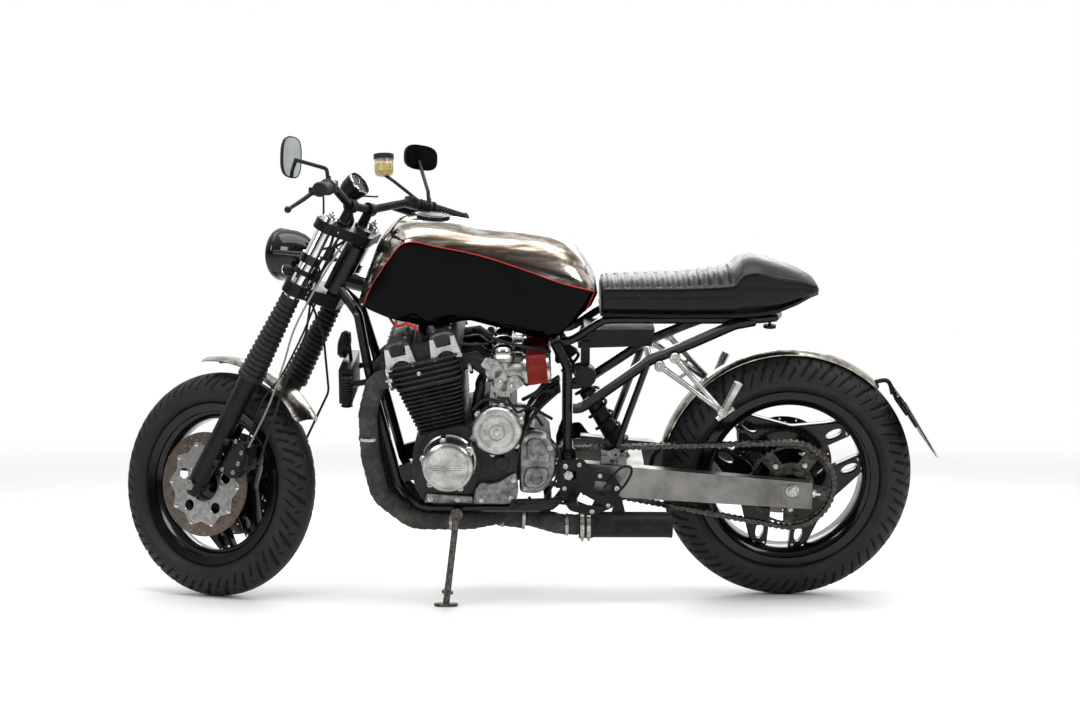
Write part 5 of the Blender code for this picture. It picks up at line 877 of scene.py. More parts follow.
def curve_through(points, steps):
    """A smooth line through every point."""
    points = [Vector(point) for point in points]
    ends = [2 * points[0] - points[1], *points, 2 * points[-1] - points[-2]]
    line = []
    for a, b, c, d in zip(ends, ends[1:], ends[2:], ends[3:]):
        for step in range(steps):
            t = step / steps
            line.append(on_curve(a, b, c, d, t))
    return line + [points[-1]]


def bent(corners, bend, steps=6):
    """A path whose corners are rounded by arcs of the bend's radius, where there is room."""
    corners = [Vector(corner) for corner in corners]
    path = [corners[0]]
    for before, corner, after in zip(corners, corners[1:], corners[2:]):
        inward, onward = before - corner, after - corner
        half_angle = inward.angle(onward) / 2
        reach = min(bend * cos(half_angle) / sin(half_angle), 0.49 * inward.length, 0.49 * onward.length)
        start, end = corner + inward.normalized() * reach, corner + onward.normalized() * reach
        path += [
            start.lerp(corner, s / steps).lerp(corner.lerp(end, s / steps), s / steps)
            for s in range(steps + 1)
        ]
    return path + [corners[-1]]


for side in (-1, 1):
    at = on_leg(0.690, side)
    lamp_parts.append(lathe(
        in_mm((20.0, -12), (25.5, -12), (25.5, 12), (20.0, 12)), at, FORK_LINE, 40, ring=True
    ))
    eye = LAMP_AT + Vector((40 * MM, side * 67 * MM, 0))
    lamp_parts.append(round_bar(
        [
            eye - Vector((0, side * 10 * MM, 0)), eye + Vector((0, side * 12 * MM, 0)),
            at - 22 * MM * FORK_BACK
        ],
        6 * MM, 16
    ))
piece("lamp_bowl", joined(*lamp_parts), gloss_black, "steering", ("headlamp",))
rim_rows = in_mm((60, -1), (64, -2.5), (68, 1), (71, 6), (71, 20), (69.5, 23), (66, 14), (60, 3))
piece(
    "lamp_rim", lathe(rim_rows, LAMP_AT, (1, 0, 0), 96, ring=True), gloss_black, "steering"
)


def glass(name, colour, ior, roughness):
    """Clear moulded glass or plastic."""
    made, tree, shader, place = new_surface(name)
    film = add_node(tree, "TexNoise", inputs={"Vector": place, "Scale": 1 / (18 * MM), "Detail": 6.0})
    rough = add_node(
        tree, "MapRange",
        inputs={"Value": film.outputs["Fac"], "To Min": roughness, "To Max": roughness + 0.1}
    )
    feed(
        tree, shader,
        {
            "Transmission Weight": 0.9, "IOR": ior, "Roughness": rough.outputs["Result"],
            "Base Color": linear(colour)
        }
    )
    return made


lamp_glass = glass("fluted_lamp_glass", "F2F5F7", 1.5, 0.04)
reflector = metal("silvered_reflector", "B9BCC0", "F0F1F3", 30, 0.05, 0.0)
lens_rings = []
for row, (share, rise) in enumerate((
    (1.0, 0.0), (0.92, -4.0), (0.75, -7.5), (0.5, -10.5), (0.25, -12.0), (0.01, -12.5)
)):
    ring_points = []
    for step in range(120):
        turn = 2 * pi * step / 120
        flute = 0.5 * MM * (1 if step % 6 < 3 else -1) * (0.2 < share < 0.95)
        ring_points.append(
            LAMP_AT + Vector((
                rise * MM * 0.75 + 1 * MM + flute, share * 61 * MM * cos(turn), share * 61 * MM * sin(turn)
            ))
        )
    lens_rings.append(ring_points)
piece("lamp_glass", shell(lens_rings), lamp_glass, "steering", crease=60)
dish_rows = in_mm((60, 4), (50, 5), (30, 7), (12, 9), (0.5, 10))
piece("lamp_reflector", lathe(dish_rows, LAMP_AT, (1, 0, 0), 64), reflector, "steering")


# The fuel tank
# Pressed steel, polished bare on top and at the nose and tail, with gloss black side panels edged
# by a thin red line. The bare steel has long polishing marks and a marbling of dark brown and
# pale patches that is partly patina and partly painted reflection of the studio's dark and bright parts.
TANK_ROWS = (
    # lower edge x and z, side crease x and z, top x and z, half width
    (0.400, 0.822, 0.412, 0.850, 0.432, 0.914, 0.056),
    (0.410, 0.815, 0.436, 0.868, 0.458, 0.978, 0.085),
    (0.450, 0.800, 0.483, 0.939, 0.505, 1.027, 0.116),
    (0.510, 0.782, 0.532, 0.990, 0.560, 1.036, 0.132),
    (0.600, 0.770, 0.618, 0.979, 0.640, 1.031, 0.139),
    (0.696, 0.785, 0.720, 0.958, 0.730, 1.014, 0.141),
    (0.790, 0.760, 0.822, 0.925, 0.830, 1.003, 0.139),
    (0.873, 0.742, 0.924, 0.886, 0.915, 0.987, 0.130),
    (0.925, 0.742, 0.985, 0.868, 0.963, 0.958, 0.117),
    (0.985, 0.798, 1.012, 0.857, 1.005, 0.900, 0.098),
    (1.004, 0.812, 1.022, 0.850, 1.018, 0.872, 0.084),
)


def smooth_rows(rows, steps):
    """Rows of numbers with smooth ones between them."""
    ends = [rows[0], *rows, rows[-1]]
    made = []
    for a, b, c, d in zip(ends, ends[1:], ends[2:], ends[3:]):
        for step in range(steps):
            t = step / steps
            made.append(tuple(on_curve(p, q, r, s, t) for p, q, r, s in zip(a, b, c, d)))
    return made + [rows[-1]]


def tank_ring(row, first, last):
    """Half a slice of the tank from the top to the tunnel's roof, as x, y and z."""
    bx, bz, cx, cz, tx, tz, half = row
    share = (bx - first[0]) / (last[0] - first[0])
    roof = 0.884 + share * (0.832 - 0.884)
    roof_x = bx + (roof - bz) / (tz - bz) * (tx - bx)
    tunnel = min(0.045, half * 0.7)
    over = [
        (tx, 0.0, tz), (tx + 0.10 * (cx - tx), half * 0.45, tz + 0.06 * (cz - tz)),
        (tx + 0.40 * (cx - tx), half * 0.78, tz + 0.30 * (cz - tz)),
        (tx + 0.75 * (cx - tx), half * 0.94, tz + 0.66 * (cz - tz)), (cx, half, cz)
    ]
    down = [
        (cx, half, cz), ((bx + cx) / 2, half * 0.99, (bz + cz) / 2),
        (bx + 0.15 * (cx - bx), half * 0.93, bz + 0.12 * (cz - bz)), (bx, half * 0.86, bz)
    ]
    over = smooth_rows([(over[1][0], -over[1][1], over[1][2])] + over, 6)[6:]
    down = smooth_rows(down, 6)
    return over + down[1:], len(over) - 1, [(bx, tunnel, bz), (roof_x, tunnel, roof)]


bare_steel, tree, shader, place = new_surface("polished_bare_steel")
stretched = add_node(tree, "Mapping", inputs={"Vector": place, "Scale": (0.24, 1.0, 1.3)})
marble = add_node(
    tree, "TexNoise",
    inputs={
        "Vector": stretched.outputs[0], "Scale": 1 / (44 * MM), "Detail": 7.0, "Roughness": 0.55,
        "Distortion": 1.1
    }
)
# The steel's colour runs from dark brown to pale: partly brown patina, partly painted reflection.
patina_and_painted_reflection_tone = add_node(
    tree, "ValToRGB", inputs={"Fac": marble.outputs["Fac"]},
    stops=((0.36, "51473C"), (0.46, "8B8073"), (0.54, "C6C0B6"), (0.68, "E6E3DC"))
)
scratches = add_node(tree, "Mapping", inputs={"Vector": place, "Scale": (0.06, 1.0, 1.0)})
streaks = add_node(
    tree, "TexNoise", inputs={"Vector": scratches.outputs[0], "Scale": 1 / (1.2 * MM), "Detail": 4.0}
)
steel_rough = add_node(
    tree, "MapRange",
    inputs={
        "Value": marble.outputs["Fac"], "From Min": 0.35, "From Max": 0.6, "To Min": 0.28, "To Max": 0.07
    }
)
steel_bump = add_node(
    tree, "Bump", inputs={"Height": streaks.outputs["Fac"], "Strength": 0.12, "Distance": 0.15 * MM}
)
feed(
    tree, shader,
    {
        "Metallic": 1.0, "Anisotropic": 0.3, "Base Color": patina_and_painted_reflection_tone.outputs["Color"],
        "Roughness": steel_rough.outputs["Result"], "Normal": steel_bump.outputs["Normal"]
    }
)
tank_black = enamel("tank_black_enamel", "020202", "050506", 0.09, 0.1)
tank_black.node_tree.nodes["Principled BSDF"].inputs["Specular IOR Level"].default_value = 0.05
line_red = enamel("red_line_enamel", "B3261B", "C8362A", 0.25, 0.3)

fine_rows = smooth_rows(list(TANK_ROWS), 8)
tank_rings = []
for row in fine_rows:
    outer, crease_at, tunnel = tank_ring(row, TANK_ROWS[0], TANK_ROWS[-1])
    half_ring = outer + tunnel
    tank_rings.append(half_ring + [(x, -y, z) for x, y, z in reversed(half_ring[1:])])
tank = piece("tank_pressing", shell(tank_rings), bare_steel, "frame", ("fuel_tank",), crease=42)
tank.data.materials.append(tank_black)
ring_size = len(tank_rings[0])
outer_size = len(outer)
PANEL_ENDS = (9, len(fine_rows) - 8)
for polygon in tank.data.polygons:
    rows_here = sorted({index // ring_size for index in polygon.vertices})
    spots = sorted(min(index % ring_size, ring_size - index % ring_size) for index in polygon.vertices)
    in_panel = rows_here[0] >= PANEL_ENDS[0] and rows_here[-1] <= PANEL_ENDS[1]
    if len(rows_here) == 2 and spots[0] >= crease_at and in_panel:
        polygon.material_index = 1
for side, word in SIDES:
    edge = []
    for number in range(PANEL_ENDS[0], PANEL_ENDS[1] + 1):
        x, y, z = tank_ring(fine_rows[number], TANK_ROWS[0], TANK_ROWS[-1])[0][crease_at]
        edge.append(Vector((x, side * (y - 0.4 * MM), z + 0.2 * MM)))
    for number, spots in (
        (PANEL_ENDS[0], range(crease_at, outer_size)), (PANEL_ENDS[1], range(crease_at, outer_size))
    ):
        outer = tank_ring(fine_rows[number], TANK_ROWS[0], TANK_ROWS[-1])[0]
        fall = [
            Vector((outer[spot][0], side * (outer[spot][1] - 0.4 * MM), outer[spot][2]))
            for spot in spots
        ]
        edge = fall[:0:-1] + edge if number == PANEL_ENDS[0] else edge + fall[1:]
    piece("tank_line_" + word, round_bar(edge, 1.3 * MM, 8), line_red, "frame")

cap_at = Vector((0.595, 0, 1.0345))
cap_line = Vector((0.06, 0, 1)).normalized()
cap_rows = in_mm((44, 0), (44, 4.5), (42.5, 6.4), (36, 7.0), (35, 6.0), (27, 6.0), (26, 7.0), (0.4, 7.0))
cap_shapes = [lathe(cap_rows, cap_at, cap_line, 72)]
piece("filler_cap_ring", joined(*cap_shapes), satin_black, "frame", ("filler_cap",))
cap_bolts = []
for number in range(7):
    turn = 2 * pi * number / 7
    spot = cap_at + Vector((
        40 * MM * cos(turn), 40 * MM * sin(turn), 5.4 * MM - 0.06 * 40 * MM * cos(turn)
    ))
    cap_bolts.append(lathe(in_mm((3, 0), (3, 1.2), (1.6, 1.6), (1.6, 0.6), (0.3, 0.6)), spot, cap_line, 12))
piece("filler_cap_bolts", joined(*cap_bolts), bolt_steel, "frame")


# The seat
# Foam under black leather, tuck and roll across the rider's place, plain along the sides and over
# the hump, with a welt where they meet. It is modelled in code: it is firm, so it needs no cloth run.
SEAT_ROWS = (
    # x, underside, seam, top, half width
    (1.030, 0.800, 0.840, 0.862, 0.096),
    (1.040, 0.800, 0.862, 0.879, 0.104),
    (1.120, 0.800, 0.864, 0.885, 0.111),
    (1.221, 0.800, 0.866, 0.888, 0.118),
    (1.317, 0.801, 0.870, 0.900, 0.121),
    (1.370, 0.801, 0.874, 0.908, 0.121),
    (1.398, 0.802, 0.902, 0.932, 0.120),
    (1.425, 0.803, 0.908, 0.938, 0.118),
    (1.488, 0.811, 0.893, 0.922, 0.110),
    (1.540, 0.828, 0.884, 0.903, 0.098),
    (1.575, 0.841, 0.871, 0.885, 0.087),
    (1.592, 0.845, 0.864, 0.872, 0.074),
    (1.599, 0.850, 0.858, 0.861, 0.060),
)
leather, tree, shader, place = new_surface("black_seat_leather")
pores = add_node(tree, "TexVoronoi", inputs={"Vector": place, "Scale": 1 / (1.7 * MM), "Randomness": 0.9})
creases = add_node(
    tree, "TexNoise", inputs={"Vector": place, "Scale": 1 / (22 * MM), "Detail": 9.0, "Roughness": 0.68}
)
hide = add_node(
    tree, "ValToRGB", inputs={"Fac": creases.outputs["Fac"]},
    stops=((0.32, "050505"), (0.60, "0B0B0C"), (0.85, "171719"))
)
hide_rough = add_node(
    tree, "MapRange", inputs={"Value": creases.outputs["Fac"], "To Min": 0.22, "To Max": 0.44}
)
pore_bump = add_node(
    tree, "Bump", inputs={"Height": pores.outputs["Distance"], "Strength": 0.30, "Distance": 0.30 * MM}
)
hide_bump = add_node(
    tree, "Bump",
    inputs={
        "Height": creases.outputs["Fac"], "Strength": 0.35, "Distance": 1.2 * MM,
        "Normal": pore_bump.outputs["Normal"]
    }
)
feed(
    tree, shader,
    {
        "Sheen Weight": 0.02, "Specular IOR Level": 0.22, "Base Color": hide.outputs["Color"],
        "Roughness": hide_rough.outputs["Result"], "Normal": hide_bump.outputs["Normal"]
    }
)

RIBS = 12
RIBBED = (1.046, 1.366)
SEAT_STEPS = 300
SEAT_ACROSS = 56


def seat_section(x):
    """Underside, seam, top and half width at x, on smooth lines through the rows that don't overshoot."""
    last = len(SEAT_ROWS) - 1
    number = min(sum(x > row[0] for row in SEAT_ROWS[1:]), last - 1)
    first, second = SEAT_ROWS[number], SEAT_ROWS[number + 1]
    span = second[0] - first[0]
    t = min(1.0, (x - first[0]) / span)
    found = []
    for column in range(1, 5):
        slopes = []
        for at in (number - 1, number, number + 1):
            a, b = SEAT_ROWS[max(0, min(last - 1, at))], SEAT_ROWS[max(0, min(last - 1, at)) + 1]
            slopes.append((b[column] - a[column]) / (b[0] - a[0]))
        ends = [2 * a * b / (a + b) if a * b > 0 else 0.0 for a, b in zip(slopes, slopes[1:])]
        near_first = (2 * t ** 3 - 3 * t * t + 1) * first[column] + (t ** 3 - 2 * t * t + t) * span * ends[0]
        near_second = (3 * t * t - 2 * t ** 3) * second[column]
        found.append(near_first + near_second + (t ** 3 - t * t) * span * ends[1])
    return found


seat_rings = []
for step in range(SEAT_STEPS + 1):
    x = SEAT_ROWS[0][0] + (SEAT_ROWS[-1][0] - SEAT_ROWS[0][0]) * step / SEAT_STEPS
    under, seam, top, half = seat_section(x)
    share = (x - RIBBED[0]) / (RIBBED[1] - RIBBED[0]) * RIBS
    rib = abs(sin(pi * share)) ** 0.75 if 0 <= share <= RIBS else 1.0
    ring = []
    for spot in range(SEAT_ACROSS + 1):
        y_share = -1 + 2 * spot / SEAT_ACROSS
        reach = abs(y_share)
        rise = (1 - reach ** 2.6) * (top - seam)
        on_top = max(0.0, min(1.0, (0.885 - reach) / 0.04))
        dip = (1 - rib) * 9 * MM * on_top
        welt = 2.4 * MM * max(0.0, 1 - abs(reach - 0.89) / 0.035)
        bunch = 0.8 * MM * noise.noise(Vector((x * 60, y_share * 7, 0.3)))
        ring.append((
            x, y_share * half * 0.995, seam + rise - dip - welt * 0.6 + bunch * (1 - reach) - 0.5 * MM
        ))
    for side in (1, -1):
        for level in (0.90, 0.72, 0.70, 0.66, 0.45, 0.22, 0.05)[::side]:
            bulge = 1.0 + 0.012 * sin(pi * level) - (0.010 if level == 0.70 else 0.0)
            wave = 0.6 * MM * noise.noise(Vector((x * 25, level * 4, side)))
            ring.append((
                x, side * (half * bulge * 0.995 + wave), under + 0.6 * MM + level * (seam - under)
            ))
    seat_rings.append(ring)
# The ring of points runs over the top from left to right, down the right side and up the left.
seat_cover = piece("seat_cover", shell(seat_rings), leather, "frame", ("seat",), crease=75)
softened = seat_cover.modifiers.new("soft_foam", "SUBSURF")
softened.levels = 1
softened.render_levels = 1
piping = rubber("piping_leather", "0C0C0D", "1C1C1D", 0.9, 0.45)
for side, word in SIDES:
    line = []
    for step in range(140):
        x = 1.036 + (1.590 - 1.036) * step / 139
        under, seam, top, half = seat_section(x)
        line.append(Vector((x, side * half * 0.985, seam + 1.0 * MM)))
    piece("seat_welt_" + word, round_bar(line, 2.0 * MM, 8), piping, "frame")
dress("seat_pan", satin_black, 1.0 * MM)


# The handlebar and its controls
# A black steel bar on two cast risers, ribbed rubber grips, cast perches with forged levers, a
# switch box on each side, round-backed mirrors, a clear fluid cup and a small round instrument.
BAR_INNER = Vector((0.398, 0.050, 1.058))
BAR_RISE = Vector((0.432, 0.185, 1.094))
BAR_END = Vector((0.508, 0.345, 1.066))


def sided(point, side):
    return Vector((point[0], abs(point[1]) * side, point[2]))


def along_bar(side, reach):
    """A point on the outer run of the bar, and the way along it to its end."""
    rise, end = sided(BAR_RISE, side), sided(BAR_END, side)
    way = (end - rise).normalized()
    return rise + reach * way, way


bar_corners = [sided(p, -1) for p in (BAR_END, BAR_RISE, BAR_INNER)] + [
    sided(p, 1)
    for p in (BAR_INNER, BAR_RISE, BAR_END)
]
bar_parts = [round_bar(bent(bar_corners, 0.05, 8), 11 * MM, 28)]
for side in (-1, 1):
    at = sided(BAR_INNER, side) - Vector((0, side * 6 * MM, 0))
    back = (at - FRONT_AXLE).dot(FORK_BACK)
    foot = FRONT_AXLE + 0.8004 * FORK_LINE + back * FORK_BACK + Vector((0, at.y, 0))
    rows = [
        (17 * MM, 0), (17 * MM, 5 * MM), (13.5 * MM, 9 * MM), (12.5 * MM, (at - foot).length - 12 * MM),
        (16 * MM, (at - foot).length)
    ]
    bar_parts.append(lathe(rows, foot, at - foot, 32))
    clamp_rows = in_mm((11.2, -12), (17, -12), (18, -10.5), (18, 10.5), (17, 12), (11.2, 12))
    bar_parts.append(lathe(clamp_rows, at, (0, 1, 0), 40, ring=True))
piece("handlebar_bar", joined(*bar_parts), satin_black, "steering", ("handlebar",))

grip_rubber = rubber("moulded_grip_rubber", "0B0B0C", "1C1C1C", 1.2, 0.58)
cast_black = enamel("black_cast_alloy", "0D0D0E", "222223", 0.34, 0.0)
for side, word in SIDES:
    end, way = along_bar(side, (sided(BAR_END, side) - sided(BAR_RISE, side)).length)
    start = end - way * 0.108
    rows = in_mm((11.3, 0), (20.5, 0), (21, 2), (20, 5), (17, 8))
    for rib in range(22):
        at = 10 * MM + rib * 4.3 * MM
        rows += [
            (16.6 * MM, at), (16.6 * MM, at + 2.6 * MM), (15.7 * MM, at + 3.0 * MM),
            (15.7 * MM, at + 4.0 * MM)
        ]
    rows += in_mm((18.4, 107), (18.6, 111), (15, 115.6), (0.5, 116), (0.5, 109), (11.3, 109))
    piece(
        "grip_ribbed_" + word, lathe(rows, start, way, 40, ring=True), grip_rubber, "steering",
        ("grip_" + word,)
    )

    at, way = along_bar(side, 0.041)
    ahead = Vector((-0.045, side * 0.006, -0.014))
    pivot = at + ahead
    rows = in_mm((11.2, -11), (16.6, -11), (17.5, -10), (17.5, 10), (16.6, 11), (11.2, 11))
    perch = [lathe(rows, at, way, 36, ring=True)]
    perch.append(round_bar(
        [at + ahead * 0.28, at + ahead * 0.6, pivot], [11 * MM, 9.5 * MM, 10.5 * MM], 20
    ))
    boss = in_mm((0.5, -9.5), (10, -9.5), (11, -8.5), (11, 8.5), (10, 9.5), (0.5, 9.5))
    perch.append(lathe(boss, pivot, (0, 0, 1), 32))
    for up in (-1, 1):
        screw_at = at + way * up * 7 * MM - ahead.normalized() * 16 * MM
        perch.append(lathe(in_mm((3.2, 0), (3.2, 3), (1.8, 3.4), (0.4, 3.4)), screw_at, -ahead, 12))
    if side > 0:
        rows = in_mm((0.5, -52), (10, -52), (12, -49), (12, 1), (10, 2), (0.5, 2))
        perch.append(lathe(rows, pivot, way, 28))
    control = ("clutch_lever", "brake_lever")[side > 0]
    piece(control + "_perch", joined(*perch), cast_black, "steering", (control,))
    lever_line = [
        pivot - way * 6 * MM, pivot + way * 50 * MM + Vector((-0.008, 0, -0.012)),
        pivot + way * 105 * MM + Vector((-0.024, 0, -0.025)),
        pivot + way * 155 * MM + Vector((-0.038, 0, -0.036))
    ]
    blade_path = curve_through(lever_line, 12)
    widths = [(6.2 - 1.6 * (s / (len(blade_path) - 1))) * MM for s in range(len(blade_path))]
    blade_parts = [round_bar(blade_path, widths, 20)]
    tip = in_mm((0.4, -8.8), (4.5, -7.6), (7.6, -4.5), (8.8, 0), (7.6, 4.5), (4.5, 7.6), (0.4, 8.8))
    blade_parts.append(lathe(tip, lever_line[-1], lever_line[-1] - lever_line[-2], 24))
    piece(control + "_blade", joined(*blade_parts), cast_black, "steering")

    at, way = along_bar(side, 0.012 if side < 0 else 0.002)
    flat = Matrix((
        way, Vector((0, 0, 1)).cross(way).normalized(), way.cross(Vector((0, 0, 1)).cross(way).normalized())
    )).transposed()
    box_turn = Matrix.Translation(at) @ flat.to_4x4()
    shape = rounded(in_mm((-15, -17), (15, -17), (16, 14), (-14, 16)), 6 * MM)
    box = [plate(shape, [], -17 * MM, 15 * MM, 4 * MM, box_turn)]
    for across, up in in_mm((-6, 8), (6, 8), (0, -8)):
        spot = box_turn @ Vector((across, -16.4 * MM if up > 0 else 14 * MM, up * 0.6))
        outward = flat @ Vector((0, -1 if up > 0 else 1, 0))
        box.append(lathe(in_mm((4.2, 0), (4.2, 3.2), (3.4, 4.2), (0.4, 4.2)), spot, outward, 18))
    piece("switch_box_" + word, joined(*box), cast_black, "steering")

mirror_shell = rubber("mirror_shell_plastic", "0A0A0B", "1B1B1B", 0.7, 0.46)
mirror_silver = metal("silvered_mirror_glass", "C9D0D2", "E4E9EA", 60, 0.03, 0.0)
mirror_smoked = metal("smoked_mirror_glass", "17191A", "26292B", 60, 0.05, 0.0)
MIRRORS = (
    # side, word, middle, way it faces, width, height, glass
    (-1, "left", (0.385, -0.300, 1.150), (1, -0.10, 0.05), 0.070, 0.104, mirror_silver),
    (1, "right", (0.372, 0.320, 1.232), (0.92, -0.38, 0.05), 0.112, 0.070, mirror_smoked),
)
for side, word, middle, facing, width, height, coating in MIRRORS:
    facing = Vector(facing).normalized()
    across_glass = Vector((0, 0, 1)).cross(facing).normalized()
    up_glass = facing.cross(across_glass)
    middle = Vector(middle)

    def oval(depth, size):
        loop = []
        for step in range(72):
            a, b = cos(2 * pi * step / 72), sin(2 * pi * step / 72)
            bulge = (abs(a) ** 3 + abs(b) ** 3) ** (-1 / 3)
            in_glass = across_glass * a * width / 2 + up_glass * b * height / 2
            loop.append(middle + facing * depth + size * bulge * in_glass)
        return loop

    levels = (
        (-16, 0.20), (-15.6, 0.42), (-14, 0.66), (-11, 0.85), (-7, 0.95), (-2, 0.99), (2, 1.0),
        (3.4, 0.985), (3.4, 0.955), (1.4, 0.945), (1.2, 0.5)
    )
    shapes = [shell([oval(depth * MM, size) for depth, size in levels])]
    at, way = along_bar(side, 0.061)
    shapes.append(lathe(in_mm((11.2, -6), (17, -6), (17, 6), (11.2, 6)), at, way, 32, ring=True))
    stem = bent(
        [
            at + Vector((0, 0, 12 * MM)), at + Vector((-6 * MM, side * 2 * MM, 45 * MM)),
            middle - facing * 13 * MM
        ],
        12 * MM, 8
    )
    shapes.append(round_bar(stem, 5 * MM, 18))
    knuckle = in_mm((0.4, -9), (7, -7), (9, 0), (7, 7), (0.4, 9))
    shapes.append(lathe(knuckle, stem[-1], facing, 20))
    shapes.append(lathe(
        in_mm((8, 0), (8, 7), (6, 10), (6, 16)), at + Vector((0, 0, 11 * MM)), (0, 0, 1), 6
    ))
    piece(
        "mirror_shell_" + word, joined(*shapes), mirror_shell, "steering",
        ("mirror_" + word,)
    )
    glass_face = shell([
        oval(1.5 * MM, 0.945), oval(2.2 * MM, 0.94), oval(2.4 * MM, 0.6), oval(2.5 * MM, 0.02)
    ])
    piece("mirror_glass_" + word, glass_face, coating, "steering", crease=50)

cup_plastic = glass("clear_cup_plastic", "F3EFD8", 1.45, 0.12)
fluid = rubber("amber_brake_fluid", "C9A92C", "E5CF62", 14, 0.22)
cup_at, cup_line = Vector((0.352, 0.172, 1.162)), (-0.1, 0, 1)
cup_rows = in_mm((0.5, 0), (16, 0), (23, 4), (25.6, 12), (26, 45.5), (24.4, 45.5), (24, 12), (0.5, 3))
piece(
    "reservoir_cup", lathe(cup_rows, cup_at, cup_line, 56), cup_plastic, "steering",
    ("brake_reservoir",)
)
fluid_rows = in_mm((0.5, 3.4), (15, 4.5), (23.4, 12.5), (23.8, 33), (0.5, 33.2))
piece("reservoir_fluid", lathe(fluid_rows, cup_at, cup_line, 48), fluid, "steering")
lid = in_mm((25.8, 45.6), (28, 46))
for rib in range(4):
    lid += [(28 * MM, (47 + rib * 3) * MM), (27.2 * MM, (48.4 + rib * 3) * MM)]
lid += in_mm((28, 58.6), (26.6, 60), (20, 60), (19, 59), (0.5, 59))
holder = [lathe(lid, cup_at, cup_line, 56)]
at, way = along_bar(1, 0.021)
holder.append(lathe(in_mm((11.2, -6), (16, -6), (16, 6), (11.2, 6)), at, way, 32, ring=True))
arm = bent(
    [
        at + Vector((0, 0, 13 * MM)), cup_at + Vector((30 * MM, 0, -12 * MM)),
        cup_at + Vector((0, 0, 4 * MM))
    ],
    20 * MM, 6
)
holder.append(round_bar(arm, 4.6 * MM, 16))
piece("reservoir_cap", joined(*holder), mirror_shell, "steering")

face_at, face_way = Vector((0.392, 0, 1.124)), Vector((0.80, 0, 0.60)).normalized()
dial_rows = in_mm(
    (0.5, -52), (20, -52), (27, -47), (31, -36), (34, -14), (34, -1.5), (32.8, 0), (31, 0), (30.4, -2),
    (30, -5), (0.5, -5)
)
dial = [lathe(dial_rows, face_at, face_way, 64)]
foot = on_fork(0.8003, 0.0, 0)
dial.append(round_bar(
    bent([foot, foot + 12 * MM * FORK_LINE, (0.362, 0, 1.060), face_at - face_way * 42 * MM], 10 * MM),
    6 * MM, 16
))
piece("instrument_case", joined(*dial), satin_black, "steering", ("instrument",))
_, dial_first, dial_second = axes_about(face_way)
ticks = []
for number in range(25):
    turn = radians(-130 + number * 260 / 24) + pi / 2
    outward = cos(turn) * dial_first + sin(turn) * dial_second
    middle = face_at - face_way * 4.6 * MM
    long_tick = 6 * MM if number % 4 == 0 else 3.4 * MM
    ticks.append(round_bar(
        [middle + outward * (28 * MM - long_tick), middle + outward * 28 * MM], 0.5 * MM, 6
    ))
ticks.append(round_bar(
    [face_at - face_way * 3.8 * MM, face_at - face_way * 3.8 * MM + 22 * MM * dial_first],
    [1.2 * MM, 0.4 * MM], 8
))
dial_white = enamel("white_dial_print", "C9C9C4", "DEDEDA", 0.45, 0.0)
piece("instrument_marks", joined(*ticks), dial_white, "steering")
bezel = lathe(
    in_mm((30.6, -1.8), (32.6, 0.2), (34.2, -1.4), (34.2, -5), (33, -5)), face_at, face_way, 64, ring=True
)
piece("instrument_bezel", bezel, hard_chrome, "steering")

lock = lathe(in_mm((0.5, 12), (9, 12), (10.5, 11), (10.5, 0)), on_fork(0.800, -20 * MM, 0), FORK_LINE, 28)
piece("ignition_lock", lock, bolt_steel, "steering")


# The hoses, cables and small lamps on the fork
# Rubber brake hoses with crimped steel ends run down to the calipers. Grey and black cables loop
# from the bar to the frame and the wheel, and the strands of the loom hang behind the headlamp.
# A moulded indicator stands out from each fork leg.
hose_rubber = rubber("brake_hose_rubber", "0D0D0E", "232323", 1.0, 0.48)
cable_grey = rubber("grey_cable_sleeve", "6B6C6A", "8B8B88", 1.6, 0.42)
split = on_leg(0.5847) - 4 * MM * FORK_BACK
hoses = [round_bar([split - 26 * MM * FORK_LINE, split - 13 * MM * FORK_LINE, split], 9.6 * MM, 24)]
ends = []
for side in (-1, 1):
    end = on_leg(CALIPER_UP) + 92.3 * MM * FORK_BACK + Vector((0, side * 80 * MM, 0))
    corners = [
        split - 15 * MM * FORK_LINE, on_leg(0.50) + 55 * MM * FORK_BACK + Vector((0, side * 40 * MM, 0)),
        on_leg(0.36) + 110 * MM * FORK_BACK + Vector((0, side * 105 * MM, 0)),
        end + 40 * MM * FORK_BACK + 30 * MM * FORK_LINE, end + 12 * MM * FORK_BACK, end
    ]
    path = bent(corners, 0.05, 10)
    hoses.append(round_bar(path, 3.2 * MM, 14))
    ends.append(round_bar([end + 12 * MM * FORK_BACK, end], 4.6 * MM, 12))
    ends.append(lathe(
        in_mm((0.5, -5), (7, -5), (7, 5), (0.5, 5)), end + 1 * MM * FORK_BACK, (0, side, 0), 6
    ))
piece("brake_hose_pair", joined(*hoses), hose_rubber, "steering", ("brake_hoses",))
piece("hose_ends", joined(*ends), bolt_steel, "steering")
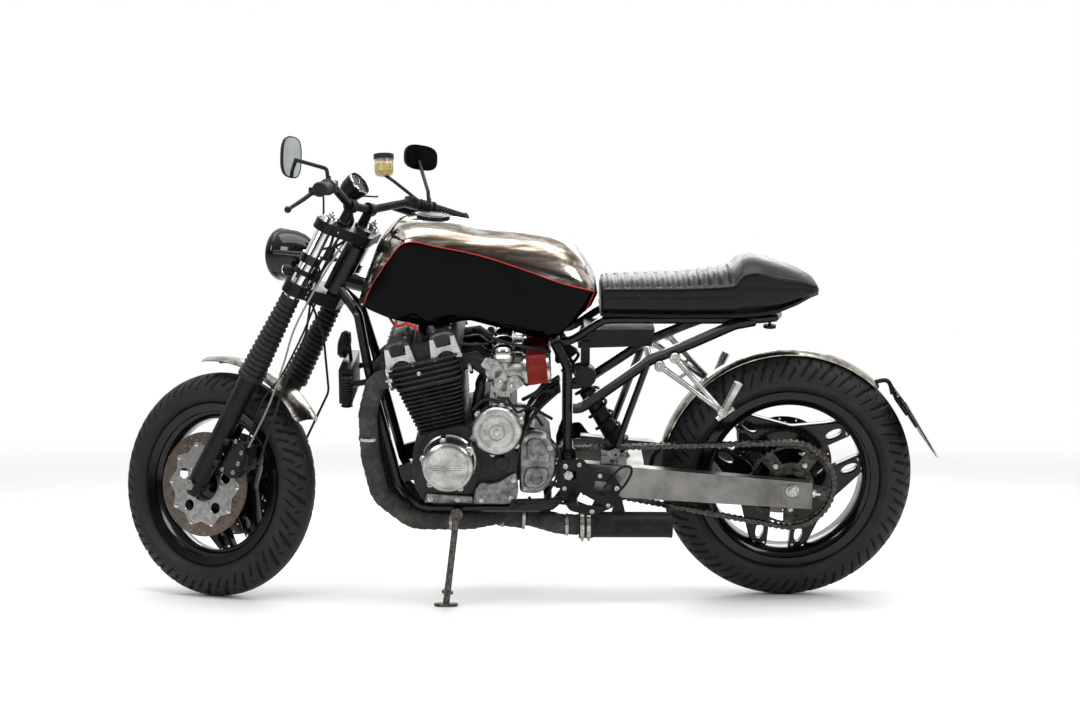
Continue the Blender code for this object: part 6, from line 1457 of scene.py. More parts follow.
CABLES = (
    # name, thickness, material, points along the leg, behind it and across
    (
        "clutch_cable", 2.6, hose_rubber,
        ((0.870, -52, -128), (0.840, -60, -80), (0.740, -20, -62), (0.650, -32, -40), (0.590, -24, -24))
    ),
    (
        "throttle_cable", 2.4, hose_rubber,
        ((0.880, -40, 120), (0.850, -64, 70), (0.760, -22, 48), (0.660, -30, 30), (0.590, -24, 18))
    ),
    (
        "wheel_cable", 2.6, cable_grey,
        (
            (0.760, 44, -60), (0.640, 56, -98), (0.520, 66, -118), (0.420, 84, -116), (0.300, 96, -108),
            (0.170, 88, -92)
        )
    ),
    (
        "caliper_line", 2.8, hose_rubber,
        (
            (0.590, 40, -44), (0.540, 60, -66), (0.480, 74, -82), (0.380, 76, -88), (0.300, 62, -92),
            (0.182, 74, -88)
        )
    ),
    (
        "lamp_loom", 3.4, hose_rubber,
        ((0.700, -42, -20), (0.740, 10, -30), (0.780, 40, -30), (0.720, 60, -16))
    ),
)
for name, thickness, sleeve, points in CABLES:
    path = curve_through([on_fork(reach, back * MM, y * MM) for reach, back, y in points], 10)
    piece(name, round_bar(path, thickness * MM, 12), sleeve, "steering")
strands = []
for thick, points in (
    (3.0, ((0.786, 10, -72), (0.740, 20, -70), (0.680, 18, -76), (0.612, 22, -66))),
    (2.4, ((0.786, 22, -66), (0.735, 30, -62), (0.690, 24, -58), (0.612, 30, -60))),
    (3.4, ((0.786, 32, -60), (0.750, 26, -66), (0.670, 30, -70), (0.612, 12, -70))),
    (2.2, ((0.786, 4, -64), (0.720, 12, -60), (0.650, 4, -66), (0.612, 2, -60))),
    (3.0, ((0.786, 12, 70), (0.730, 22, 68), (0.670, 18, 74), (0.612, 22, 66))),
    (2.6, ((0.786, 26, 62), (0.740, 30, 66), (0.680, 24, 60), (0.612, 30, 62))),
    (2.4, ((0.702, -36, -46), (0.690, -6, -62), (0.676, 14, -66), (0.668, 24, -68))),
    (2.4, ((0.720, -36, 40), (0.705, -6, 58), (0.690, 12, 64), (0.680, 20, 66)))
):
    path = curve_through([on_fork(reach, back * MM, y * MM) for reach, back, y in points], 8)
    strands.append(round_bar(path, thick * MM, 10))
for reach, back, y in ((0.722, 24, -66), (0.652, 20, -72), (0.700, 22, 68)):
    outline = rounded([(-0.009, -0.016), (0.009, -0.016), (0.009, 0.016), (-0.009, 0.016)], 2 * MM)
    strands.append(plate(outline, [], -8 * MM, 8 * MM, 1.2 * MM, fork_plane(reach, back * MM, y * MM)))
piece("wiring_loom", joined(*strands), hose_rubber, "steering")
indicator_shell = []
lens_shapes = []
for side in (-1, 1):
    at = on_leg(0.652, side)
    indicator_shell.append(lathe(in_mm((20, -7), (24, -7), (24, 7), (20, 7)), at, FORK_LINE, 32, ring=True))
    lamp_at = at + Vector((-16 * MM, side * 48 * MM, 0))
    indicator_shell.append(round_bar([at + Vector((0, side * 22 * MM, 0)), lamp_at], 4.5 * MM, 14))
    rows = in_mm((0.5, 16), (7, 15), (12, 9), (13.5, 0), (13.5, -6), (12, -7), (0.5, -7))
    indicator_shell.append(lathe(rows, lamp_at, (1, 0, 0), 28))
    lens_shapes.append(lathe(in_mm((12.4, -6.6), (12, -10), (8, -13), (0.5, -14)), lamp_at, (1, 0, 0), 28))
piece("indicator_cases", joined(*indicator_shell), satin_black, "steering")
amber_lens = glass("amber_lens", "E08A1E", 1.49, 0.10)
piece("indicator_lenses", joined(*lens_shapes), amber_lens, "steering")


# The front guard
# A short blade of bare aluminium, polished but marbled with brown and grey, riveted to a strap
# on each side that runs to its slider.
guard_alloy = metal("marbled_guard_aluminium", "4C463F", "B7B2A8", 30, 0.18, 0.06, 1.0)


def blade(radius, centre, first, last, half, crown, sheet, steps=56):
    """A domed strip that follows a tyre from the first angle to the last."""
    rings = []
    for step in range(steps + 1):
        turn = first + (last - first) * step / steps
        outward = Vector((cos(turn), 0, sin(turn)))
        end_reach = min(step, steps - step) / steps
        wide = half * min(1.0, 0.72 + 0.28 * sqrt(min(1.0, end_reach / 0.05)))
        loop = []
        for number in range(15):
            share = -1 + number / 7
            lift = crown * (1 - abs(share) ** 2.4)
            loop.append(centre + outward * (radius + lift) + Vector((0, share * wide, 0)))
        for number in range(15):
            share = 1 - number / 7
            lift = crown * (1 - abs(share) ** 2.4) + sheet
            loop.append(centre + outward * (radius + lift) + Vector((0, share * wide, 0)))
        rings.append(loop)
    return shell(rings)


guard_shape = blade(0.330, FRONT_AXLE, radians(100), radians(34), 0.056, 14 * MM, 2.2 * MM)
piece("front_blade", guard_shape, guard_alloy, "steering", ("front_guard",), crease=40)
straps = []
for side in (-1, 1):
    at = on_leg(0.300, side)
    inside = at - Vector((0, side * 26.8 * MM, 0))
    elbow = inside - Vector((0, side * 8 * MM, 0))
    hold = on_leg(0.336, side * 0.42)
    straps.append(round_bar(bent([inside, elbow, hold], 5 * MM, 4), 6.5 * MM, 16))
    straps.append(lathe(
        in_mm((5, 0), (4.6, 2), (2.5, 3.4), (0.4, 3.6)), hold + 9 * MM * FORK_LINE, FORK_LINE, 16
    ))
piece("front_guard_straps", joined(*straps), satin_black, "steering")


# The engine
# Four cylinders across the frame under black stoved paint, with thin cast fins slotted at the ends,
# two cam boxes with bright end pieces, turned aluminium covers and a mottled cast sprocket cover.
CRANK = Vector((0.638, 0, 0.428))
TILT_angle = radians(13)
CYLINDER_UP = Vector((-sin(TILT_angle), 0, cos(TILT_angle)))
CYLINDER_BACK = Vector((cos(TILT_angle), 0, sin(TILT_angle)))
PORTS_Y = (-0.155, -0.052, 0.052, 0.155)
PORT_UP, PORT_BACK = 0.2405, 0.0928
CAM_SHAFTS = (-0.059, 0.059)
CAM_UP, CAM_END_Y = 0.297, 0.1865


def on_cylinder(up, back, y):
    return CRANK + up * CYLINDER_UP + back * CYLINDER_BACK + Vector((0, y, 0))


def cylinder_face(up, back, y):
    """A plate square to the crank: its x runs back across the cylinders and its y up them."""
    turn = Matrix((CYLINDER_BACK, CYLINDER_UP, Vector((0, -1, 0)))).transposed().to_4x4()
    return Matrix.Translation(on_cylinder(up, back, y)) @ turn


def fin_loop(up, half, wide, inset, slots):
    """One level of a finned casting, with its corners rounded and slots down the end faces."""
    half, wide = half - inset, wide - inset
    radius = max(18 * MM - inset * 0.4, 4 * MM)
    quarter = []
    for step in range(6):
        turn = pi / 2 * step / 5
        quarter.append((half - radius + radius * sin(turn), wide - radius + radius * cos(turn)))
    slot_depth = max(slots - inset, 0.0)
    notches = []
    for middle in (-0.021, 0.021):
        for offset, deep in ((-3 * MM, 0), (-2.4 * MM, slot_depth), (2.4 * MM, slot_depth), (3 * MM, 0)):
            notches.append((middle + offset, wide - deep))
    top_side = notches + quarter
    front_side = [(back, -y) for back, y in reversed(quarter)]
    low_side = [(back, -y) for back, y in reversed(notches)]
    other = [(-back, -y) for back, y in quarter]
    other_end = [(-back, y) for back, y in reversed(quarter)]
    return [on_cylinder(up, back, y) for back, y in top_side + front_side + low_side + other + other_end]


def finned_casting(start, height, depths, half_widths, fins, fin_depth, slots):
    pitch = height / (fins - 1 + 0.34)
    fin = pitch * 0.34
    rings = []
    for number in range(fins):
        low = number * pitch
        levels = [
            (low, 1.5 * MM), (low + fin * 0.25, 0.3 * MM), (low + fin * 0.75, 0.3 * MM),
            (low + fin, 1.5 * MM)
        ]
        if number < fins - 1:
            levels += [(low + fin + 0.6 * MM, fin_depth), (low + pitch - 0.6 * MM, fin_depth)]
        for up, inset in levels:
            share = up / height
            half = (depths[0] + share * (depths[1] - depths[0])) / 2
            wide = half_widths[0] + share * (half_widths[1] - half_widths[0])
            rings.append(fin_loop(start + up, half, wide, inset, slots))
    return shell(rings)


engine_black = enamel("stoved_engine_black", "1D1B1E", "393639", 0.42, 0.0)
block = finned_casting(0.078, 0.134, (0.125, 0.172), (0.168, 0.205), 12, 14 * MM, 10 * MM)
tunnels = []
for y in (-0.103, 0.0, 0.103):
    for back in (-1, 1):
        tunnels.append(lathe(
            [(6 * MM, 0), (6 * MM, 0.128)], on_cylinder(0.081, back * 0.056, y),
            CYLINDER_UP + 0.16 * back * CYLINDER_BACK, 12
        ))
piece(
    "cylinder_fins", joined(block, *tunnels), engine_black, "frame", ("cylinder_block",),
    crease=35
)

head = [finned_casting(0.2123, 0.062, (0.172, 0.185), (0.205, 0.205), 5, 14 * MM, 0.0)]
for y in PORTS_Y:
    for way in (-1, 1):
        root = on_cylinder(PORT_UP, way * 0.070, y)
        rows = in_mm((30, 0), (27, 8), (26, 18), (31, 19), (31, 22), (24, 22.4), (0.5, 22.4))
        head.append(lathe(rows, root, way * CYLINDER_BACK, 28))
cam_boxes = []
for back in CAM_SHAFTS:
    cam_outline = [
        (-0.037, -0.030), (0.037, -0.030), (0.038, 0.004), (0.032, 0.028), (0.018, 0.037), (-0.018, 0.037),
        (-0.032, 0.028), (-0.038, 0.004)
    ]
    cam_boxes.append(plate(
        rounded(cam_outline, 8 * MM), [], -0.182, 0.182, 3 * MM, cylinder_face(CAM_UP, back, 0)
    ))
    for y in (-0.128, -0.078, -0.026, 0.026, 0.078, 0.128):
        rib_at = on_cylinder(0.331, back - 0.026, y)
        cam_boxes.append(round_bar([rib_at, rib_at + 0.052 * CYLINDER_BACK], 3.2 * MM, 10))
bridge_outline = [(-0.070, -0.034), (0.070, -0.034), (0.056, 0.014), (-0.056, 0.014)]
head.append(plate(bridge_outline, [], -0.176, 0.176, 2 * MM, cylinder_face(0.300, 0, 0)))
piece(
    "cylinder_head_casting", joined(*head), engine_black, "frame", ("cylinder_head",),
    crease=35
)
weathered_alloy = metal("weathered_cam_aluminium", "2E2C2E", "6A686B", 18, 0.46, 0.2, 1.0)
piece("cam_boxes", joined(*cam_boxes), weathered_alloy, "frame", crease=35)

cast_alloy = metal("satin_cast_aluminium", "41403E", "868583", 16, 0.42, 0.25, 1.1)
turned_alloy = metal("turned_aluminium", "7F7F7D", "BDBDBA", 34, 0.24, 0.06, 0.6)
ears = []
plugs = []
head_bolts = []
for side in (-1, 1):
    for back in CAM_SHAFTS:
        ear = [(-0.041, -0.034)]
        for step in range(13):
            turn = pi - pi * step / 12
            ear.append((0.024 * cos(turn), -0.034 + 0.023 * sin(turn)))
        ear += [
            (0.041, -0.034), (0.033, 0.026), (0.021, 0.026), (0.018, 0.003), (-0.018, 0.003),
            (-0.021, 0.026), (-0.033, 0.026)
        ]
        ears.append(plate(
            ear, [], -5 * MM, 4 * MM, 1.4 * MM, cylinder_face(CAM_UP, back, side * CAM_END_Y)
        ))
        window = rounded([(-0.015, 0.006), (0.015, 0.006), (0.017, 0.028), (-0.017, 0.028)], 3 * MM)
        plugs.append(plate(
            window, [], -3 * MM, 2 * MM, 0.8 * MM, cylinder_face(CAM_UP, back, side * CAM_END_Y)
        ))
        rows = in_mm((18.6, 0), (18.6, 6), (16.5, 8), (0.5, 8.4))
        plugs.append(lathe(rows, on_cylinder(0.263, back, side * 0.1835), (0, side, 0), 36))
        for across in (-0.030, 0.030):
            head_bolts.append(lathe(
                in_mm((5.2, 0), (5.2, 5), (4, 6), (0.4, 6)),
                on_cylinder(0.270, back + across, side * 0.190), (0, side, 0), 6
            ))
    head_bolts.append(lathe(
        in_mm((6, 0), (6, 7), (5, 8), (0.4, 8)), on_cylinder(0.247, -0.018, side * 0.201), (0, side, 0), 6
    ))
for back in CAM_SHAFTS:
    for y in (-0.150, -0.100, -0.050, 0.0, 0.050, 0.100, 0.150):
        for across in (-0.022, 0.022):
            head_bolts.append(lathe(
                in_mm((4, 0), (4, 4), (2.6, 4.6), (0.4, 4)), on_cylinder(0.333, back + across, y),
                CYLINDER_UP, 12
            ))
piece("cam_end_pieces", joined(*ears), turned_alloy, "frame")
piece("cam_end_plugs", joined(*plugs), engine_black, "frame")
piece("head_bolts", joined(*head_bolts), bolt_steel, "frame")

leads = []
caps = []
for number, y in enumerate(PORTS_Y):
    cap_foot = on_cylinder(0.300, 0.0, y)
    rows = in_mm((11, 0), (11, 12), (9, 15), (9, 34), (6.5, 38), (5, 46), (0.4, 46))
    caps.append(lathe(rows, cap_foot, CYLINDER_UP, 20))
    start = cap_foot + 44 * MM * CYLINDER_UP
    middle = Vector((0.500, y * 0.75, 0.772))
    end = Vector((0.462, 0.012 * (number - 1.5), 0.800))
    leads.append(round_bar(
        curve_through([start, start + 26 * MM * CYLINDER_UP - 18 * MM * CYLINDER_BACK, middle, end], 12),
        3.6 * MM, 14
    ))
piece("plug_caps", joined(*caps), grip_rubber, "frame")
lead_red = rubber("red_silicone_lead", "A01710", "D23A2C", 5, 0.34)
piece("plug_leads", joined(*leads), lead_red, "frame")

# The crankcase is painted black and its lower half and covers are bare metal.
dress("crankcase", engine_black, 3 * MM)
cover_bolts = []
for side, word in SIDES:
    face_y = side * 0.1703
    rows = in_mm(
        (0.5, 0), (72, 0), (72, 17), (71, 20), (67, 23), (66, 27), (66, 72), (64, 77.5), (59, 81),
        (55.5, 82.4), (54.4, 81.4), (53, 81.4), (52, 83.4), (30, 84.6), (0.5, 84.8)
    )
    shapes = [lathe(rows, CRANK + Vector((0, face_y, 0)), (0, side, 0), 96)]
    for number, turn in enumerate((0.62, 1.75, 2.85, 3.95, 5.2)):
        spot = CRANK + Vector((67 * MM * cos(turn), side * 0.2360, 67 * MM * sin(turn)))
        size = 13 * MM if number == 0 else 8.5 * MM
        rows = [
            (size, -44 * MM), (size, 0), (size - 1.6 * MM, 2 * MM), (size * 0.66, 2 * MM),
            (size * 0.62, 0.4 * MM), (0.4 * MM, 0.4 * MM)
        ]
        shapes.append(lathe(rows, spot, (0, side, 0), 28))
        cover_bolts.append(lathe(
            in_mm((5, 0), (5, 4), (4.2, 5), (2.6, 5), (2.6, 2), (0.3, 2)), spot, (0, side, 0), 20
        ))
    for step in range(3):
        bar_at = CRANK + Vector((0, side * 0.2548, (-6 + 6 * step) * MM))
        reach = 38 * MM if step != 1 else 44 * MM
        shapes.append(round_bar(
            [bar_at - Vector((reach, 0, 0)), bar_at + Vector((reach, 0, 0))], 0.9 * MM, 8
        ))
    piece(
        "crank_cover_turned_" + word, joined(*shapes), turned_alloy, "frame",
        ("crank_cover_" + word,), crease=28
    )

GENERATOR = Vector((0.763, -0.164, 0.509))
rows = in_mm(
    (66, 0), (66, 12), (64.4, 14), (64.4, 30.4), (63, 33), (58, 36.8), (50, 38.0), (46, 38.2), (44.6, 36.8),
    (42, 36.8), (41, 38.4), (22, 39.6), (20.6, 37.8), (18.6, 37.8), (17.4, 40), (0.5, 40.6)
)
shapes = [lathe(rows, GENERATOR, (0, -1, 0), 96)]
spiral = []
for step in range(60):
    turn = step / 59 * 2.4 * pi
    reach = (5 + 9 * step / 59) * MM
    spiral.append(GENERATOR + Vector((reach * cos(turn), -40.4 * MM, reach * sin(turn))))
shapes.append(round_bar(spiral, 1.4 * MM, 8))
for number in range(6):
    turn = 0.35 + 2 * pi * number / 6
    spot = GENERATOR + Vector((65 * MM * cos(turn), -18 * MM, 65 * MM * sin(turn)))
    shapes.append(lathe(in_mm((8.5, -18), (8.5, 1), (7, 2.4), (0.4, 2.4)), spot, (0, -1, 0), 24))
    cover_bolts.append(lathe(in_mm((5, 2), (5, 6), (4.2, 7), (0.4, 7)), spot, (0, -1, 0), 6))
piece("generator_cover", joined(*shapes), turned_alloy, "frame", crease=28)

cover_outline = [
    (0.8205, 0.330), (0.872, 0.326), (0.897, 0.350), (0.914, 0.378), (0.917, 0.440), (0.890, 0.490),
    (0.850, 0.495), (0.8205, 0.480)
]


def side_plate(outline, holes, y_low, y_high, edge, corner):
    """A casting drawn in the motorcycle's x and z, between two places across."""
    middle = Vector((
        sum(x for x, _ in outline) / len(outline), 0, sum(z for _, z in outline) / len(outline)
    ))
    flat = [(x - middle.x, z - middle.z) for x, z in outline]
    cut = [[(x - middle.x, z - middle.z) for x, z in hole] for hole in holes]
    half = (y_high - y_low) / 2
    return plate(
        rounded(flat, corner), cut, -half, half, edge, upright(middle.x, middle.z, (y_low + y_high) / 2)
    )


mottled_alloy = metal("mottled_cast_alloy", "4A4B4C", "8F9090", 26, 0.46, 0.35, 1.6)
shapes = [side_plate(cover_outline, [], -0.150, -0.1165, 5 * MM, 14 * MM)]
shapes.append(side_plate(
    [(0.836, 0.343), (0.880, 0.343), (0.898, 0.372), (0.896, 0.398), (0.842, 0.402), (0.828, 0.372)], [],
    -0.156, -0.140, 4 * MM, 16 * MM
))
shapes.append(side_plate(
    [(0.842, 0.418), (0.902, 0.410), (0.900, 0.436), (0.882, 0.474), (0.856, 0.482), (0.838, 0.470)], [],
    -0.155, -0.140, 4 * MM, 12 * MM
))
shapes.append(lathe(
    in_mm((15, 0), (15, 6), (12, 8), (11, 6.4), (0.4, 6.8)), Vector((0.866, -0.153, 0.370)), (0, -1, 0), 32
))
piece(
    "sprocket_cover_cast", joined(*shapes), mottled_alloy, "frame", ("sprocket_cover",),
    crease=34
)
lower_case = [
    (0.700, 0.312), (0.812, 0.312), (0.8185, 0.350), (0.812, 0.398), (0.790, 0.386), (0.770, 0.372),
    (0.742, 0.366), (0.722, 0.372), (0.706, 0.352)
]
shapes = [side_plate(lower_case, [], -0.190, -0.1695, 3 * MM, 7 * MM)]
shapes.append(side_plate(
    [(0.572, 0.312), (0.700, 0.312), (0.700, 0.330), (0.580, 0.338)], [], -0.182, -0.1695, 2.5 * MM, 6 * MM
))
piece("lower_case_cast", joined(*shapes), cast_alloy, "frame", crease=34)
shapes = [side_plate(
    [(0.770, 0.392), (0.8145, 0.392), (0.816, 0.446), (0.800, 0.470), (0.782, 0.452)], [], -0.180, -0.1695,
    3 * MM, 7 * MM
)]
shapes.append(lathe(
    in_mm((20, 0), (20, 14), (16, 18), (0.5, 18)), Vector((0.775, -0.1695, 0.418)), (0, -1, 0), 32
))
shapes.append(side_plate(
    [
        (0.566, 0.338), (0.700, 0.332), (0.716, 0.378), (0.726, 0.470), (0.700, 0.512), (0.672, 0.520),
        (0.584, 0.500), (0.556, 0.440), (0.552, 0.370)
    ],
    [], -0.176, -0.1695, 2.5 * MM, 20 * MM
))
piece("case_black_parts", joined(*shapes), engine_black, "frame", crease=34)
for x, y, z in (
    (0.588, -0.182, 0.322), (0.660, -0.182, 0.320), (0.722, -0.190, 0.322), (0.800, -0.190, 0.326),
    (0.806, -0.190, 0.376), (0.834, -0.150, 0.340), (0.900, -0.150, 0.452), (0.836, -0.150, 0.476),
    (0.884, -0.150, 0.484)
):
    rows = in_mm((7, -2), (7, 0.6), (4.6, 1), (4.6, 5), (3.8, 6), (0.4, 6))
    cover_bolts.append(lathe(rows, Vector((x, y, z)), (0, -1, 0), 16))
piece("cover_bolts", joined(*cover_bolts), bolt_steel, "frame")


# The carburettors and their filters
# Four die-cast zinc carburettors with bright domed tops and cast ribs, on black rubber stubs,
# with pleated red filters clamped on by bright rims. Black hoses and cables hang round them.
die_cast = metal("die_cast_zinc_alloy", "6A6A68", "A9A9A6", 11, 0.40, 0.22, 0.9)
dome_polish = metal("polished_carburettor_top", "B5B5B2", "E9E9E6", 40, 0.12, 0.03)
filter_red = rubber("red_filter_gauze", "5E120D", "94251B", 2.2, 0.62)
PLEATS = 44
CHOKE_Z = 0.657
bodies, domes, stubs, pods, rims = [], [], [], [], []
for y in PORTS_Y:
    port = on_cylinder(PORT_UP, PORT_BACK, y)
    stubs.append(round_bar(
        [port, port + 0.030 * CYLINDER_BACK, Vector((0.750, y, CHOKE_Z))], [22 * MM, 22 * MM, 21 * MM], 32
    ))
    for share in (0.25, 0.85):
        at = port.lerp(Vector((0.750, y, CHOKE_Z)), share)
        rims.append(lathe(
            in_mm((22.6, -4), (23.6, -4), (23.6, 4), (22.6, 4)), at, CYLINDER_BACK, 36, ring=True
        ))
    bodies.append(lathe(
        in_mm((24, 0), (26, 4), (26, 88), (30, 90), (30, 96), (0.5, 96)), Vector((0.738, y, CHOKE_Z)),
        (1, 0, 0.03), 36
    ))
    barrel_rows = in_mm(
        (0.5, 0), (14, 0), (22, 6), (24, 12), (24, 30), (28, 33), (28, 37), (25, 40), (25, 96), (30, 100),
        (30, 107), (28, 109)
    )
    bodies.append(lathe(barrel_rows, Vector((0.778, y, 0.590)), (0, 0, 1), 40))
    dome_rows = in_mm(
        (30, 0), (30, 5), (28.6, 6.5), (27, 8), (26, 18), (23, 25), (16, 29), (8, 30.6), (0.5, 31)
    )
    domes.append(lathe(dome_rows, Vector((0.778, y, 0.6985)), (0, 0, 1), 48))
    for turn in (0.8, 2.4, 3.9, 5.5):
        lug = Vector((0.778 + 26 * MM * cos(turn), y + 26 * MM * sin(turn), 0.690))
        bodies.append(lathe(in_mm((5.5, 0), (5.5, 14), (0.4, 14)), lug, (0, 0, 1), 14))
        rims.append(lathe(in_mm((3.4, 13.6), (3.4, 17), (0.4, 17.6)), lug, (0, 0, 1), 12))
        foot = Vector((0.778 + 21 * MM * cos(turn), y + 21 * MM * sin(turn), 0.596))
        bodies.append(lathe(in_mm((4.5, 0), (4.5, 26), (0.4, 26)), foot, (0, 0, 1), 12))
    pod_at = Vector((0.8352, y, 0.6610))
    pod_way = Vector((0.0648, 0, 0.006)).normalized()
    _, first_way, second_way = axes_about(pod_way)
    pod_rings = []
    for reach, size in ((0, 38.8), (3, 39.4), (18, 39.0), (36, 37.6), (54, 36.4), (60, 36.0)):
        loop = []
        for step in range(PLEATS * 4):
            turn = 2 * pi * step / (PLEATS * 4)
            fold = (0.0, -0.7, -2.6, -0.7)[step % 4] * MM
            outward = cos(turn) * first_way + sin(turn) * second_way
            loop.append(pod_at + reach * MM * pod_way + (size * MM + fold) * outward)
        pod_rings.append(loop)
    pods.append(shell(pod_rings))
    rims.append(lathe(
        in_mm((34, -7), (36, -7), (40.6, -1), (40.6, 5), (39, 6), (34, 5)), pod_at, pod_way, 56, ring=True
    ))
    rims.append(lathe(
        in_mm((37.6, 57), (37.6, 63), (36, 65), (30, 65.6), (28, 63.6), (0.5, 63.6)), pod_at, pod_way, 56
    ))
for z in (0.606, 0.640, 0.712):
    for x in (0.764, 0.800):
        bodies.append(round_bar([(x, -0.160, z), (x, 0.160, z)], 4.2 * MM, 12))
link = [(-0.018, -0.030), (0.016, -0.028), (0.022, 0.004), (0.010, 0.030), (-0.014, 0.028)]
for side in (-1, 1):
    for x, z, turn in ((0.772, 0.640, 0.0), (0.752, 0.676, 0.9), (0.800, 0.628, 2.2)):
        spin = Matrix.Rotation(turn, 4, "Z")
        bodies.append(plate(
            rounded(link, 5 * MM), [disc(5 * MM, 14)], -2 * MM, 2 * MM, 0.6 * MM,
            upright(x, z, side * 0.183) @ spin
        ))
        rims.append(lathe(
            in_mm((5, -4), (5, 6), (4, 7), (0.4, 7)), Vector((x, side * 0.184, z)), (0, side, 0), 6
        ))
piece("carburettor_bodies", joined(*bodies), die_cast, "frame", ("carburettors",), crease=34)
piece("carburettor_tops", joined(*domes), dome_polish, "frame", crease=40)
piece("inlet_stubs", joined(*stubs), grip_rubber, "frame")
piece("filter_pods", joined(*pods), filter_red, "frame", crease=25)
piece("filter_rims", joined(*rims), turned_alloy, "frame", crease=34)
loose = []
for points, size in (
    (
        (
            (0.700, -0.170, 0.560), (0.735, -0.178, 0.590), (0.790, -0.176, 0.575), (0.850, -0.150, 0.560),
            (0.905, -0.110, 0.520)
        ),
        4.2
    ),
    (
        (
            (0.790, -0.165, 0.590), (0.815, -0.172, 0.555), (0.845, -0.165, 0.570), (0.880, -0.140, 0.600),
            (0.925, -0.100, 0.590)
        ),
        3.4
    ),
    (
        (
            (0.880, -0.100, 0.500), (0.860, -0.165, 0.540), (0.835, -0.172, 0.505), (0.818, -0.176, 0.450),
            (0.812, -0.176, 0.410)
        ),
        4.0
    ),
    (((0.560, -0.120, 0.745), (0.620, -0.176, 0.742), (0.690, -0.176, 0.735), (0.740, -0.150, 0.730)), 3.6),
    (((0.700, -0.080, 0.752), (0.760, -0.150, 0.742), (0.830, -0.160, 0.725), (0.900, -0.110, 0.700)), 4.4),
    (((0.900, -0.110, 0.640), (0.870, -0.160, 0.610), (0.848, -0.165, 0.596), (0.830, -0.140, 0.580)), 5.0),
    (((0.900, -0.118, 0.470), (0.925, -0.150, 0.440), (0.918, -0.160, 0.380), (0.890, -0.160, 0.320)), 3.0)
):
    loose.append(round_bar(curve_through(points, 10), size * MM, 12))
for number in range(7):
    y = -0.145 + 0.034 * number
    sway = 0.016 * sin(2.1 * number)
    behind_block = (
        (0.702, y, 0.500), (0.708 + sway / 2, y + 0.008, 0.545), (0.716 - sway / 2, y - 0.006, 0.590),
        (0.724 + sway / 3, y, 0.630)
    )
    loose.append(round_bar(curve_through(behind_block, 8), 7.5 * MM, 12))
    over_case = (
        (0.836, y, 0.500), (0.858 + sway / 2, y * 0.9, 0.536), (0.886 + sway / 3, y * 0.85, 0.566 + sway),
        (0.925, y * 0.7, 0.596)
    )
    loose.append(round_bar(curve_through(over_case, 8), 5.5 * MM, 12))
piece("engine_hoses", joined(*loose), hose_rubber, "frame")


# The exhaust
# Steel pipes wound with glass-fibre wrap, each turn lapping the last, scorched brown near the
# engine, with steel bands, and a short satin black silencer clamped to the end.
wrap_cloth, tree, shader, place = new_surface("scorched_glass_wrap")
weave_across = add_node(
    tree, "TexWave", {"bands_direction": "DIAGONAL"},
    {"Vector": place, "Scale": 1 / (9 * MM), "Distortion": 0.6}
)
weave_along = add_node(
    tree, "TexWave", {"bands_direction": "X"}, {"Vector": place, "Scale": 1 / (11 * MM), "Distortion": 0.8}
)
weave = add_node(
    tree, "Math", {"operation": "MULTIPLY"}, {0: weave_across.outputs["Fac"], 1: weave_along.outputs["Fac"]}
)
scorch = add_node(
    tree, "TexNoise", inputs={"Vector": place, "Scale": 1 / (45 * MM), "Detail": 8.0, "Roughness": 0.7}
)
scorch_tone = add_node(
    tree, "ValToRGB", inputs={"Fac": scorch.outputs["Fac"]},
    stops=((0.34, "1C1B1A"), (0.52, "343230"), (0.72, "54504C"))
)
weave_bump = add_node(
    tree, "Bump", inputs={"Height": weave.outputs[0], "Strength": 0.55, "Distance": 0.7 * MM}
)
feed(
    tree, shader,
    {"Roughness": 0.92, "Base Color": scorch_tone.outputs["Color"], "Normal": weave_bump.outputs["Normal"]}
)
WRAP_TURN = 26 * MM
WRAP_STEP = 2.6 * MM
PIPES_Z = 0.2465


def evenly(path, step):
    """The same path with points at even steps."""
    spots = [path[0]]
    left = step
    for here, there in zip(path, path[1:]):
        span = (there - here).length
        while left <= span:
            spots.append(here.lerp(there, left / span))
            left += step
        left -= span
    return spots


def wrapped_pipe(corners, radius, bend, sides=26):
    """A pipe under wrap: each turn climbs to its lapped edge and steps down."""
    spots = evenly(bent([Vector(c) for c in corners], bend, 10), WRAP_STEP)
    rings = []
    side_way = None
    for number, spot in enumerate(spots):
        ahead, behind = spots[min(number + 1, len(spots) - 1)], spots[max(number - 1, 0)]
        way = (ahead - behind).normalized()
        side_way = way.orthogonal() if side_way is None else side_way - side_way.dot(way) * way
        side_way.normalize()
        other = way.cross(side_way)
        loop = []
        for step in range(sides):
            turn = 2 * pi * step / sides
            lap = (number * WRAP_STEP / WRAP_TURN - step / sides) % 1.0
            slack = 0.6 * MM * noise.noise(spot * 55 + Vector((0, 0, step * 0.7)))
            size = radius - 1.9 * MM + 2.2 * MM * lap ** 0.7 + slack
            loop.append(spot + size * (cos(turn) * side_way + sin(turn) * other))
        rings.append(loop)
    return shell(rings)


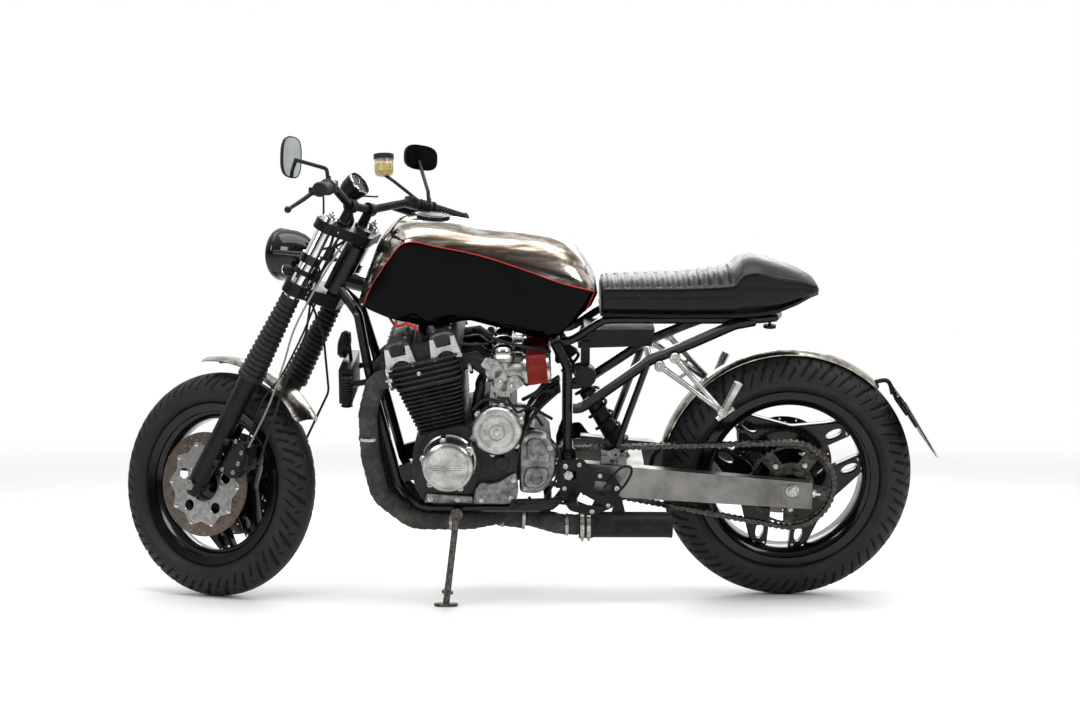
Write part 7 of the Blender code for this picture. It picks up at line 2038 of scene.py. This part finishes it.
pipes = []
bands = []
for y, low_y in zip(PORTS_Y, (-0.128, -0.072, -0.016, 0.040)):
    port = on_cylinder(PORT_UP, -PORT_BACK, y)
    corners = [
        port, port - 0.045 * CYLINDER_BACK, (0.428, y, 0.545), (0.432, y, 0.430),
        (0.455, (y + low_y) / 2, 0.320), (0.540, low_y, PIPES_Z), (0.690, low_y, PIPES_Z),
        (0.800, -0.060, PIPES_Z)
    ]
    pipes.append(wrapped_pipe(corners, 25.0 * MM, 0.075))
    flange_rows = in_mm((27, -2), (33, -2), (33, 5), (27, 7))
    bands.append(lathe(flange_rows, port - 8 * MM * CYLINDER_BACK, CYLINDER_BACK, 36, ring=True))
    for way in (-1, 1):
        stud = port + 6 * MM * CYLINDER_BACK + way * Vector((0, 30 * MM, 0))
        bands.append(lathe(
            in_mm((5, 0), (5, 9), (2.6, 9.4), (2.6, 17), (0.3, 17)), stud - 4 * MM * CYLINDER_BACK,
            -CYLINDER_BACK, 6
        ))
pipes.append(wrapped_pipe([(0.765, -0.050, PIPES_Z), (0.835, -0.066, 0.2435)], 39 * MM, 0.01))
pipes.append(wrapped_pipe(
    [(0.780, -0.060, PIPES_Z), (0.850, -0.070, 0.240), (0.930, -0.150, 0.243), (1.000, -0.150, 0.243)],
    27.5 * MM, 0.06
))
piece(
    "exhaust_wrap_pipes", joined(*pipes), wrap_cloth, "frame", ("exhaust_pipes",), crease=60
)
for spot, way, size in (
    (Vector((0.640, -0.128, PIPES_Z)), Vector((1, 0, 0)), 26.4),
    (Vector((0.775, -0.055, 0.2460)), Vector((1, 0, -0.04)), 40.2),
    (Vector((0.832, -0.066, 0.2435)), Vector((1, 0, -0.04)), 40.2),
    (Vector((0.945, -0.150, 0.243)), Vector((1, 0, 0)), 28.8),
    (Vector((0.430, -0.155, 0.480)), Vector((0, 0, 1)), 26.4)
):
    bands.append(lathe(
        [
            (size * MM, -4 * MM), ((size + 0.9) * MM, -4 * MM), ((size + 0.9) * MM, 4 * MM),
            (size * MM, 4 * MM)
        ],
        spot, way, 48, ring=True
    ))
piece("exhaust_bands", joined(*bands), bolt_steel, "frame")
silencer_at = Vector((0.976, -0.150, 0.243))
rows = in_mm(
    (29, 0), (36.2, 0), (36.2, 34), (34.4, 38), (34, 42), (34, 236), (34.8, 238), (34.8, 244), (33, 246),
    (23, 246), (20.4, 243), (20.4, 190), (0.5, 188)
)
shapes = [lathe(rows, silencer_at, (1, 0, 0), 72)]
shapes.append(side_plate(
    [(1.060, 0.270), (1.100, 0.270), (1.088, 0.318), (1.072, 0.318)], [], -0.154, -0.148, 1 * MM, 4 * MM
))
heat_black = enamel("heatproof_black_paint", "101010", "262422", 0.44, 0.0)
piece("silencer_can", joined(*shapes), heat_black, "frame", ("silencer",), crease=30)
shapes = []
for reach in (9 * MM, 26 * MM):
    rows = in_mm((36.4, -5), (38, -5), (38, 5), (36.4, 5))
    shapes.append(lathe(rows, silencer_at + Vector((reach, 0, 0)), (1, 0, 0), 56, ring=True))
    ear_at = silencer_at + Vector((reach, -20 * MM, -36 * MM))
    shapes.append(lathe(in_mm((5, 0), (5, 16), (0.4, 16)), ear_at, (0, 0.9, -0.1), 6))
piece("silencer_clamp", joined(*shapes), bolt_steel, "frame")


# The frame
# Two cradle tubes, a backbone and a bolted rear loop, all welded steel under gloss black paint.
# They keep the form of the solids, with their edges softened.
frame_black = enamel("gloss_black_frame_paint", "060607", "141415", 0.24, 0.5)
dress("main_frame", frame_black, 1.0 * MM)
dress("subframe", frame_black, 1.0 * MM)


# The swingarm
# A box section of brushed bare aluminium with rounded edges, a chain adjuster and an axle block
# at each end, and a small bracket that used to carry the chain guard.
ARM_REAR_X = 1.588
ARM_SIDE_Y = 0.130
brushed_alloy = metal("brushed_swingarm_alloy", "5D5C5A", "84827F", 120, 0.40, 0.22, 0.9)
dress("swingarm", brushed_alloy, 3.0 * MM)
fittings = []
nuts = []
for side in (-1, 1):
    y = side * (ARM_SIDE_Y + 15.2 * MM)
    block_outline = [
        (-0.030, -0.026), (0.026, -0.026), (0.030, -0.020), (0.030, 0.020), (0.026, 0.026), (-0.030, 0.026)
    ]
    placing = upright(REAR_AXLE.x, REAR_AXLE.z - 10 * MM, y)
    fittings.append(plate(
        rounded(block_outline, 4 * MM), [disc(11 * MM, 24)], -2.4 * MM, 1.2 * MM, 0.8 * MM, placing
    ))
    for mark in range(5):
        x = REAR_AXLE.x - 24 * MM + mark * 5 * MM
        nuts.append(round_bar(
            [
                (x, y + side * 2.8 * MM, REAR_AXLE.z + 8 * MM),
                (x, y + side * 2.8 * MM, REAR_AXLE.z + 13 * MM)
            ],
            0.5 * MM, 6
        ))
    axle_end = Vector((REAR_AXLE.x, y + side * 2 * MM, REAR_AXLE.z))
    nuts.append(lathe(in_mm((17, 0), (17, 2.4), (16, 3), (0.4, 3)), axle_end, (0, side, 0), 36))
    nuts.append(lathe(
        in_mm((12.5, 3), (12.5, 11), (11, 13), (6, 13), (5, 11), (0.4, 11)), axle_end, (0, side, 0), 6
    ))
    adjuster = Vector((ARM_REAR_X, side * ARM_SIDE_Y, REAR_AXLE.z - 16 * MM))
    nuts.append(lathe(in_mm((4, -2), (4, 22), (3, 24), (0.3, 24)), adjuster, (1, 0, 0), 16))
    nuts.append(lathe(in_mm((8, 2), (8, 8), (7, 9), (0.4, 9)), adjuster, (1, 0, 0), 6))
    fittings.append(lathe(
        in_mm((18, 0), (18, 1.6), (0.4, 1.6)), adjuster - Vector((1.4 * MM, 0, 0)), (1, 0, 0), 24
    ))
    pivot_end = Vector((0.948, side * 0.172, 0.387))
    nuts.append(lathe(in_mm((14, 0), (14, 9), (12.6, 11), (0.4, 11)), pivot_end, (0, side, 0), 6))
for x, z in ((1.045, 0.4115), (1.088, 0.4080)):
    foot_outline = [(-0.013, -0.004), (0.013, -0.004), (0.011, 0.018), (-0.011, 0.018)]
    fittings.append(plate(
        rounded(foot_outline, 3 * MM), [], -14 * MM, 14 * MM, 1 * MM, upright(x, z, -ARM_SIDE_Y)
    ))
piece("swingarm_fittings", joined(*fittings), brushed_alloy, "frame", crease=34)
piece("swingarm_bolts", joined(*nuts), bolt_steel, "frame")
guard_stay = [
    (-0.022, -0.016), (0.022, -0.020), (0.026, 0.006), (0.014, 0.012), (-0.006, 0.004), (-0.026, 0.010)
]
shapes = [plate(
    rounded(guard_stay, 3 * MM), [disc(3.2 * MM, 12, 0.014, -0.006)], -2 * MM, 2 * MM, 0.6 * MM,
    upright(1.058, 0.437, -ARM_SIDE_Y - 10 * MM)
)]
piece("guard_bracket", joined(*shapes), mottled_alloy, "frame")


# The chain and its sprocket
# A riveted roller chain of oiled dark steel, its links drawn one by one round both sprockets. The
# rear sprocket is drilled steel plate, held to its carrier by a ring of nuts.
CHAIN_Y = 0.0975
CHAIN_PITCH = 15.875 * MM
FRONT_TEETH, REAR_TEETH = 17, 46
FRONT_SPROCKET = Vector((0.865, -CHAIN_Y, 0.390))
REAR_SPROCKET = Vector((REAR_AXLE.x, -CHAIN_Y, REAR_AXLE.z))
front_reach = CHAIN_PITCH / (2 * sin(pi / FRONT_TEETH))
rear_reach = CHAIN_PITCH / (2 * sin(pi / REAR_TEETH))
oiled_steel = metal("oiled_chain_steel", "1C1A18", "5B5752", 7, 0.36, 0.25, 1.0)
between = REAR_SPROCKET - FRONT_SPROCKET
slope = atan2(between.z, between.x)
spread = acos((front_reach - rear_reach) / between.length)
straight_run = sqrt(between.length ** 2 - (rear_reach - front_reach) ** 2)


def chain_point(reach):
    """A point on the chain's loop: the top run, round the rear, the bottom run, round the front."""
    upper, lower = slope + spread, slope - spread
    start = FRONT_SPROCKET + front_reach * Vector((cos(upper), 0, sin(upper)))
    end = REAR_SPROCKET + rear_reach * Vector((cos(upper), 0, sin(upper)))
    if reach < straight_run:
        return start.lerp(end, reach / straight_run)
    reach -= straight_run
    rear_span = 2 * spread
    if reach < rear_span * rear_reach:
        turn = upper - reach / rear_reach
        return REAR_SPROCKET + rear_reach * Vector((cos(turn), 0, sin(turn)))
    reach -= rear_span * rear_reach
    low_end = REAR_SPROCKET + rear_reach * Vector((cos(lower), 0, sin(lower)))
    low_start = FRONT_SPROCKET + front_reach * Vector((cos(lower), 0, sin(lower)))
    if reach < straight_run:
        return low_end.lerp(low_start, reach / straight_run)
    reach -= straight_run
    turn = lower - reach / front_reach
    return FRONT_SPROCKET + front_reach * Vector((cos(turn), 0, sin(turn)))


loop_length = 2 * straight_run + 2 * spread * rear_reach + (2 * pi - 2 * spread) * front_reach
links = 2 * round(loop_length / CHAIN_PITCH / 2)
link_step = loop_length / links
link_shapes = []
for number in range(links):
    here, there = chain_point(number * link_step), chain_point((number + 1) % links * link_step)
    way = (there - here).normalized()
    normal = Vector((-way.z, 0, way.x))
    span = (there - here).length
    inner = number % 2 == 0
    waist, end_radius = 4.6 * MM, 7.0 * MM
    outline = []
    for step in range(9):
        turn = -pi / 2 - pi * step / 8
        outline.append((end_radius * cos(turn), end_radius * sin(turn)))
    outline.append((span / 2, waist))
    for step in range(9):
        turn = pi / 2 - pi * step / 8
        outline.append((span + end_radius * cos(turn), end_radius * sin(turn)))
    outline.append((span / 2, -waist))
    for side in (-1, 1):
        low, high = ((3.4, 5.6) if inner else (6.0, 8.2))
        rings = []
        for depth in (low, high):
            rings.append([
                here + a * way + b * normal + Vector((0, side * depth * MM, 0)) for a,
                b in (outline if side < 0 else outline[::-1])
            ])
        link_shapes.append(shell(rings))
    link_shapes.append(lathe(in_mm((4.8, -3.6), (4.8, 3.6)), here, (0, 1, 0), 10))
    pin_half = 9.6 * MM
    link_shapes.append(lathe([(2.6 * MM, -pin_half), (2.6 * MM, pin_half)], here, (0, 1, 0), 8))
piece("chain_links", joined(*link_shapes), oiled_steel, "frame", ("chain",), crease=40)

sprocket_steel = metal("dark_sprocket_steel", "131312", "4A4845", 16, 0.38, 0.15, 0.9)
teeth = []
for number in range(REAR_TEETH):
    middle = 2 * pi * number / REAR_TEETH
    half_pitch = pi / REAR_TEETH
    for share, reach in (
        (-1.0, rear_reach - 10.0 * MM), (-0.60, rear_reach - 9.4 * MM), (-0.20, rear_reach - 5.4 * MM),
        (0.20, rear_reach - 5.4 * MM), (0.60, rear_reach - 9.4 * MM)
    ):
        turn = middle + share * half_pitch
        teeth.append((reach * cos(turn), reach * sin(turn)))
windows = []
for number in range(5):
    middle = 0.35 + 2 * pi * number / 5
    near_arc = [(0.0625 * cos(middle + t), 0.0625 * sin(middle + t)) for t in (-0.34, -0.17, 0, 0.17, 0.34)]
    far_arc = [
        (0.1015 * cos(middle + t), 0.1015 * sin(middle + t))
        for t in (0.44, 0.26, 0.09, -0.09, -0.26, -0.44)
    ]
    windows.append(rounded(near_arc + far_arc, 3 * MM, 3))
sprocket = plate(
    teeth, [disc(0.040, 36), *windows], -3 * MM, 3 * MM, 0.7 * MM,
    upright(REAR_AXLE.x, REAR_AXLE.z, -CHAIN_Y)
)
hub_rows = [
    (0.030, 30 * MM), (0.057, 30 * MM), (0.057, 6 * MM), (0.052, -3 * MM), (0.048, -5 * MM),
    (0.030, -5 * MM)
]
carrier = lathe(hub_rows, REAR_SPROCKET, (0, 1, 0), 64, ring=True)
piece(
    "sprocket_teeth", joined(sprocket, carrier), sprocket_steel, "rear_wheel",
    ("rear_sprocket",), crease=34
)
nuts = []
for number in range(5):
    turn = 0.35 + pi / 5 + 2 * pi * number / 5
    at = REAR_SPROCKET + Vector((0.066 * cos(turn), -3 * MM, 0.066 * sin(turn)))
    nuts.append(lathe(in_mm((8, -4), (8, 1.6), (7, 2), (7, 7), (5.6, 8.4), (0.4, 8.4)), at, (0, -1, 0), 6))
piece("sprocket_nuts", joined(*nuts), bolt_steel, "rear_wheel")


# The rear shock
# One coil-over damper behind the engine: a black spring of round steel wire, held between two
# turned collars on a satin black body.
SHOCK_LOW, SHOCK_HIGH = Vector((1.098, 0, 0.3960)), Vector((0.916, 0, 0.712))
shock_way = (SHOCK_HIGH - SHOCK_LOW).normalized()
shock_length = (SHOCK_HIGH - SHOCK_LOW).length
_, shock_side, shock_other = axes_about(shock_way)
coil = []
for step in range(7 * 28 + 1):
    turn = 2 * pi * step / 28
    along_shock = 0.042 + (shock_length - 0.105) * step / (7 * 28)
    coil.append(
        SHOCK_LOW + along_shock * shock_way + 29.6 * MM * (cos(turn) * shock_side + sin(turn) * shock_other)
    )
damper_rows = [
    (0.5 * MM, 4 * MM), (13 * MM, 4 * MM), (14 * MM, 16 * MM), (33 * MM, 30 * MM), (33.6 * MM, 36 * MM),
    (24 * MM, 38 * MM), (22 * MM, shock_length * 0.55), (10 * MM, shock_length * 0.58),
    (9 * MM, shock_length - 62 * MM), (33 * MM, shock_length - 60 * MM),
    (33.6 * MM, shock_length - 52 * MM), (26 * MM, shock_length - 40 * MM),
    (20 * MM, shock_length - 12 * MM), (0.5 * MM, shock_length - 10 * MM)
]
damper = lathe(damper_rows, SHOCK_LOW, shock_way, 40)
piece("shock_spring", round_bar(coil, 4.4 * MM, 10), satin_black, "frame", ("rear_shock",))
piece("shock_damper", damper, satin_black, "frame")


# The rear caliper
# A cast two-pot caliper under dark grey enamel. Its halves sit on either side of the disc, ahead of
# the axle and above it, and a bridge over the disc's edge joins them.
REAR_DISC_Y = 0.090
caliper_at = REAR_AXLE + Vector((-0.085, 0, 0.085))
body_outline = rounded(
    [(-0.034, -0.040), (0.030, -0.044), (0.038, -0.008), (0.026, 0.036), (-0.024, 0.044), (-0.038, 0.006)],
    9 * MM
)
half_near = plate(
    body_outline, [], -12 * MM, 12 * MM, 3 * MM, upright(caliper_at.x, caliper_at.z, REAR_DISC_Y + 17 * MM)
)
half_far = plate(
    body_outline, [], -9 * MM, 9 * MM, 3 * MM, upright(caliper_at.x, caliper_at.z, REAR_DISC_Y - 14 * MM)
)
bridge_outline = rounded([(-0.036, 0.012), (-0.008, 0.040), (-0.018, 0.050), (-0.046, 0.022)], 3 * MM)
bridge = plate(
    bridge_outline, [], -24 * MM, 26 * MM, 2 * MM, upright(caliper_at.x, caliper_at.z, REAR_DISC_Y)
)
pots = []
for along_body in (-0.018, 0.020):
    pot_at = caliper_at + Vector((along_body, REAR_DISC_Y + 27 * MM, 0))
    pots.append(lathe(in_mm((14, 0), (14, 5), (12, 7), (0.5, 7)), pot_at, (0, 1, 0), 28))
piece(
    "rear_caliper_body", joined(half_near, half_far, bridge, *pots), caliper_paint, "frame",
    ("rear_caliper",)
)


# The rear guard and the number plate
# A blade of polished sheet aluminium close over the tyre, on two black tube stays. The rear stay
# also holds the blank white plate out behind the tyre, on a backing plate with two screws.
GUARD_RADIUS = 0.345
PLATE_TOP = Vector((1.826, 0, 0.568))
PLATE_DOWN = Vector((0.094, 0, -0.152)).normalized()
PLATE_OUT = Vector((-PLATE_DOWN.z, 0, PLATE_DOWN.x))


def round_rear(reach, angle_deg):
    return REAR_AXLE + reach * Vector((cos(radians(angle_deg)), 0, sin(radians(angle_deg))))


guard_shape = blade(
    GUARD_RADIUS - 8.5 * MM, REAR_AXLE, radians(46), radians(166), 0.033, 8.5 * MM, 2.5 * MM, 72
)
piece("rear_blade", guard_shape, guard_alloy, "frame", ("rear_guard",), crease=40)
front_stay = [
    round_rear(GUARD_RADIUS - 2 * MM, 165), (1.178, 0, 0.385), (1.172, 0, 0.354), (1.1505, 0, 0.354)
]
rear_stay = [
    round_rear(GUARD_RADIUS + 1 * MM, 48), round_rear(0.374, 45),
    PLATE_TOP + 18 * MM * PLATE_DOWN - 12 * MM * PLATE_OUT,
    PLATE_TOP + 71 * MM * PLATE_DOWN - 8.5 * MM * PLATE_OUT
]
stays = [round_bar(bent(corners, 0.02, 6), 6 * MM, 16) for corners in (front_stay, rear_stay)]
back_turn = Matrix((
    Vector((0, 1, 0)), PLATE_DOWN, Vector((0, 1, 0)).cross(PLATE_DOWN)
)).transposed().to_4x4()
back_at = Matrix.Translation(PLATE_TOP + 70 * MM * PLATE_DOWN - 5.5 * MM * PLATE_OUT) @ back_turn
back_outline = rounded([(-0.032, -0.036), (0.032, -0.036), (0.032, 0.036), (-0.032, 0.036)], 6 * MM)
stays.append(plate(back_outline, [], -4 * MM, 4 * MM, 1 * MM, back_at))
sheet_at = Matrix.Translation(PLATE_TOP + 89 * MM * PLATE_DOWN - 2.6 * MM * PLATE_OUT) @ back_turn
sheet_outline = rounded([(-0.113, -0.088), (0.113, -0.088), (0.113, 0.088), (-0.113, 0.088)], 6 * MM)
stays.append(plate(sheet_outline, [], -0.7 * MM, 0.7 * MM, 0.3 * MM, sheet_at))
for side in (-1, 1):
    screw = PLATE_TOP + 8 * MM * PLATE_DOWN + Vector((0, side * 0.020, 0))
    stays.append(round_bar([screw - 9 * MM * PLATE_OUT, screw - 1 * MM * PLATE_OUT], 3.4 * MM, 12))
    lug = PLATE_TOP + Vector((0, side * 0.062, 0)) - 6 * MM * PLATE_OUT - 6 * MM * PLATE_DOWN
    stays.append(round_bar([lug, lug + 26 * MM * PLATE_DOWN - 8 * MM * PLATE_OUT], 5 * MM, 14))
piece("rear_guard_stays", joined(*stays), satin_black, "frame")
dress("number_plate", enamel("white_plate_sheet", "C9C9C6", "DADAD7", 0.40, 0.2), 0.5 * MM)


# The pillion hangers
# Two thin cast arms a side, bright and lightly polished, with three cross bars and a folded peg,
# and bolted to the rear loop of the frame.
for side, word in SIDES:
    near, far = side * 0.1295, side * 0.150
    lugs = [Vector((1.183, near, 0.668)), Vector((1.222, near, 0.690))]
    pivot = Vector((1.345, far, 0.552))
    shapes = []
    for lug in lugs:
        shapes.append(round_bar([lug, lug.lerp(pivot, 0.5), pivot], [8.5 * MM, 7.0 * MM, 8.5 * MM], 20))
        rows = in_mm((13.5, -6), (14, -4), (14, 9), (12, 11), (0.5, 11))
        shapes.append(lathe(rows, lug, (0, side, 0), 32))
    for share in (0.28, 0.50, 0.72):
        a, b = lugs[0].lerp(pivot, share), lugs[1].lerp(pivot, share)
        shapes.append(round_bar([a, b], 4.4 * MM, 12))
    rows = in_mm((12, -9), (13.6, -7), (13.6, 20), (12, 22), (0.5, 22))
    shapes.append(lathe(rows, pivot, (0, side, 0), 32))
    shapes.append(round_bar(
        [pivot + Vector((-0.012, side * 0.004, -0.020)), pivot + Vector((0.030, side * 0.008, 0.012))],
        8 * MM, 16
    ))
    peg_start, peg_end = Vector((1.350, side * 0.160, 0.556)), Vector((1.384, side * 0.170, 0.632))
    shapes.append(round_bar(
        [peg_start, peg_start.lerp(peg_end, 0.2), peg_end], [9 * MM, 10 * MM, 12 * MM], 20
    ))
    piece(
        "hanger_arms_" + word, joined(*shapes), turned_alloy, "frame",
        ("pillion_hanger_" + word,), crease=40
    )
    bolts = []
    for lug in lugs:
        start = lug + Vector((0, side * 11 * MM, 0))
        bolts.append(lathe(
            in_mm((7, 0), (7, 4), (6, 5), (3.4, 5), (3.4, 2), (0.3, 2)), start, (0, side, 0), 20
        ))
    piece("hanger_bolts_" + word, joined(*bolts), bolt_steel, "frame")


# The footrests, the electrics box, the cooler, the breather and the side stand
# Painted steel and cast parts that keep the form of the solids. Bolted plates of black steel carry
# the footrests, thin fins fill the cooler, and a corrugated rubber breather stands beside it.
for node in ("footrest_left", "footrest_right"):
    dress(node, satin_black, 0.8 * MM)
worn_steel = metal("worn_stand_steel", "1B1A19", "6E6A63", 10, 0.42, 0.3, 0.9)
dress("side_stand", worn_steel, 0.8 * MM)
bracket_outline = [
    (0.925, 0.425), (0.985, 0.432), (1.010, 0.398), (1.062, 0.392), (1.088, 0.352), (1.066, 0.300),
    (1.012, 0.276), (0.952, 0.290), (0.926, 0.330)
]
bracket_holes = [
    [(0.957 + x, 0.388 + z) for x, z in disc(13 * MM, 24)],
    [(1.018, 0.372), (1.052, 0.368), (1.062, 0.350), (1.040, 0.330), (1.012, 0.342)],
    [(0.968, 0.318), (1.008, 0.302), (1.016, 0.318), (0.980, 0.340)]
]
BRACKET_NEAR_Y, BRACKET_FAR_Y = 0.1755, 0.1805
brackets = []
bracket_bolts = []
for side in (-1, 1):
    low, high = sorted((side * BRACKET_NEAR_Y, side * BRACKET_FAR_Y))
    brackets.append(side_plate(bracket_outline, bracket_holes, low, high, 1 * MM, 9 * MM))
    for x, z, size in (
        (0.940, 0.412, 7), (0.976, 0.416, 6), (1.030, 0.386, 6), (1.074, 0.352, 7), (1.052, 0.306, 6),
        (1.010, 0.290, 7), (0.962, 0.304, 6), (0.938, 0.352, 6)
    ):
        rows = [
            (size * MM, 0), (size * MM, 4 * MM), ((size - 1) * MM, 5 * MM), (2.6 * MM, 5 * MM),
            (2.6 * MM, 2 * MM), (0.3 * MM, 2 * MM)
        ]
        bracket_bolts.append(lathe(rows, Vector((x, side * BRACKET_FAR_Y, z)), (0, side, 0), 14))
    for x, z in ((0.938, 0.352), (0.940, 0.412)):
        brackets.append(lathe(
            [(9 * MM, 0), (9 * MM, 0.040), (0.4 * MM, 0.040)], Vector((x, side * BRACKET_NEAR_Y, z)),
            (0, -side, 0), 20
        ))
link_points = [
    (0.846, -0.166, 0.322), (0.860, -0.186, 0.320), (0.950, -0.188, 0.312), (1.040, -0.188, 0.300)
]
brackets.append(round_bar(curve_through(link_points, 8), 4 * MM, 12))
loop_points = [
    (1.040, -0.184, 0.352), (1.078, -0.184, 0.404), (1.106, -0.184, 0.412), (1.110, -0.184, 0.392),
    (1.088, -0.184, 0.354), (1.060, -0.184, 0.338)
]
brackets.append(round_bar(curve_through(loop_points, 8), 3.4 * MM, 12))
piece("footrest_brackets", joined(*brackets), satin_black, "frame")
piece("footrest_bracket_bolts", joined(*bracket_bolts), bolt_steel, "frame")
fin_shapes = []
for row in range(9):
    z = 0.5640 + row * 10.2 * MM
    for layer in range(2):
        fin_shapes.append(plate(
            rounded([(-0.016, -0.0012), (0.018, -0.0012), (0.018, 0.0012), (-0.016, 0.0012)], 0.5 * MM, 2),
            [], -0.108, 0.108, 0.3 * MM, upright(0.3665, z + layer * 5 * MM, 0)
        ))
piece("cooler_fins", joined(*fin_shapes), satin_black, "frame")
breather = []
for step in range(11):
    z = 0.5560 + step * 7.4 * MM
    breather += [
        (11 * MM, z), (15.5 * MM, z + 2.0 * MM), (15.5 * MM, z + 4.4 * MM), (11 * MM, z + 6.4 * MM)
    ]
piece(
    "ribbed_breather",
    lathe(
        [(0.5 * MM, breather[0][1]), *breather, (0.5 * MM, breather[-1][1])], Vector((0.372, -0.1285, 0)),
        (0, 0, 1), 32
    ),
    grip_rubber, "frame"
)
dress("electrics_box", satin_black, 2 * MM)


# The rest
# Solids that still show and have no coat of their own get satin black enamel, so that none is left
# grey. Then both boxes are kept and the scene is finished.
for node, solid in frame["nodes"].items():
    if not solid.hide_render and "worn_edges" not in solid.modifiers:
        dress(node, satin_black)
size = {"cad": [list(cad_low), list(cad_high)], "made": [list(corner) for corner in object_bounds()]}
